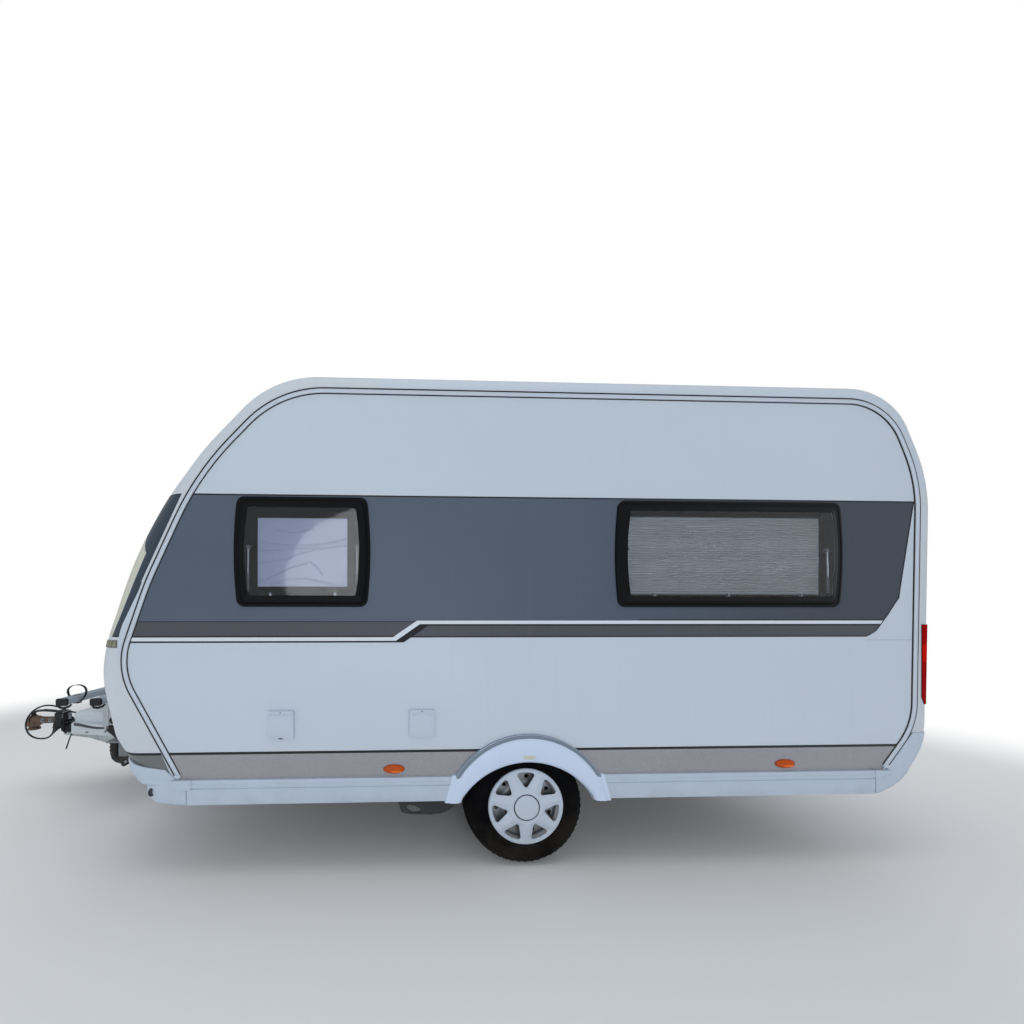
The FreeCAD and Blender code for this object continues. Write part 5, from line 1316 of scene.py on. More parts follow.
def onSkin(rear):
    # a place on the nose or the tail from (out to a side, up, out of the skin)
    def placed(across, up, out):
        half = [p for p in shellLine if (p.x > 0) == rear]
        for first, second in zip(half, half[1:]):
            if min(first.y, second.y) <= up <= max(first.y, second.y) and first.y != second.y:
                here = first.lerp(second, (up - first.y) / (second.y - first.y))
                run = (second - first).normalized()
                normal = Vector((-run.y, run.x))
                if (normal.x > 0) != rear:
                    normal.negate()
                return Vector((along(here.x + normal.x * out), across, here.y + normal.y * out))
        raise ValueError(up)
    return placed


endWindowSet = {"front": (-0.958, 0.958, 1.247, 1.938), "rear": (-0.598, 0.598, 1.396, 1.940),
                "corner": 0.085, "widen": 1.5, "bulge": 0.006, "crown": 0.002, "lap": 0.09, "fullness": 1.1,
                "catch": (0.010, 0.022, 0.009)}


def makeEndWindows():
    meshes = [bmesh.new() for _ in range(4)]
    lap, catch = endWindowSet["lap"], Vector(endWindowSet["catch"])
    for place, rear in (("front", False), ("rear", True)):
        placed = onSkin(rear)
        left, right, foot, head = endWindowSet[place]
        outline = partial(barrel, left, right, foot, head, endWindowSet["bulge"], endWindowSet["corner"])
        span = (left + lap, right - lap, foot + lap, head - lap)
        glazeOpening(meshes, placed, outline, span, endWindowSet["widen"], endWindowSet["crown"])
        bm = bmesh.new()
        addBlindSheet(bm, placed, *span, pleats, 24, blindRows(span))
        blind = finishPiece(f"{place}_blind", bm, "caravan", [rearBlind], 30)
        for number in range(4):
            spot = placed(left + (right - left) * (number + 0.5) / 4, foot + 0.052, -0.008)
            addBlock(meshes[3], spot - catch, spot + catch, 0.003)
    finishBorders("end_window", meshes, ["front_window", "rear_window"], [greyHandle])


makeEndWindows()
print("end windows made")

# skirts, arches and lower lamps
skirtSet = {"section": [(0.0006, 0.372), (0.012, 0.374), (0.015, 0.390), (0.0165, 0.420), (0.0165, 0.4545),
                        (0.0125, 0.4575), (0.0125, 0.4605), (0.0180, 0.4635), (0.0180, 0.4780),
                        (0.0165, 0.4795), (0.0165, 0.4820), (0.0180, 0.4835), (0.0178, 0.4940),
                        (0.0140, 0.4995), (0.0006, 0.4999)],
            "runs": [(-1.760, -0.405), (0.405, 1.900)], "screws": 0.355, "screw": (0.4885, 0.0178),
            "clear": (0.12, 0.05)}


def addPin(bm, place, side, rows, segments=12, index=0):
    # a small turned part that stands out to a side; rows of (out, radius)
    addTurned(bm, [(side * out, radius) for out, radius in rows], place, "y", segments, index)


def addAlong(bm, placed, section, start, end, rounding=0.003):
    # a moulding along the wall, its two ends drawn in a little
    middle = centreOf([Vector(p) for p in section])
    rings = []
    for across, share in ((start, 0.93), (start + rounding, 1.0), (end - rounding, 1.0), (end, 0.93)):
        ring = [middle.lerp(Vector(p), share) for p in section]
        rings.append([placed(across, p.y, max(p.x, 0.0004)) for p in ring])
    addRings(bm, rings)


def makeSkirts():
    bm = bmesh.new()
    first, last = skirtSet["clear"]
    for side in sides:
        placed = onSide(side)
        for start, end in skirtSet["runs"]:
            addAlong(bm, placed, skirtSet["section"], start, end)
            across = start + first
            while across < end - last:
                addPin(bm, placed(across, *skirtSet["screw"]), side,
                       [(0.0, 0.0), (0.0012, 0.0026), (0.0004, 0.0042), (-0.001, 0.0)])
                across += skirtSet["screws"]
    finishPiece("skirt_mouldings", bm, "caravan", [trimPlastic], 30, ["side_skirts"])


makeSkirts()

spatSet = {"outer": [(-0.4420, 0.366), (-0.4330, 0.400), (-0.4130, 0.470), (-0.4040, 0.504),
                     (-0.3960, 0.508),
                     (-0.3810, 0.5046)],
           "outerArc": (0.449, 0.267), "mouth": [(-0.352, 0.366), (-0.345, 0.3848)],
           "mouthArc": (0.419, 0.147), "plate": (0.064, 0.020, 0.599), "trimFoot": 0.503,
           "trim": [(-0.0005, 0.004), (0.0010, 0.016), (0.0045, 0.0222), (0.0095, 0.0242), (0.0125, 0.0242),
                    (0.0175, 0.0228), (0.0215, 0.0190), (0.0215, 0.004)]}


def archLine(foot, radius, centre, steps):
    # one half of an arch line: its foot run, then an arc up to the middle
    start = Vector(foot[-1])
    first = atan2(start.y - centre, start.x) % (2 * pi)
    arc = [Vector((radius * cos(a), centre + radius * sin(a)))
           for a in (first + (pi / 2 - first) * i / steps for i in range(1, steps + 1))]
    half = [Vector(p) for p in foot] + arc
    return half + [Vector((-p.x, p.y)) for p in reversed(half[:-1])]


def evenly(points, count):
    # the same line in equal steps
    lengths = [(b - a).length for a, b in zip(points, points[1:])]
    step = sum(lengths) / count
    made, spot, done = [points[0]], 0, 0.0
    for number in range(1, count):
        want = number * step
        while done + lengths[spot] < want:
            done += lengths[spot]
            spot += 1
        made.append(points[spot].lerp(points[spot + 1], (want - done) / lengths[spot]))
    return made + [points[-1]]


def makeSpats():
    bm = bmesh.new()
    outerRadius, outerCentre = spatSet["outerArc"]
    outer = archLine(spatSet["outer"], outerRadius, outerCentre, 40)
    mouth = archLine(spatSet["mouth"], *spatSet["mouthArc"], 40)
    arc = [p for p in evenly(outer, 160) if p.y > spatSet["trimFoot"]][2:-2]
    for side in sides:
        placed = onSide(side)
        rings = []
        for edge, inner in zip(evenly(outer, 96), evenly(mouth, 96)):
            wide = (inner - edge).length
            section = [(0.0, 0.0004), (0.001, 0.0175), (0.006, 0.0195), (0.024, 0.0200), (0.028, 0.0235),
                       (0.036, 0.0258), (wide - 0.030, 0.0255), (wide - 0.012, 0.0210),
                       (wide - 0.003, 0.0120), (wide, -0.0150), (wide - 0.004, -0.0150),
                       (wide - 0.008, 0.0004)]
            rings.append([placed(*edge.lerp(inner, depth / wide), out) for depth, out in section])
        addRings(bm, rings)
        # half-round trim over the arc
        rings = []
        for spot, here in enumerate(arc):
            run = runAt(arc, spot)
            down = Vector((run.y, -run.x))
            rings.append([placed(*(here + down * depth), out) for depth, out in spatSet["trim"]])
        addRings(bm, rings, 1)
        # blank plate over the middle
        wide, tall, up = spatSet["plate"]
        plate = roundedBox(-wide / 2, wide / 2, up - tall / 2, up + tall / 2, 0.0095)
        addSlab(bm, plate, [], placed, 0.0245, 0.0272, 2)
        addSlab(bm, inset(plate, 0.003), [], placed, 0.0265, 0.0280, 2)
    finishPiece("arch_mouldings", bm, "caravan",
                [spatPlastic, archTrim, creamPlastic], 30, ["wheel_arch_spats"])


makeSpats()

markerSet = {"places": [-0.7055, 1.4070], "size": (0.113, 0.048), "up": 0.5405}


def oval(size, middle, count=40):
    return [Vector((middle[0] + size[0] / 2 * cos(a),
                    middle[1] + size[1] / 2 * sin(a))) for a in turns(count)]


def makeSideMarkers():
    bm = bmesh.new()
    for side in sides:
        placed = onSide(side)
        for across in markerSet["places"]:
            outline = oval(markerSet["size"], (across, markerSet["up"]))
            addDome(bm, placed, outline, [(1.0, 0.0004), (1.0, 0.003), (0.97, 0.0048), (0.93, 0.0052)], 1)
            addDome(bm, placed, outline, [(0.94, 0.003), (0.94, 0.0058), (0.90, 0.0084), (0.80, 0.0108),
                                          (0.6, 0.0124), (0.3, 0.0134), (0.0, 0.0137)])
            # reflector bar and bulb seat moulded into the lens
            inner = oval((0.060, 0.012), (across + 0.012, markerSet["up"] - 0.010))
            addDome(bm, placed, inner, [(1.0, 0.010), (1.0, 0.0128), (0.8, 0.0139), (0.0, 0.0142)], 2)
            for way in (-1, 1):
                addPin(bm, placed(across + way * 0.046, markerSet["up"], 0.0086), side,
                       [(-0.002, 0.0), (-0.002, 0.003), (0.0006, 0.003), (0.0012, 0.0)], 10, 1)
    finishPiece("side_marker_lenses", bm, "caravan", [amberLens, darkAmber, brightAmber], 30,
                ["side_marker_lamps"])


makeSideMarkers()
print("skirts, arches and markers made")

# service flaps
flapSet = {"fronts": {"front": -1.354, "rear": -0.627}, "wide": 0.134, "foot": 0.703, "head": 0.8335,
           "gap": 0.002, "pin": 0.8375}


def makeFlaps():
    placed = onSide(-1)
    covers = bmesh.new()
    for name, front in flapSet["fronts"].items():
        left, right = front + flapSet["gap"], front + flapSet["wide"] - flapSet["gap"]
        foot, head, pin = flapSet["foot"], flapSet["head"], flapSet["pin"]
        middle = (left + right) / 2
        shape = roundedOutline([(left, head, 0.002), (left, foot + 0.007, 0.016),
                                (middle, foot - 0.0005, 0.2),
                                (right, foot + 0.007, 0.016), (right, head, 0.002)], step=6)
        bm = bmesh.new()
        addDome(bm, placed, shape, [(1.0, 0.0106), (1.0, 0.0135), (0.985, 0.0152), (0.95, 0.0160),
                                    (0.6, 0.0166), (0.0, 0.0168)], 0)
        # finger notch at the foot and the two hinge knuckles
        if name == "front":
            notch = oval((0.024, 0.006), (middle, foot + 0.006))
            addDome(bm, placed, notch, [(1.0, 0.012), (1.0, 0.0166), (0.7, 0.0172), (0.0, 0.0170)], 1)
        for way in (-1, 1):
            spot = middle + way * 0.040
            addTube(bm, [placed(spot - 0.012, pin, 0.0165), placed(spot + 0.012, pin, 0.0165)], 0.0034,
                    12, 0)
            addBlock(bm, placed(spot - 0.011, 0.8260, 0.0140), placed(spot + 0.011, pin, 0.0185),
                     0.0012, 0)
        finishPiece(f"{name}_flap_lid", bm, f"{name}_flap", [flapPlastic, shadowGap], 30,
                    [f"{name}_service_flap"])
        rim = roundedOutline([(left - 0.003, head + 0.0165, 0.008), (left - 0.003, foot + 0.002, 0.018),
                              (middle, foot - 0.0050, 0.2), (right + 0.003, foot + 0.002, 0.018),
                              (right + 0.003, head + 0.0165, 0.008)], step=6)
        hole = roundedOutline([(left + 0.012, head - 0.002, 0.006), (left + 0.012, foot + 0.014, 0.012),
                               (right - 0.012, foot + 0.014, 0.012), (right - 0.012, head - 0.002, 0.006)])
        addSlab(covers, rim, [hole], placed, 0.0004, 0.0103, 0)
        # cover strip over the hinge, with its press point
        strip = roundedOutline([(left, head + 0.0035, 0.003), (right, head + 0.0035, 0.003),
                                (right, head + 0.0160, 0.006), (left, head + 0.0160, 0.006)])
        addDome(covers, placed, strip, [(1.0, 0.009), (1.0, 0.0195), (0.97, 0.0225), (0.9, 0.0232),
                                        (0.0, 0.0234)], 0)
        addPin(covers, placed(middle, head + 0.0098, 0.0220), -1,
               [(0.0, 0.0), (0.0, 0.0030), (0.0024, 0.0030), (0.0030, 0.0022), (0.0030, 0.0)], 14, 1)
    finishPiece("flap_surrounds", covers, "caravan", [flapPlastic, shadowGap], 30)


makeFlaps()
print("service flaps made")

# wheels
wheelSet = {"middle": 0.982, "openings": 7,
            "rings": [(0.0, 0.0), (0.14, 0.0), (0.22, 0.0008), (0.36, 0.0026),
                                                      (0.60, 0.0058), (0.82, 0.0084), (0.94, 0.0098),
                                                      (1.0, 0.0114)],
            "hole": [(-0.055, 0.1745, 0.012), (0.0, 0.1815, 0.12), (0.055, 0.1745, 0.012),
                     (0.0, 0.094, 0.012)],
            "ring": (0.084, 0.193), "eye": 0.148, "face": 0.0868, "capWall": 0.0028,
            "groove": (0.0642, 0.0708)}
capFace = [(0.0, 0.0205), (0.030, 0.0204), (0.058, 0.0192), (0.0630, 0.0186), (0.0645, 0.0140),
           (0.0700, 0.0140), (0.0718, 0.0180), (0.084, 0.0186), (0.110, 0.0180), (0.150, 0.0158),
           (0.180, 0.0125), (0.193, 0.0098), (0.199, 0.0066), (0.2028, 0.0010)]


def valueAt(rows, at):
    # the value between two rows of (place, value)
    for (first, low), (second, high) in zip(rows, rows[1:]):
        if first <= at <= second:
            return low + (high - low) * (at - first) / (second - first)
    return rows[-1][1]


def rayHit(loop, start, direction):
    best = None
    for first, second in zip(loop, loop[1:] + loop[:1]):
        run = second - first
        area = direction.x * run.y - direction.y * run.x
        if abs(area) < 1e-12:
            continue
        gap = first - start
        away = (gap.x * run.y - gap.y * run.x) / area
        share = (gap.x * direction.y - gap.y * direction.x) / area
        if away > 0 and -1e-9 <= share <= 1 + 1e-9 and (best is None or away < best):
            best = away
    return start + direction * best


def hubcapPart():
    # one sector of a hubcap's face, flat: the line round it, and as many points round its opening
    sector = 2 * pi / wheelSet["openings"]
    steps = 10
    angles = [-sector / 2 + sector * i / steps for i in range(steps + 1)]
    inner, outer = ([Vector((radius * sin(a),
                             radius * cos(a))) for a in angles] for radius in wheelSet["ring"])
    radial = [inner[-1].lerp(outer[-1], i / 8) for i in range(1, 8)]
    loop = outer + list(reversed(radial)) + list(reversed(inner)) + [Vector((-p.x, p.y)) for p in radial]
    centre = Vector((0, wheelSet["eye"]))
    hole = roundedOutline(wheelSet["hole"], step=12)
    holeLoop = [rayHit(hole, centre, (p - centre).normalized()) for p in loop]
    return loop, holeLoop, inner, outer


def makeHubcap(side, name):
    loop, holeLoop, inner, outer = hubcapPart()
    count = wheelSet["openings"]
    base = wheelSet["middle"] + wheelSet["face"]
    part = bmesh.new()

    def spot(point, height):
        return Vector((axle.x + point.x, side * (base + height), axle.z + point.y))

    ringLow, ringHigh = [], []
    for number in range(count):
        turn = Matrix.Rotation(-2 * pi * number / count, 2)
        rings = []
        for share, drop in wheelSet["rings"]:
            ring = []
            for edge, cut in zip(loop, holeLoop):
                here = edge.lerp(cut, share)
                ring.append(spot(turn @ here, valueAt(capFace, here.length) - drop))
            rings.append(ring)
        addRings(part, rings, 0, capped=False)
        ringLow += [turn @ p for p in inner[:-1]]
        ringHigh += [turn @ p for p in outer[:-1]]
    low, high = wheelSet["ring"]
    rings = [[spot(Vector((0, 0)), capFace[0][1])]]
    rings += [[spot(p * (r / low), h) for p in ringLow] for r, h in capFace if 0 < r <= low]
    addRings(part, rings, 0, capped=False)
    rings = [[spot(p * (r / high), h) for p in ringHigh] for r, h in capFace if r >= high]
    addRings(part, rings, 0, capped=False)
    bm = bmesh.new()
    bmesh.ops.remove_doubles(part, verts=part.verts, dist=1e-5)
    bmesh.ops.recalc_face_normals(part, faces=part.faces)
    behind = Vector((0, -side * wheelSet["capWall"], 0))
    addShell(part, bm, lambda v: v.co, lambda v: v.co + behind)
    low, high = wheelSet["groove"]
    middles = [(face, face.calc_center_median()) for face in bm.faces]
    paint([face for face, p in middles if low < hypot(p.x - axle.x, p.z - axle.z) < high], 1)
    finishPiece(name, bm, name.replace("hubcap_face", "wheel"), [capPlastic, shadowGap], 25,
                [name.replace("_face", "")])


tyreHalf = [(0.000, 0.3155), (0.013, 0.3155), (0.0135, 0.3090), (0.0195, 0.3090), (0.020, 0.3150),
            (0.044, 0.3125), (0.0445, 0.3060), (0.0500, 0.3055), (0.0505, 0.3108), (0.064, 0.3075),
            (0.0740, 0.3020), (0.0815, 0.2945), (0.0870, 0.2855), (0.0905, 0.2830), (0.0925, 0.2770),
            (0.0945, 0.2600), (0.0946, 0.2420), (0.0936, 0.2405), (0.0930, 0.2300), (0.0900, 0.2180),
            (0.0900, 0.2140), (0.0915, 0.2125), (0.0905, 0.2085), (0.0850, 0.2040), (0.0800, 0.1960),
            (0.0740, 0.1900), (0.0700, 0.1830), (0.0700, 0.1760)]


treadSet = {"half": 0.01525, "slant": 16, "crown": 0.3190, "fall": 0.0075, "shoulder": 0.057, "root": 0.300,
            "count": 54, "ribs": 90,
            "rows": [(-0.057, 0.0140), (-0.032, 0.0225), (0.0, 0.0245), (0.032, 0.0225), (0.057, 0.0140)]}


def makeTyre(side, name):
    bm = bmesh.new()
    centre = Vector((axle.x, side * wheelSet["middle"], axle.z))
    profile = [(-y, r) for y, r in reversed(tyreHalf)] + tyreHalf[1:]
    addTurned(bm, profile, centre, "y", 96, 0, closedProfile=True)
    block = bmesh.new()
    half, slant = treadSet["half"], Matrix.Rotation(radians(treadSet["slant"]), 4, "Z")
    for across, wide in treadSet["rows"]:
        lift = treadSet["crown"] - (across / treadSet["shoulder"]) ** 2 * treadSet["fall"]
        there, back = Matrix.Translation((0, across, 0)), Matrix.Translation((0, -across, 0))
        addBlock(block, (-half, across - wide / 2, treadSet["root"]), (half, across + wide / 2, lift),
                 0.0022, 0,
                 there @ slant @ back if across else None, 1)
    rib = bmesh.new()
    bmesh.ops.create_cube(rib, size=1)
    for vert in rib.verts:
        x, y, z = vert.co
        vert.co = Vector((x * 0.0032, side * (0.09205 + y * 0.0031), 0.229 + z * 0.014))
    bmesh.ops.bevel(rib, geom=rib.edges[:], offset=0.0007, segments=1, affect="EDGES", profile=0.5)
    for part, count in ((block, treadSet["count"]), (rib, treadSet["ribs"])):
        addMesh(bm, copied(ringTree, part, tyreRubber, Count=count), 0, Matrix.Translation(centre))
    finishPiece(name, bm, name.replace("tyre_body", "wheel"), [tyreRubber], 30,
                [name.replace("_body", "")])


def makeRim(side, name):
    bm = bmesh.new()
    centre = Vector((axle.x, side * wheelSet["middle"], axle.z))
    barrelRows = [(-0.0700, 0.1760), (-0.0760, 0.1840), (-0.0800, 0.1905), (-0.0845, 0.1915),
                  (-0.0850, 0.1890),
                  (-0.0800, 0.1800), (-0.0700, 0.1700), (-0.0500, 0.1660), (-0.0200, 0.1500),
                  (0.0200, 0.1500), (0.0500, 0.1660), (0.0700, 0.1700), (0.0800, 0.1800), (0.0848, 0.1890),
                  (0.0842, 0.1915), (0.0800, 0.1905), (0.0760, 0.1840), (0.0700, 0.1760), (0.0500, 0.1715),
                  (0.0200, 0.1550), (-0.0200, 0.1550), (-0.0500, 0.1715)]
    addTurned(bm, [(side * y, r) for y, r in barrelRows], centre, "y", 72, 0, closedProfile=True)
    holes = []
    for number in range(wheelSet["openings"]):
        angle = 2 * pi * (number + 0.12) / wheelSet["openings"]
        middle = (0.1490 * sin(angle), 0.1490 * cos(angle))
        holes.append(oval((0.023, 0.023), middle, 20))
    outline = oval((0.333, 0.333), (0, 0), 72)
    middleHole = oval((0.260, 0.260), (0, 0), 72)

    def placed(across, up, out):
        return Vector((axle.x + across, side * (wheelSet["middle"] + out), axle.z + up))

    addSlab(bm, outline, [middleHole, *holes], placed, 0.0480, 0.0520, 0)
    disc = [(0.0480, 0.1305), (0.0520, 0.1305), (0.0580, 0.1240), (0.0610, 0.1120), (0.0600, 0.0960),
            (0.0540, 0.0820), (0.0500, 0.0740), (0.0500, 0.0330), (0.0450, 0.0330), (0.0450, 0.0760),
            (0.0500, 0.0850), (0.0555, 0.0970), (0.0565, 0.1110), (0.0540, 0.1210)]
    addTurned(bm, [(side * y, r) for y, r in disc], centre, "y", 72, 0, closedProfile=True)
    nut = bmesh.new()
    addPin(nut, (0, side * 0.0495, 0.0560), side,
           [(0.0, 0.0), (0.0, 0.0105), (0.011, 0.0105), (0.0135, 0.0080), (0.0135, 0.0)], 6)
    nuts = copied(ringTree, nut, zinc, Count=5)
    addMesh(bm, nuts, 1, Matrix.Translation(centre))
    # hub and brake drum behind the disc
    drum = [(0.0495, 0.0), (0.0495, 0.0325), (0.0440, 0.0325), (0.0440, 0.0800), (0.0400, 0.1150),
            (0.0360, 0.1180), (-0.0200, 0.1180), (-0.0230, 0.1230), (-0.0300, 0.1230), (-0.0320, 0.1150),
            (-0.0320, 0.0)]
    addTurned(bm, [(side * y, r) for y, r in drum], centre, "y", 48, 2)
    # valve stem seen through one of the openings
    angle = 2 * pi * 2 / wheelSet["openings"]
    spots = [placed(r * sin(angle + 0.16), r * cos(angle + 0.16), out) for r, out in
             ((0.1560, 0.0440), (0.1520, 0.0600), (0.1500, 0.0760))]
    addTube(bm, spots, [0.0060, 0.0046, 0.0040], 12, 3)
    finishPiece(name, bm, name.replace("rim", "wheel"),
                [silverPaint, zinc, blackSteel, blackRubber],
                30, [name.replace("rim", "steel_wheel")])


for side, sideName in ((-1, "left"), (1, "right")):
    makeTyre(side, f"{sideName}_tyre_body")
    makeRim(side, f"{sideName}_rim")
    makeHubcap(side, f"{sideName}_hubcap_face")
print("wheels made")

# bumpers, lamps and small parts at the ends
bumperSet = {
    "rear": {"rows": [(1.930, 0.3725), (1.985, 0.3765), (2.040, 0.3890), (2.086, 0.4110), (2.128, 0.4400),
                      (2.168, 0.4760), (2.203, 0.5160), (2.232, 0.5600), (2.258, 0.6100), (2.274, 0.6580),
                      (2.2800, 0.6980), (2.2775, 0.7005)],
             "start": 1.902, "rail": (1.940, 0.455, 2.152, 0.736), "way": 1},
    "front": {"rows": [(-1.870, 0.3725), (-1.940, 0.3760), (-1.985, 0.3900), (-2.003, 0.4120),
                       (-2.0085, 0.4380),
                       (-2.0080, 0.4500), (-2.0010, 0.4535), (-2.0040, 0.4570), (-2.0230, 0.4610),
                       (-2.0490, 0.4770), (-2.0750, 0.5030), (-2.0950, 0.5330), (-2.1050, 0.5650),
                       (-2.1090, 0.5880), (-2.1080, 0.6010), (-2.1040, 0.6050)],
              "start": -1.762, "rail": (-1.790, 0.455, -2.121, 1.0735), "way": -1},
    "low": 1.1125, "high": 1.1020, "shelf": 0.4998, "plan": 0.125, "wall": 0.012, "closest": 1.0956}


edgeFall = [(-2.12, 0.0), (-2.085, 0.003), (-2.034, 0.025), (-1.96, 0.040), (-1.883, 0.052), (-1.70, 0.066)]


def bumperRing(given, number):
    end, up = given["rows"][number]
    way = given["way"]
    top = given["rows"][-1][1]
    onWall = up > bumperSet["shelf"]
    if onWall:
        lowX, lowZ, highX, highZ = given["rail"]
        start = lowX + (up - lowZ) * (highX - lowX) / (highZ - lowZ) + way * 0.002
    else:
        start = given["start"]
    # the rounded foot of each side draws in a little
    tuck = max(0.0, 1 - (up - given["rows"][0][1]) / 0.022)
    wide = bumperSet["high"] + (bumperSet["low"] - bumperSet["high"]) * min(1.0,
                                                                            max(0.0, (0.5 - up) / 0.03))
    outer = wide - tuck ** 2 * 0.012
    radius = min(bumperSet["plan"], abs(end - start) - 0.014)

    def line(half, tip, bend):
        points = [(start, -half)]
        points += [(start + (tip - way * bend - start) * i / 8, -half) for i in range(1, 9)]
        points += [(tip - way * bend * (1 - sin(a)), -half + bend * (1 - cos(a)))
                   for a in (radians(90 * i / 8) for i in range(1, 9))]
        points += [(tip, (-half + bend) * (1 - 2 * i / 12)) for i in range(1, 12)]
        return points + [(x, -y) for x, y in reversed(points)]

    def height(x):
        if way > 0:
            return up
        # the front one's groove climbs and its top edge falls towards the sides
        side = max(0.0, min(1.0, (x + 2.03) / 0.10))
        climb = 0.026 * side * max(0.0, 1 - abs(up - 0.4535) / 0.045)
        fall = max(0.0, up - 0.50) / (top - 0.50)
        edge = valueAt(edgeFall, x) if edgeFall[0][0] <= x <= edgeFall[-1][0] else 0.0
        return up + climb - edge * fall

    inner = max(outer - bumperSet["wall"], bumperSet["closest"])
    rows = line(outer, end, radius) + list(reversed(line(inner, end - way * bumperSet["wall"], radius)))
    return [Vector((along(x), y, height(x))) for x, y in rows]


def makeBumpers():
    for name in ("rear", "front"):
        given = bumperSet[name]
        bm = bmesh.new()
        count = len(given["rows"])
        shelf = next(i for i in range(count) if given["rows"][i][1] > bumperSet["shelf"])
        x, up = given["rows"][shelf - 1]
        after = given["rows"][shelf]
        share = (bumperSet["shelf"] - up) / (after[1] - up)
        edge = x + (after[0] - x) * share
        given["rows"][shelf:shelf] = [(edge, bumperSet["shelf"] - 0.003), (edge, bumperSet["shelf"]),
                                      (edge, bumperSet["shelf"] + 0.0003)]
        made = addRings(bm, [bumperRing(given, number) for number in range(len(given["rows"]))], 0,
                        capped=False)
        for ring in (made[0], made[-1]):
            half = len(ring) // 2
            for i in range(half - 1):
                bm.faces.new((ring[i], ring[i + 1], ring[-2 - i], ring[-1 - i]))
        finishes = [trimPlastic, shadowGap, blackSeal]
        if name == "front":
            # towing eye covers low on both corners; their dark colour is painted shade of the bumper's oval
            # holes
            for side in sides:
                centre = Vector((along(-1.945), side * 1.0935, 0.440))
                facing = Matrix.Translation(centre) @ Matrix.Rotation(side * radians(-30), 4, "Z")
                eye = bmesh.new()
                addPin(eye, (0, 0, 0), side, [(0.0, 0.0), (0.0105, 0.0), (0.0115, 0.013), (0.0165, 0.015),
                                              (0.0165, 0.018), (0.009, 0.0195), (0.0, 0.0195)], 24)
                addMesh(bm, meshFrom("eye", eye, clean=False), 1, facing @ Matrix.Diagonal((0.72, 1, 1, 1)))
        else:
            # number plate lamp housings and blank plate holder on the tail
            for across in (-0.150, 0.150):
                addBlock(bm, (along(2.262), across - 0.045, 0.655), (along(2.292), across + 0.045, 0.678),
                         0.005, 1)
            addBlock(bm, (along(2.205), -0.262, 0.530), (along(2.2620), 0.262, 0.646), 0.004, 2)
        finishPiece(f"{name}_bumper_skin", bm, "caravan", finishes, 30, [f"{name}_bumper"])
    bm = bmesh.new()
    front = [(-1.852, 0.5005), (-1.736, 0.5025), (-1.736, 0.4560), (-1.772, 0.4480), (-1.800, 0.4530),
             (-1.825, 0.4700)]
    rear = [(1.897, 0.5025), (1.998, 0.5005), (1.990, 0.4880), (1.955, 0.4800), (1.925, 0.4640),
            (1.897, 0.4600)]
    for side in sides:
        placed = onSide(side)
        for corners in (front, rear):
            shape = roundedOutline([(x, z, 0.007) for x, z in corners])
            addDome(bm, placed, shape,
                    [(1.0, 0.010), (1.0, 0.0196), (0.96, 0.0212), (0.7, 0.0220), (0.0, 0.0222)])
    finishPiece("rail_foot_caps", bm, "caravan", [trimPlastic], 30)


makeBumpers()

lampSetRear = {"planes": (2.186, 0.905),
               "steps": [(0.853, 1.0835, 1), (1.0865, 1.1825, 0), (1.1855, 1.2900, 1)],
               "foot": ((2.1845, 0.893), (-0.042, -0.024)), "lift": 0.0045}


def makeTailLamps():
    bm = bmesh.new()
    inward, across = lampSetRear["planes"]
    (footX, footZ), (normalX, normalZ) = lampSetRear["foot"]

    def planes(side, low, high, spread):
        found = between(low - spread, high + spread)
        found.append(((along(inward - spread), 0, 0), (-1, 0, 0)))
        found.append(((0, side * (across - spread), 0), (0, -side, 0)))
        found.append(((along(footX), 0, footZ - spread * 1.4), Vector((normalX, 0, normalZ)).normalized()))
        return found

    for side in sides:
        skinStrip(bm, "rear_wall", planes(side, 0.853, 1.2900, 0.0012), 0.0020, 2)
        skinStrip(bm, "rear_wall", planes(side, 0.853, 1.2900, 0.0), 0.0038, 1)
        for low, high, index in lampSetRear["steps"]:
            skinStrip(bm, "rear_wall", planes(side, low, high, -0.0010), lampSetRear["lift"], index)
        # clear and amber lenses on the tail side of each lamp
        for low, high, index in ((0.900, 0.985, 3), (1.205, 1.265, 4)):
            found = between(low, high)
            found.append(((along(2.20), 0, 0), (-1, 0, 0)))
            found.append(((0, side * 0.925, 0), (0, -side, 0)))
            found.append(((0, side * 1.030, 0), (0, side, 0)))
            skinStrip(bm, "rear_wall", found, 0.0062, index)
    finishPiece("tail_lamp_lenses", bm, "caravan",
                [redLens, darkRedLens, blackSeal, whiteLens, amberLens], 30, ["tail_lamps"])


makeTailLamps()


def makeFrontMarkers():
    # clear lamps that wrap the front corners, each on a thin grey base
    bm = bmesh.new()
    for side in sides:
        for spread, lift, index in ((0.0012, 0.0020, 1), (0.0, 0.0040, 1), (-0.0012, 0.0050, 0)):
            planes = between(1.176 - spread, 1.213 + spread)
            planes += [((along(-2.115 + spread), 0, 0), (1, 0, 0)),
                       ((0, side * (0.925 - spread), 0), (0, -side, 0))]
            skinStrip(bm, "front_wall", planes, lift, index)
    finishPiece("front_marker_lenses", bm, "caravan", [smokedLens, greyHandle], 30,
                ["front_marker_lamps"])


makeFrontMarkers()

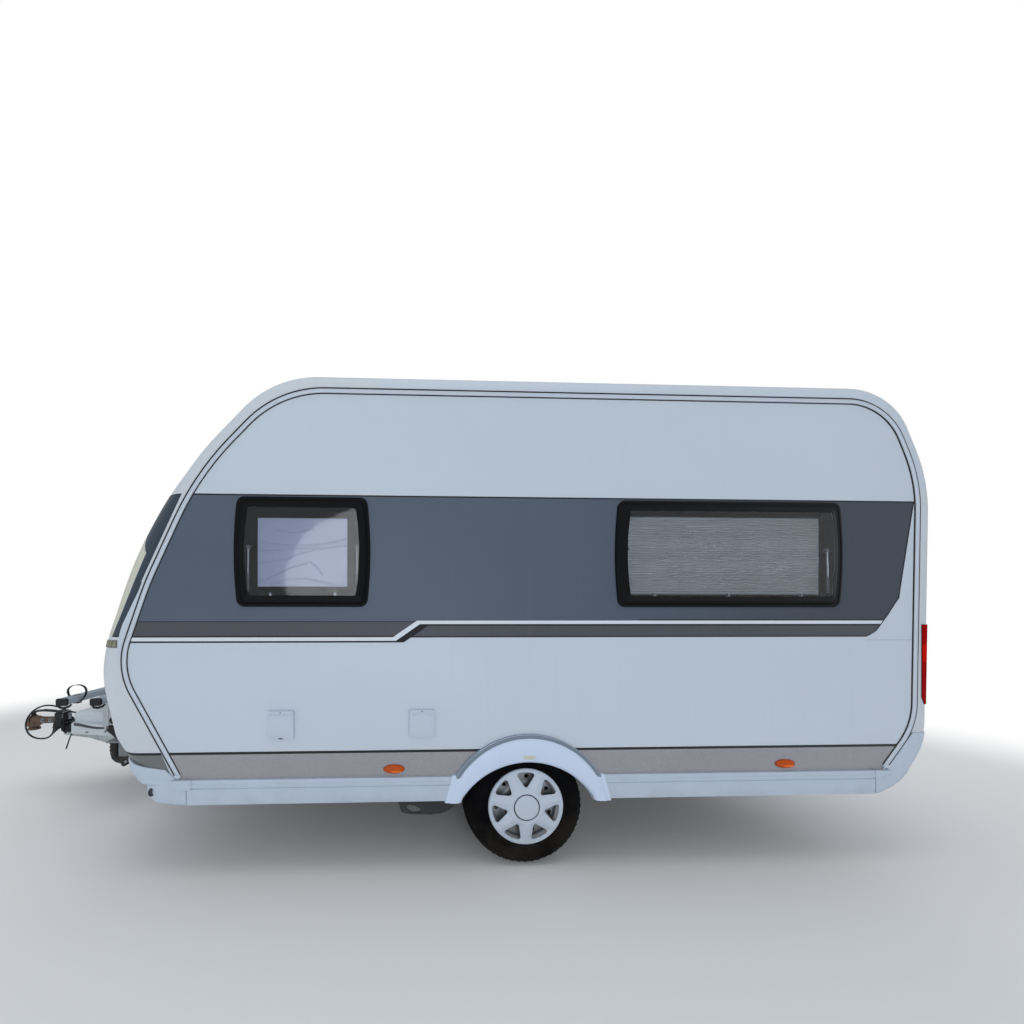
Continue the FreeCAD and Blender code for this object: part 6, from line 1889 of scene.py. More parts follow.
bracketSet = {"plate": [(-0.681, 0.368, 0), (-0.678, 0.345, 0.004), (-0.664, 0.300, 0.008),
                        (-0.620, 0.290, 0.02),
                        (-0.514, 0.286, 0.05), (-0.455, 0.291, 0.05), (-0.407, 0.309, 0.03),
                        (-0.384, 0.336, 0.015),
                        (-0.378, 0.368, 0)],
              "hole": [(-0.639, 0.333, 0.004), (-0.625, 0.338, 0.006), (-0.594, 0.334, 0.01),
                       (-0.567, 0.320, 0.008),
                       (-0.562, 0.306, 0.006), (-0.578, 0.298, 0.006), (-0.609, 0.301, 0.01),
                       (-0.631, 0.315, 0.008)]}


def makeBrackets():
    # jacking brackets: a pierced plate with a rolled foot, braced to the floor
    bm = bmesh.new()
    plate = roundedOutline(bracketSet["plate"], step=12)
    hole = roundedOutline(bracketSet["hole"], step=30)
    for side in sides:
        def placed(across, up, out):
            return Vector((along(across), side * (1.066 + out), up))
        addSlab(bm, plate, [hole], placed, -0.004, 0.004, 0)
        rim = [(row[0], row[1] + 0.002) for row in bracketSet["plate"][1:-1]]
        addTube(bm, [placed(*p, -0.012) for p in rim], 0.004, 8)
        for p, q in zip(rim, rim[1:]):
            addStrap(bm, [placed(*p, -0.006), placed(*q, -0.006)], 0.016, 0.003, (0, 1, 0))
        addBlock(bm, placed(-0.678, 0.362, -0.150), placed(-0.381, 0.3685, 0.004), 0.0015, 0)
        for across in (-0.650, -0.530, -0.410):
            addBlock(bm, placed(across - 0.003, 0.325, -0.070), placed(across + 0.003, 0.366, -0.003),
                     0.001, 0)
            addTurned(bm, [(0.368, 0.0), (0.368, 0.010), (0.360, 0.010), (0.358, 0.006), (0.358, 0.0)],
                      placed(across, 0, -0.110), "z", 6, 1)
    finishPiece("jacking_plates", bm, "caravan", [glossBlack, zinc], 30,
                ["jacking_brackets"])


makeBrackets()
print("ends made")

# drawbar and what stands on it
def spotAt(x, y, z):
    return Vector((along(x), y, z))


def blockAt(bm, low, high, bevel=0.002, index=0):
    addBlock(bm, spotAt(*low), spotAt(*high), bevel, index)


drawSet = {"start": -2.62, "run": 0.40, "height": 0.455, "share": 0.82, "cuts": (-2.62, -2.80, -2.96),
           "pale": -2.3}


def makeChassis():
    # the frame as made, its two long members drawn up towards the coupling
    bm = copyOf(nodes["chassis_frame"].data)
    for start in drawSet["cuts"]:
        cutAcross(bm, spotAt(start, 0, 0), (1, 0, 0))
    for vert in bm.verts:
        share = min(1.0, max(0.0, (along(drawSet["start"]) - vert.co.x) / drawSet["run"]))
        vert.co.z += (drawSet["height"] - vert.co.z) * share * drawSet["share"]
    paint([face for face in bm.faces if face.calc_center_median().x >= along(drawSet["pale"])], 1)
    finishPiece("frame_members", bm, "caravan", [paleZinc, zinc], 30, ["chassis_frame"])


coverSet = {"low": [(-3.100, 0.138), (-2.160, 0.304)], "slope": 0.1766,
            "rows": [(0.0, 0.0, 0.4575), (0.0, 0.0, 0.5290), (0.002, 0.002, 0.5345), (0.008, 0.007, 0.5385),
                     (0.020, 0.016, 0.5400)],
            "upper": [(-3.0915, 0.112), (-2.160, 0.160)],
            "upperRows": [(0.0, 0.0, 0.5330), (0.0, 0.0, 0.6000), (0.004, 0.003, 0.6085),
                          (0.014, 0.010, 0.6140),
                          (0.030, 0.024, 0.6165)]}


def tierRing(front, rear, ahead, beside, up, swell=0.0):
    # an outline that widens towards the nose, with a rounded front
    frontX, frontY = front
    rearX, rearY = rear
    frontX += ahead
    nearY, farY = frontY - beside, rearY - beside
    corner = 0.028
    half = [(rearX, farY)]
    half += [(rearX + (frontX + corner - rearX) * i / 10,
              farY + (nearY - farY) * i / 10 + swell * sin(pi * i / 10))
             for i in range(1, 11)]
    half += [(frontX + corner * (1 - sin(a)), nearY - corner * (1 - cos(a)))
             for a in (radians(90 * i / 6) for i in range(1, 7))]
    half += [(frontX, (nearY - corner) * (1 - i / 5)) for i in range(1, 5)]
    ring = half + [(frontX, 0.0)] + [(x, -y) for x, y in reversed(half)]
    return [spotAt(x, y, up) for x, y in ring]


def makeCover():
    bm = bmesh.new()
    for (front, rear), rows, swell in ((coverSet["low"], "rows", 0.006),
                                       (coverSet["upper"], "upperRows", 0.004)):
        addRings(bm, [tierRing(front, rear, *row, swell) for row in coverSet[rows]])
    (frontX, frontY), slope = coverSet["low"][0], coverSet["slope"]
    # dark recess along the step and a rib over it, both sides; the recess's dark colour is painted shade
    for side in sides:
        rings = []
        for i in range(13):
            share = i / 12
            x = -3.060 + 0.46 * share
            edge = frontY + (x - frontX) * slope + 0.006 * sin(pi * (x - frontX) / 0.94)
            deep = (0.016 * (1 - share) ** 0.7 + 0.003) / 2
            up = 0.5300 - 0.018 * sin(pi * min(1.0, share * 1.15)) ** 2
            rings.append([spotAt(x, side * (edge + out), up + rise * deep) for out, rise in
                          ((-0.010, -1), (0.0012, -1), (0.0018, 0), (0.0012, 1), (-0.010, 1))])
        addRings(bm, rings, 1)
        for x in (-2.95, -2.60):
            edge = frontY + (x - frontX) * slope + 0.005
            addPin(bm, spotAt(x, side * (edge - 0.0005), 0.478), side,
                   [(0.0, 0.0), (0.0, 0.0075), (0.0030, 0.0065), (0.0040, 0.0)], 16, 2)
    # moulded ribs over the upper step
    for y in (-0.030, 0.0, 0.030):
        rings = []
        for x, wide, high in ((-3.050, 0.004, 0.6155), (-3.040, 0.006, 0.6192), (-2.250, 0.006, 0.6192),
                              (-2.240, 0.004, 0.6155)):
            rings.append([spotAt(x, y - wide, 0.610), spotAt(x, y + wide, 0.610),
                          spotAt(x, y + wide * 0.6, high),
                          spotAt(x, y - wide * 0.6, high)])
        addRings(bm, rings, 0)
    # the lead's gland: a tapered boot in the front of the upper step
    boot = [(0.006, 0.0165), (0.0, 0.0165), (-0.002, 0.0130), (-0.010, 0.0126), (-0.012, 0.0112),
            (-0.020, 0.0108),
            (-0.022, 0.0096), (-0.030, 0.0092), (-0.032, 0.0082), (-0.044, 0.0068)]
    addTube(bm, [Vector(leadRoute[0]) + Vector((x, 0, 0)) for x, radius in boot], [row[1] for row in boot],
            16, 3)
    finishPiece("drawbar_shroud", bm, "caravan",
                [coverPlastic, shadowGap, zinc, blackRubber], 30,
                ["drawbar_cover"])


carrierSet = {"rails": [-2.590, -2.800], "reach": 0.585, "foot": 0.771,
              "straps": {-2.800: [-0.455, 0.10, 0.43], -2.590: [-0.30, 0.18, 0.44]}}
railShape = [(-0.030, 0.0), (0.030, 0.0), (0.030, 0.035), (0.0275, 0.040), (0.020, 0.040), (0.018, 0.0385),
             (0.016, 0.0335), (0.007, 0.0290), (-0.007, 0.0290), (-0.016, 0.0335), (-0.018, 0.0385),
             (-0.020, 0.040), (-0.0275, 0.040), (-0.030, 0.035)]


def makeCarrier():
    bm = bmesh.new()
    reach, foot = carrierSet["reach"], carrierSet["foot"]
    for middle in carrierSet["rails"]:
        addRings(bm, [[spotAt(middle + x, y * reach, foot + z) for x, z in railShape] for y in (-1, -0.5,
                                                                                                0, 0.5, 1)])
        for side in sides:
            # end cap: a moulded cup with a turned-down lip
            outline = roundedOutline([(middle - 0.036, foot - 0.006, 0.012),
                                      (middle + 0.036, foot - 0.006, 0.012),
                                      (middle + 0.036, foot + 0.042, 0.010),
                                      (middle - 0.036, foot + 0.042, 0.010)])
            centre = Vector((middle, foot + 0.018))
            rings = []
            for share, out in ((0.55, 0.001), (0.86, 0.0025), (0.97, -0.001), (0.97, -0.014),
                               (0.90, -0.018)):
                rings.append([spotAt(p.x, side * (reach + out),
                                     p.y) for p in (centre.lerp(q, share) for q in outline)])
            addRings(bm, rings, 1)
            hook = [(-0.030, -0.012, -0.002, 0.005), (-0.012, -0.008, -0.016, 0.0075),
                    (0.010, -0.010, -0.020, 0.008),
                    (0.034, -0.018, -0.012, 0.0075), (0.046, -0.026, 0.000, 0.005)]
            addTube(bm, [spotAt(middle + x, side * (reach + y), foot + z) for x, y, z, radius in hook],
                    [row[3] for row in hook], 10, 1)
        for across in carrierSet["straps"][middle]:
            # wheel strap: a stiff loop standing on the rail, with its buckle
            points = []
            for i in range(33):
                angle = radians(-125 + 360 * i / 32)
                points.append(spotAt(middle + 0.058 * cos(angle), across + 0.010 * sin(angle * 2),
                                     foot + 0.052 + 0.056 * sin(angle)))
            addStrap(bm, points, 0.020, 0.0032, (0, 1, 0), 1)
            blockAt(bm, (middle - 0.020, across - 0.016, foot - 0.014),
                    (middle + 0.020, across + 0.016, foot + 0.003),
                    0.003, 1)
            ridge = bmesh.new()
            addBlock(ridge, (-0.0015, -0.009, 0.0), (0.0015, 0.009, 0.0022), 0.0006, 0, None, 1)
            teeth = copied(rowTree, ridge, blackRubber, Count=7, Step=(0.005, 0, 0),
                           Start=tuple(spotAt(middle - 0.015, across, foot + 0.0405)))
            addMesh(bm, teeth, 1)
    # cross bars, their feet and the braces down to the frame
    bolts = ([(0.7800, 0.0), (0.7800, 0.006), (0.7765, 0.0075), (0.7765, 0.0)],
             [(0.7460, 0.0), (0.7460, 0.0075), (0.7400, 0.0075), (0.7400, 0.0)])
    for y in (-0.110, 0.110):
        blockAt(bm, (-2.860, y - 0.015, 0.746), (-2.535, y + 0.015, 0.7712), 0.003, 2)
        blockAt(bm, (-2.710, y - 0.015, 0.535), (-2.680, y + 0.015, 0.7480), 0.003, 2)
        blockAt(bm, (-2.730, y - 0.022, 0.6120), (-2.660, y + 0.022, 0.6180), 0.001, 2)
        for middle in carrierSet["rails"]:
            for bolt in bolts:
                addTurned(bm, bolt, spotAt(middle, y, 0), "z", 6, 3)
    for side in sides:
        rings = []
        for z, lean, wide, y in ((0.7712, 0.0, 0.022, 0.246), (0.760, 0.0, 0.022, 0.246),
                                 (0.620, 0.0, 0.0215, 0.246),
                                 (0.550, 0.002, 0.021, 0.246), (0.515, 0.012, 0.020, 0.240),
                                 (0.485, 0.030, 0.018, 0.228),
                                 (0.470, 0.050, 0.016, 0.216)):
            rings.append([spotAt(-2.758 + lean + a * wide, side * (y + b * 0.004), z)
                          for a, b in ((-1, -1), (1, -1), (1, 1), (-1, 1))])
        addRings(bm, rings, 4)
        blockAt(bm, (-2.800, side * 0.100, 0.7590), (-2.716, side * 0.2520, 0.7712), 0.002, 4)
        for z in (0.745, 0.505):
            addPin(bm, spotAt(-2.757, side * 0.249, z), side,
                   [(0.0, 0.0), (0.0, 0.0085), (0.006, 0.0085), (0.007, 0.0)],
                   6, 3)
    finishPiece("bicycle_rack", bm, "caravan",
                [rackMetal, blackRubber, paleZinc, zinc, silverPost], 30,
                ["bicycle_carrier"])


def makeDrawbarParts():
    bm = bmesh.new()
    # black lever beside the near frame member, with its pin
    shape = roundedOutline([(-2.694, 0.566, 0.010), (-2.668, 0.572, 0.012), (-2.606, 0.538, 0.03),
                            (-2.560, 0.476, 0.006), (-2.622, 0.480, 0.02), (-2.690, 0.540, 0.014)], step=15)

    def onLever(across, up, out):
        return spotAt(across, -(0.330 + out), up)

    addDome(bm, onLever, shape, [(0.96, -0.014), (1.0, -0.011), (1.0, 0.009), (0.95, 0.0125), (0.7, 0.0140),
                                 (0.0, 0.0145)], 0)
    addPin(bm, spotAt(-2.678, -0.343, 0.559), -1, [(0.0, 0.0), (0.0, 0.006), (0.004, 0.006), (0.005, 0.0)],
           12, 1)
    addPin(bm, spotAt(-2.598, -0.344, 0.500), -1, [(0.0, 0.0), (0.0, 0.007), (0.004, 0.006), (0.005, 0.0)],
           6, 1)
    addTube(bm, [spotAt(-2.598, -0.325, 0.500), spotAt(-2.598, -0.255, 0.470),
                 spotAt(-2.598, -0.235, 0.440)], 0.010,
            12, 2)
    # winding knob and its bent stem
    centre = spotAt(-2.672, -0.290, 0.598)
    addTurned(bm, [(0.020, 0.0), (0.020, 0.010), (0.014, 0.021), (0.002, 0.0250), (-0.010, 0.0250),
                   (-0.017, 0.020),
                   (-0.019, 0.008), (-0.017, 0.0)], centre, "y", 24, 0)
    addTube(bm, [spotAt(-2.672, -0.280, 0.598), spotAt(-2.666, -0.262, 0.575),
                 spotAt(-2.650, -0.255, 0.550),
                 spotAt(-2.625, -0.250, 0.538), spotAt(-2.590, -0.240, 0.535)], 0.0065, 10, 0)
    # bent guard tube under the near member
    path = [(-2.660, -0.300, 0.452), (-2.660, -0.300, 0.400), (-2.659, -0.300, 0.365),
            (-2.652, -0.300, 0.342),
            (-2.636, -0.300, 0.327), (-2.612, -0.300, 0.320), (-2.580, -0.300, 0.322),
            (-2.545, -0.300, 0.332),
            (-2.520, -0.295, 0.345)]
    addTube(bm, [spotAt(*p) for p in path], 0.0265, 18, 3)
    for z in (0.440, 0.415, 0.390):
        ring = [(z + 0.004, 0.0265), (z + 0.004, 0.0295), (z - 0.004, 0.0295), (z - 0.004, 0.0265)]
        addTurned(bm, ring, spotAt(-2.660, -0.300, 0), "z", 24, 3, closedProfile=True)
    blockAt(bm, (-2.700, -0.330, 0.446), (-2.560, -0.180, 0.4580), 0.002, 2)
    blockAt(bm, (-2.625, -0.315, 0.345), (-2.560, -0.285, 0.447), 0.003, 2)
    addTube(bm, [spotAt(-2.578, -0.330, 0.300), spotAt(-2.578, -0.270, 0.300)], 0.019, 14, 3)
    addTube(bm, [spotAt(-2.560, -0.338, 0.318), spotAt(-2.560, -0.262, 0.318)], 0.010, 12, 1)
    # loose end of the cover's strap
    tail = [(-3.100, -0.098, 0.475), (-3.110, -0.101, 0.450), (-3.124, -0.103, 0.415),
            (-3.136, -0.102, 0.380),
            (-3.147, -0.100, 0.350), (-3.153, -0.099, 0.332)]
    addStrap(bm, [spotAt(*p) for p in tail], 0.016, 0.0016, (0, 1, 0), 3)
    finishPiece("drawbar_fittings", bm, "caravan",
                [blackSteel, bareMetal, zinc, blackRubber], 30)


def makeCoupling():
    bm = bmesh.new()
    # socket housing: a bell over the ball, drawn back into the shaft
    rings = []
    for x, half, low, high in ((-3.520, 0.012, 0.506, 0.530), (-3.517, 0.026, 0.490, 0.545),
                               (-3.508, 0.037, 0.476, 0.557),
                               (-3.490, 0.043, 0.468, 0.564), (-3.468, 0.0435, 0.466, 0.565),
                               (-3.448, 0.041, 0.471, 0.565),
                               (-3.430, 0.035, 0.486, 0.561), (-3.412, 0.029, 0.500, 0.556),
                               (-3.380, 0.0265, 0.503, 0.555),
                               (-3.300, 0.0260, 0.5035, 0.5545), (-3.205, 0.0260, 0.5035, 0.5545)):
        middle, tall = (low + high) / 2, (high - low) / 2
        rings.append([spotAt(x, half * cos(a), middle + tall * sin(a)) for a in turns(28)])
    addRings(bm, rings, 0)
    skirt = [(0.4700, 0.028), (0.4700, 0.0380), (0.4580, 0.0405), (0.4565, 0.0380), (0.4565, 0.0260),
             (0.4760, 0.0253)]
    addTurned(bm, skirt, spotAt(-3.472, 0, 0), "z", 36, 0, closedProfile=True)
    # clamp bolts across the shaft, and their washers
    bolt = ((0.0255, 24, [(0.0, 0.0), (0.0, 0.017), (0.003, 0.017), (0.003, 0.0)]),
            (0.0285, 6, [(0.0, 0.0), (0.0, 0.0115), (0.009, 0.0115), (0.0105, 0.0090), (0.0105, 0.0)]),
            (0.0380, 12, [(0.0, 0.0), (0.0, 0.0055), (0.007, 0.0050), (0.008, 0.0)]))
    for x in (-3.385, -3.325):
        for side in sides:
            for out, segments, rows in bolt:
                addPin(bm, spotAt(x, side * out, 0.530), side, rows, segments, 1)
    # lifting handle, a forged grip over the head
    grip = [(-3.462, 0.560, 0.018), (-3.478, 0.575, 0.020), (-3.470, 0.592, 0.020), (-3.440, 0.601, 0.018),
            (-3.395, 0.603, 0.016), (-3.345, 0.600, 0.016), (-3.300, 0.595, 0.017), (-3.262, 0.592, 0.012)]
    path = [spotAt(x, 0.0, z) for x, z, wide in grip]
    across = Vector((0, 1, 0))
    rings = []
    for number, (here, row) in enumerate(zip(path, grip)):
        up = runAt(path, number).cross(across).normalized()
        rings.append([here + across * (row[2] * cos(a)) + up * (0.0085 * sin(a)) for a in turns(16)])
    addRings(bm, rings, 2)
    ridge = bmesh.new()
    addBlock(ridge, (-0.0022, -0.0150, -0.0015), (0.0022, 0.0150, 0.0020), 0.001, 0, None, 1)
    teeth = copied(rowTree, ridge, leverSteel, Count=9, Step=(0.0105, 0, -0.0009),
                   Start=tuple(spotAt(-3.395, 0, 0.6105)))
    addMesh(bm, teeth, 2)
    addTube(bm, [spotAt(-3.470, -0.020, 0.575), spotAt(-3.478, -0.036, 0.545),
                 spotAt(-3.470, -0.043, 0.520)], 0.006, 10, 2)
    blockAt(bm, (-3.500, -0.0445, 0.496), (-3.440, -0.0390, 0.530), 0.002, 0)
    # wear indicator pin
    addPin(bm, spotAt(-3.478, -0.0425, 0.512), -1,
           [(0.0, 0.0), (0.0, 0.0080), (0.004, 0.0075), (0.005, 0.0)], 14, 3)
    finishPiece("coupling_body", bm, "caravan", [jawSteel, bareMetal, leverSteel, darkAmber],
                30,
                ["coupling_head"])
    bm = bmesh.new()
    profile = [(-0.100, 0.0), (-0.100, 0.0300), (-0.094, 0.0310)]
    for number in range(7):
        start = -0.090 + number * 0.0125
        wide = 0.0460 + number * 0.0002
        profile += [(start, 0.0350), (start + 0.0035, wide), (start + 0.0062, wide),
                    (start + 0.0095, 0.0360)]
    profile += [(-0.002, 0.0460), (0.0, 0.0460), (0.0, 0.0)]
    addTurned(bm, profile, spotAt(-3.200, 0.0, 0.510), "x", 40)
    ring = [(-0.097, 0.0300), (-0.097, 0.0325), (-0.091, 0.0325), (-0.091, 0.0300)]
    addTurned(bm, ring, spotAt(-3.200, 0.0, 0.510), "x", 40, 1, closedProfile=True)
    finishPiece("bellows_boot", bm, "caravan", [blackRubber, bareMetal], 40,
                ["overrun_bellows"])


def makePlug():
    # the lead's plug, parked in its holder beside the overrun
    bm = bmesh.new()
    path = [(-3.2475, 0.4560, 0.0085), (-3.2440, 0.4620, 0.0098), (-3.2395, 0.4690, 0.0100),
            (-3.2390, 0.4700, 0.0122),
            (-3.2340, 0.4780, 0.0128), (-3.2335, 0.4790, 0.0160), (-3.2280, 0.4880, 0.0180),
            (-3.2255, 0.4930, 0.0235),
            (-3.2160, 0.5140, 0.0250), (-3.2060, 0.5380, 0.0255), (-3.2010, 0.5500, 0.0255),
            (-3.2005, 0.5510, 0.0285),
            (-3.1960, 0.5620, 0.0285), (-3.1955, 0.5630, 0.0250), (-3.1900, 0.5770, 0.0250)]
    addTube(bm, [spotAt(x, -0.100, z) for x, z, radius in path], [row[2] for row in path], 28)
    rib = bmesh.new()
    addBlock(rib, (-0.0014, 0.0235, -0.016), (0.0014, 0.0270, 0.016), 0.0006, 0, None, 1)
    rib.transform(Matrix.Rotation(radians(90), 4, "X"))
    ribs = copied(ringTree, rib, blackRubber, Count=18)
    lean = Vector((0.010, 0, 0.024))
    turn = lean.to_track_quat("Y", "Z").to_matrix().to_4x4()
    addMesh(bm, ribs, 0, Matrix.Translation(spotAt(-3.211, -0.100, 0.526)) @ turn)
    # holder with its hinged flap
    blockAt(bm, (-3.214, -0.134, 0.572), (-3.140, -0.066, 0.612), 0.006, 1)
    blockAt(bm, (-3.206, -0.130, 0.610), (-3.150, -0.070, 0.628), 0.005, 0)
    blockAt(bm, (-3.160, -0.100, 0.560), (-3.120, -0.085, 0.606), 0.002, 2)
    addTube(bm, [spotAt(-3.148, -0.132, 0.618), spotAt(-3.148, -0.068, 0.618)], 0.005, 12, 2)
    for z in (0.584, 0.600):
        addPin(bm, spotAt(-3.150, -0.134, z), -1,
               [(0.0, 0.0), (0.0, 0.0040), (0.003, 0.0035), (0.0035, 0.0)], 10, 2)
    # folded strap packed beside the plug
    for x, z in ((-3.150, 0.470), (-3.158, 0.476), (-3.166, 0.482)):
        addStrap(bm, [spotAt(x, -0.118, z + 0.10), spotAt(x - 0.004, -0.120, z + 0.05),
                      spotAt(x + 0.002, -0.120, z),
                      spotAt(x + 0.012, -0.116, z - 0.010)], 0.020, 0.004, (0, 1, 0), 0)
    finishPiece("plug_and_holder", bm, "caravan", [blackRubber, blackSteel, zinc], 30,
                ["cable_plug"])


def makeBrakeLever():
    bm = bmesh.new()
    low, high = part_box("handbrake_lever")
    middle = (low + high) / 2
    section = [(-0.004, -0.013), (0.004, -0.013), (0.004, 0.013), (-0.004, 0.013)]
    rings = [[Vector((x, middle.y + a, middle.z + b * share)) for a, b in section]
             for x, share in ((high.x - 0.002, 0.8), (high.x - 0.012, 1.25), (high.x - 0.05, 1.1),
                              (low.x + 0.11, 0.8),
                              (low.x + 0.004, 0.7))]
    addRings(bm, rings, 0)
    grip = [low.x, low.x + 0.003, low.x + 0.008]
    radii = [0.006, 0.0125, 0.0140]
    for number in range(6):
        start = low.x + 0.012 + number * 0.017
        grip += [start, start + 0.005, start + 0.012]
        radii += [0.0138, 0.0125, 0.0138]
    grip += [low.x + 0.116, low.x + 0.120]
    radii += [0.0140, 0.0090]
    addTube(bm, [Vector((x, middle.y, middle.z)) for x in grip], radii, 20, 1)
    addTurned(bm, [(-0.014, 0.0), (-0.014, 0.009), (-0.008, 0.0105), (0.008, 0.0105), (0.014, 0.009),
                   (0.014, 0.0)],
              (high.x - 0.020, middle.y, middle.z), "y", 20, 0)
    finishPiece("brake_lever_bar", bm, "brake_lever", [blackSteel, blackRubber], 30,
                ["handbrake_lever"])


makeChassis()
makeCover()
makeCarrier()
makeDrawbarParts()
makeCoupling()
makePlug()
makeBrakeLever()
print("drawbar made")

# door, grilles, lids and handles
doorSet = {"window": (0.630, 0.970, 1.560, 2.000),
           "border": [(-0.022, 0.0), (-0.022, 0.0035), (-0.019, 0.0062),
                                                               (-0.004, 0.0068), (0.002, 0.0048),
                                                               (0.006, 0.0015),
                                                               (0.0065, -0.0080), (0.0, -0.0080),
                                                               (-0.001, 0.0)],
           "handle": (1.058, 1.215), "lines": (0.560, 0.960)}


def makeDoorParts():
    placed = onSide(1)
    left, right, foot, head = doorSet["window"]
    bm = bmesh.new()
    opening = roundedBox(left, right, foot, head, 0.058)
    addBorder(bm, placed, partial(inset, opening), doorSet["border"])
    pane = [(1.0, -0.0245), (1.0, -0.0050), (0.97, -0.0030), (0.6, -0.0022), (0.0, -0.0020)]
    addDome(bm, placed, inset(opening, 0.0005), pane, 1)
    finishPiece("door_pane", bm, "door", [paneBorder, darkPane], 30, ["door_window"])
    bm = bmesh.new()
    across, up = doorSet["handle"]
    plate = roundedBox(across - 0.030, across + 0.030, up - 0.085, up + 0.085, 0.014)
    addDome(bm, placed, plate, [(1.0, 0.0), (1.0, 0.0040), (0.93, 0.0065), (0.5, 0.0070), (0.0, 0.0070)])
    grip = [(0.0, 0.010, 0.0075), (0.006, 0.0165, 0.0085), (0.020, 0.0215, 0.0090), (0.060, 0.0235, 0.0085),
            (0.100, 0.0215, 0.0090), (0.114, 0.0165, 0.0085), (0.120, 0.010, 0.0075)]
    addTube(bm, [placed(across + 0.004, up - 0.060 + z, out) for z, out, radius in grip],
            [row[2] for row in grip], 16)
    addPin(bm, (along(across - 0.014), wallY, up + 0.070), 1,
           [(0.006, 0.0), (0.006, 0.0095), (0.0095, 0.0090), (0.0100, 0.0)], 24, 1)
    addBlock(bm, placed(across - 0.0150, up + 0.0645, 0.0098), placed(across - 0.0130, up + 0.0755, 0.0104),
             0.0003, 2)
    # moulded lines on the leaf
    for low in doorSet["lines"]:
        addBlock(bm, placed(0.520, low, -0.0005), placed(1.080, low + 0.003, 0.0015), 0.0006)
    finishPiece("door_handle", bm, "door", [greyHandle, bareMetal, shadowGap], 30)
    # the frame round the door hole, and a rain strip above it
    bm = bmesh.new()
    hole = roundedOutline([(0.478, 0.504, 0.03), (1.122, 0.504, 0.03), (1.122, 2.248, 0.09),
                           (0.478, 2.248, 0.09)])
    addBorder(bm, placed, partial(inset, hole),
              [(-0.026, 0.0), (-0.026, 0.0042), (-0.022, 0.0070), (-0.006, 0.0075),
                                 (-0.0015, 0.0060), (-0.001, 0.0005)])
    addBlock(bm, placed(0.440, 2.282, 0.0), placed(1.160, 2.294, 0.0145), 0.003)
    for start in (0.446, 1.154):
        addPin(bm, placed(start, 2.286, 0), 1, [(0.0, 0.0), (0.0, 0.010), (0.0130, 0.0085), (0.0135, 0.0)],
               20)
    # awning lamp beside the door
    lamp = roundedBox(1.180, 1.310, 2.180, 2.245, 0.014)
    addDome(bm, placed, lamp, [(1.0, 0.0), (1.0, 0.010), (0.95, 0.013), (0.9, 0.0135), (0.0, 0.0135)])
    lens = [(1.0, 0.012), (1.0, 0.020), (0.93, 0.0255), (0.6, 0.0280), (0.0, 0.0285)]
    addDome(bm, placed, inset(lamp, 0.008), lens, 1)
    finishPiece("door_surround", bm, "caravan", [trimPlastic, clearLens], 30)


def makeGrilles():
    placed = onSide(1)
    bm = bmesh.new()
    for foot in (0.800, 1.260):
        line, raised, opening, back = [roundedBox(0.060 + depth, 0.430 - depth, foot + depth,
                                                  foot + 0.200 - depth, round)
                                       for depth,
                                       round in ((0, 0.012), (0.010, 0.010), (0.022, 0.006),
                                                 (0.020, 0.006))]
        addSlab(bm, line, [opening], placed, 0.0, 0.0105, 0)
        addSlab(bm, raised, [back], placed, 0.010, 0.0122, 0)
        # a back plate behind the louvres in the dark colour: painted shade inside the vent
        addSlab(bm, back, [], placed, 0.0, 0.0012, 1)
        louvre = bmesh.new()
        section = [(0.0008, 0.0), (0.0100, -0.0070), (0.0112, -0.0060), (0.0112, -0.0045), (0.0030, 0.0040),
                   (0.0008, 0.0045)]
        addRings(louvre, [[Vector((share * 0.1635, out, up)) for out, up in section] for share in (-1,
                                                                                                   -0.33,
                                                                                                   0.33,
                                                                                                   1)])
        louvres = copied(rowTree, louvre, trimPlastic, Count=11, Step=(0, 0, 0.0142),
                         Start=tuple(placed(0.245, foot + 0.0300, 0.0)))
        addMesh(bm, louvres, 0)
        for across in (0.163, 0.327):
            addBlock(bm, placed(across - 0.0025, foot + 0.021, 0.001),
                     placed(across + 0.0025, foot + 0.179, 0.0105),
                     0.0006)
        for across in (0.071, 0.419):
            addPin(bm, placed(across, foot + 0.100, 0), 1,
                   [(0.011, 0.0), (0.011, 0.0042), (0.0138, 0.0036), (0.014, 0.0)], 14, 2)
    finishPiece("fridge_grilles", bm, "caravan", [trimPlastic, shadowGap, greyHandle], 30,
                ["fridge_vents"])


square = ((-1, -1), (1, -1), (1, 1), (-1, 1))


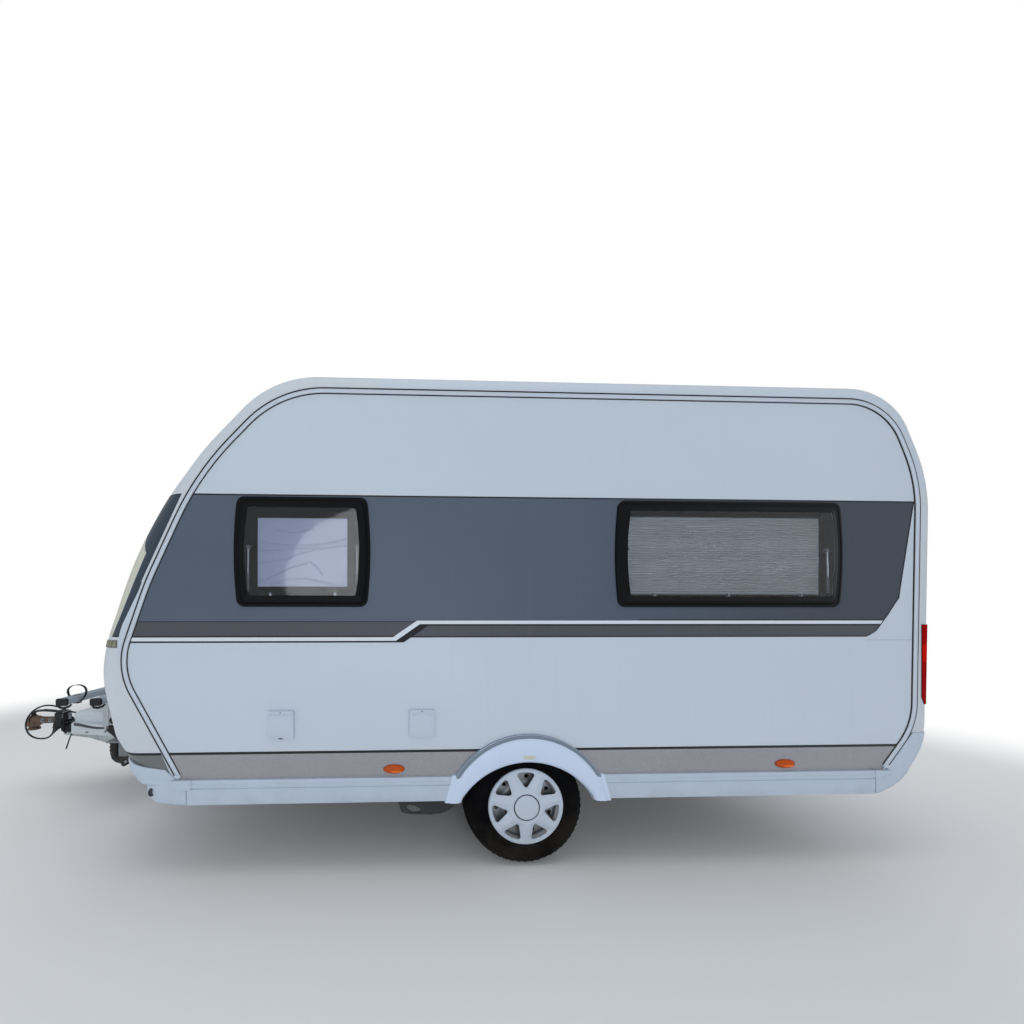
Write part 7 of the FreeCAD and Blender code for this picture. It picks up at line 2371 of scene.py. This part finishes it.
def makeVentDomes():
    for body, middle in (("front_vent", -0.560), ("rear_vent", 1.050)):
        bm = bmesh.new()
        rows = [(1.0, 2.6705), (1.0, 2.6745), (0.985, 2.6765), (0.90, 2.6775), (0.885, 2.6800),
                (0.86, 2.6860),
                (0.80, 2.6905), (0.66, 2.6945), (0.45, 2.6970), (0.22, 2.6985), (0.0, 2.6990)]
        addDome(bm, lambda a, b, up: Vector((along(middle + a), b, up)),
                roundedOutline([(a * 0.196, b * 0.196, 0.04) for a, b in square]), rows)
        # ribs moulded across the lid's rim, copied round it
        rib = bmesh.new()
        addBlock(rib, (-0.002, -0.010, 0.0), (0.002, 0.010, 0.0022), 0.0008, 0, None, 1)
        for way in (-1, 1):
            for angle, step, start in ((0, (0.030, 0, 0), (-0.150, way * 0.186)),
                                       (90, (0, 0.030, 0), (way * 0.186, -0.150))):
                shape = rib.copy()
                shape.transform(Matrix.Rotation(radians(angle), 4, "Z"))
                ribs = copied(rowTree, shape, ventPlastic, Count=11, Step=step,
                              Start=(along(middle + start[0]), start[1], 2.6765))
                addMesh(bm, ribs, 0)
        rib.free()
        finishPiece(f"{body}_dome", bm, body, [ventPlastic], 40)
        bm = bmesh.new()
        rim = roundedOutline([(a * 0.222, b * 0.222, 0.05) for a, b in square])
        addBorder(bm, lambda a, b, up: Vector((along(middle + a), b, up)), partial(inset, rim),
                  [(0.0, 2.6195), (0.0, 2.6225), (0.004, 2.6250), (0.012, 2.6265), (0.0185, 2.6275),
                   (0.0200, 2.6195)])
        for x in (-0.212, 0.212):
            for y in (-0.15, 0.0, 0.15):
                addTurned(bm, [(2.6262, 0.0), (2.6262, 0.0045), (2.6285, 0.0038), (2.6290, 0.0)],
                          (along(middle + x), y, 0), "z", 12, 1)
        finishPiece(f"{body}_flange", bm, "caravan", [trimPlastic, greyHandle], 30)


def makeLockerParts():
    placed = onSkin(False)
    bm = bmesh.new()
    for across in (-0.450, 0.450):
        # the plate, the lever and the lock
        addDome(bm, placed, roundedBox(across - 0.055, across + 0.055, 0.790, 0.838, 0.012),
                [(1.0, -0.001), (1.0, 0.0050), (0.94, 0.0075), (0.5, 0.0080), (0.0, 0.0080)])
        addDome(bm, placed, roundedBox(across - 0.045, across + 0.020, 0.800, 0.828, 0.008),
                [(1.0, 0.0070), (1.0, 0.0120), (0.92, 0.0145), (0.0, 0.0150)])
        addDome(bm, placed, roundedBox(across + 0.028, across + 0.046, 0.805, 0.823, 0.0085),
                [(1.0, 0.0070), (1.0, 0.0100), (0.9, 0.0108), (0.0, 0.0108)], 1)
    finishPiece("locker_catches", bm, "locker_lid", [greyHandle, bareMetal], 30)
    bm = bmesh.new()
    # a seal round three sides of the locker's hole, under the lid's hinge line
    run = [(-0.662, 1.110), (-0.662, 0.742), (-0.655, 0.7335), (0.655, 0.7335), (0.662, 0.742),
           (0.662, 1.110)]
    dense = []
    for first, second in zip(run, run[1:]):
        steps = max(1, round(hypot(second[0] - first[0], second[1] - first[1]) / 0.06))
        dense += [(first[0] + (second[0] - first[0]) * i / steps,
                   first[1] + (second[1] - first[1]) * i / steps)
                  for i in range(steps)]
    dense.append(run[-1])
    addTube(bm, [placed(x, z, 0.0005) for x, z in dense], 0.0042, 8)
    finishPiece("locker_seal", bm, "caravan", [blackSeal], 30)


def makeGrabHandles():
    bm = bmesh.new()
    low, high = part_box("grab_handles")
    out = high.x - 0.0125
    for side in sides:
        y = side * 0.840
        path = [(low.x - 0.006, 1.022), (low.x + 0.016, 1.022), (out - 0.010, 1.026), (out - 0.002, 1.038),
                (out, 1.055), (out, 1.160), (out, 1.265), (out - 0.002, 1.282), (out - 0.010, 1.294),
                (low.x + 0.016, 1.298), (low.x - 0.006, 1.298)]
        addTube(bm, [Vector((x, y, z)) for x, z in path],
                [0.0105, 0.0105, 0.0115, 0.0125, 0.0125, 0.0118, 0.0125, 0.0125, 0.0115, 0.0105, 0.0105],
                20, 0)
        for z in (1.022, 1.298):
            foot = roundedOutline([(a * 0.024, b * 0.020, 0.012) for a, b in square])
            addDome(bm, lambda a, b, rise: Vector((low.x + 0.002 + rise, y + a, z + b)), foot,
                    [(1.0, -0.004), (1.0, 0.007), (0.93, 0.0105), (0.5, 0.0125), (0.0, 0.0125)])
        grooves = bmesh.new()
        addTurned(grooves, [(a * 0.0012, 0.0124 + b * 0.0006) for a,
                            b in ((-1, -1), (-1, 1), (1, 1), (1, -1))],
                  (0, 0, 0), "z", 20, 0, closedProfile=True)
        ribs = copied(rowTree, grooves, greyHandle, Count=12, Step=(0, 0, 0.012), Start=(out, y, 1.094))
        addMesh(bm, ribs, 0)
    finishPiece("grab_bars", bm, "caravan", [greyHandle], 35, ["grab_handles"])


def makeRoofParts():
    # awning brackets on the roof's edges and an aerial
    bm = bmesh.new()
    for side in sides:
        addBlock(bm, (along(0.382), side * 0.985 - 0.018, 2.6100),
                 (along(0.433), side * 0.985 + 0.018, 2.6300),
                 0.004, 1)
    addTurned(bm, [(2.6170, 0.0), (2.6170, 0.034), (2.6210, 0.034), (2.6260, 0.026), (2.6400, 0.012),
                   (2.6430, 0.0)],
              (along(1.62), 0.46, 0), "z", 28, 0)
    addTube(bm, [Vector((along(1.62), 0.46, 2.640)), Vector((along(1.62), 0.46, 2.668)),
                 Vector((along(1.622), 0.46, 2.676))], [0.0050, 0.0034, 0.0026], 12, 2)
    finishPiece("roof_fittings", bm, "caravan", [trimPlastic, greyHandle, blackRubber], 30)
    # high stop lamp over the rear window
    bm = bmesh.new()
    placed = onSkin(True)
    body = roundedBox(-0.150, 0.150, 2.046, 2.078, 0.010)
    addDome(bm, placed, body, [(1.0, -0.002), (1.0, 0.006), (0.985, 0.009), (0.95, 0.010), (0.0, 0.010)])
    addDome(bm, placed, inset(body, 0.006), [(1.0, 0.008), (1.0, 0.0135), (0.98, 0.0155), (0.0, 0.016)], 1)
    finishPiece("stop_lamp", bm, "caravan", [trimPlastic, redLens], 30)


def makeFurniture():
    # doors on the cabinets, seen when the entrance door is open
    bm = bmesh.new()

    def front(x0, x1, y, z0, z1, way, knob):
        thick = 0.016 * way
        inner = 0.028
        addBlock(bm, (along(x0), y, z0), (along(x1), y + thick, z1), 0.003)
        addBlock(bm, (along(x0 + inner), y + thick * 0.9, z0 + inner),
                 (along(x1 - inner), y + thick * 1.25, z1 - inner), 0.002, 1)
        addPin(bm, (along(knob[0]), y + thick * 1.2, knob[1]), way,
               [(0.0, 0.0), (0.0, 0.006), (0.010, 0.005), (0.014, 0.011), (0.020, 0.010), (0.022, 0.0)],
               18, 2)

    for number in range(3):
        start = -0.715 + number * 0.385
        front(start, start + 0.375, 0.520, 0.560, 0.980, -1, (start + 0.340, 0.930))
        front(start, start + 0.375, 0.520, 0.990, 1.180, -1, (start + 0.1875, 1.085))
    front(-0.735, -0.170, -0.330, 0.560, 2.290, 1, (-0.215, 1.400))
    front(-0.160, 0.415, -0.330, 0.560, 1.380, 1, (0.370, 1.000))
    front(-0.160, 0.415, -0.330, 1.395, 2.290, 1, (0.370, 1.600))
    addBlock(bm, (along(-0.745), 0.512, 1.350), (along(0.452), 1.053, 1.362), 0.004, 3)
    finishPiece("cabinet_fronts", bm, "caravan", [veneer, paleVeneer, bareMetal, greyWorktop],
                30)


makeDoorParts()
makeGrilles()
makeVentDomes()
makeLockerParts()
makeGrabHandles()
makeRoofParts()
makeFurniture()
print("details made")
# the lead to the tow car: a cord from the front cover
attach(lead, "caravan")
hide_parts("connection_cable")
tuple(leadRoute[0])

# ground, lamps and sky
stageSet = {"ground": 40.0, "plain": (5.0, 7.0), "skyLevel": 0.50, "skyTint": (0.93, 0.97, 1.0, 1)}
lampSet = [  # name, place, aimed at, size, watts
    ("overheadSoft", (0.0, -1.0, 9.0), (0.0, 0.0, 1.0), 7.0, 180.0),
    ("sideSoft", (0.0, -13.0, 2.4), (0.0, 0.0, 1.4), 7.0, 500.0),
    ("frontFill", (-9.0, -3.0, 3.0), (-1.0, 0.0, 1.0), 5.0, 80.0),
    ("rearFill", (8.0, 8.5, 4.0), (0.5, 0.0, 1.0), 6.0, 330.0),
]


def makeGround():
    half = stageSet["ground"]
    mesh = bpy.data.meshes.new("ground")
    mesh.from_pydata([(-half, -half, 0), (half, -half, 0), (half, half, 0), (-half, half, 0)], [],
                     [(0, 1, 2, 3)])
    ground = bpy.data.objects.new("ground", mesh)
    scene.collection.objects.link(ground)
    made, tree, shader, place = newMaterial("paleGround")
    shader.inputs["Base Color"].default_value = tone(236, 237, 238)
    shader.inputs["Roughness"].default_value = 0.9
    far = addNode(tree, "ShaderNodeVectorMath", {"operation": "LENGTH"})
    join(tree, place, far.inputs[0])
    away = ramped(tree, far.outputs["Value"], *stageSet["plain"])
    path = tree.nodes.new("ShaderNodeLightPath")
    glow = addNode(tree, "ShaderNodeEmission", Strength=1.0)
    blend = tree.nodes.new("ShaderNodeMixShader")
    join(tree, sums(tree, "MULTIPLY", away, path.outputs["Is Camera Ray"]), blend.inputs[0])
    join(tree, shader.outputs[0], blend.inputs[1])
    join(tree, glow.outputs[0], blend.inputs[2])
    output = next(node for node in tree.nodes if node.type == "OUTPUT_MATERIAL")
    join(tree, blend.outputs[0], output.inputs["Surface"])
    mesh.materials.append(made)


def makeSky():
    world = bpy.data.worlds.new("sky")
    world.use_nodes = True
    tree = world.node_tree
    tree.nodes.clear()
    light = addNode(tree, "ShaderNodeBackground", Color=stageSet["skyTint"], Strength=stageSet["skyLevel"])
    plain = addNode(tree, "ShaderNodeBackground", Color=(1, 1, 1, 1), Strength=1.0)
    path = tree.nodes.new("ShaderNodeLightPath")
    blend = tree.nodes.new("ShaderNodeMixShader")
    join(tree, path.outputs["Is Camera Ray"], blend.inputs[0])
    join(tree, light.outputs[0], blend.inputs[1])
    join(tree, plain.outputs[0], blend.inputs[2])
    join(tree, blend.outputs[0], tree.nodes.new("ShaderNodeOutputWorld").inputs["Surface"])
    scene.world = world


def makeLamps():
    for name, place, target, size, watts in lampSet:
        data = bpy.data.lights.new(name, "AREA")
        data.shape = "DISK"
        data.size = size
        data.energy = watts
        lamp = bpy.data.objects.new(name, data)
        lamp.visible_glossy = False
        lamp.location = place
        lamp.rotation_euler = (Vector(target) - Vector(place)).to_track_quat("-Z", "Y").to_euler()
        scene.collection.objects.link(lamp)


makeGround()
makeSky()
makeLamps()
scene.view_settings.view_transform = "Standard"
print("ground, sky and lamps set")
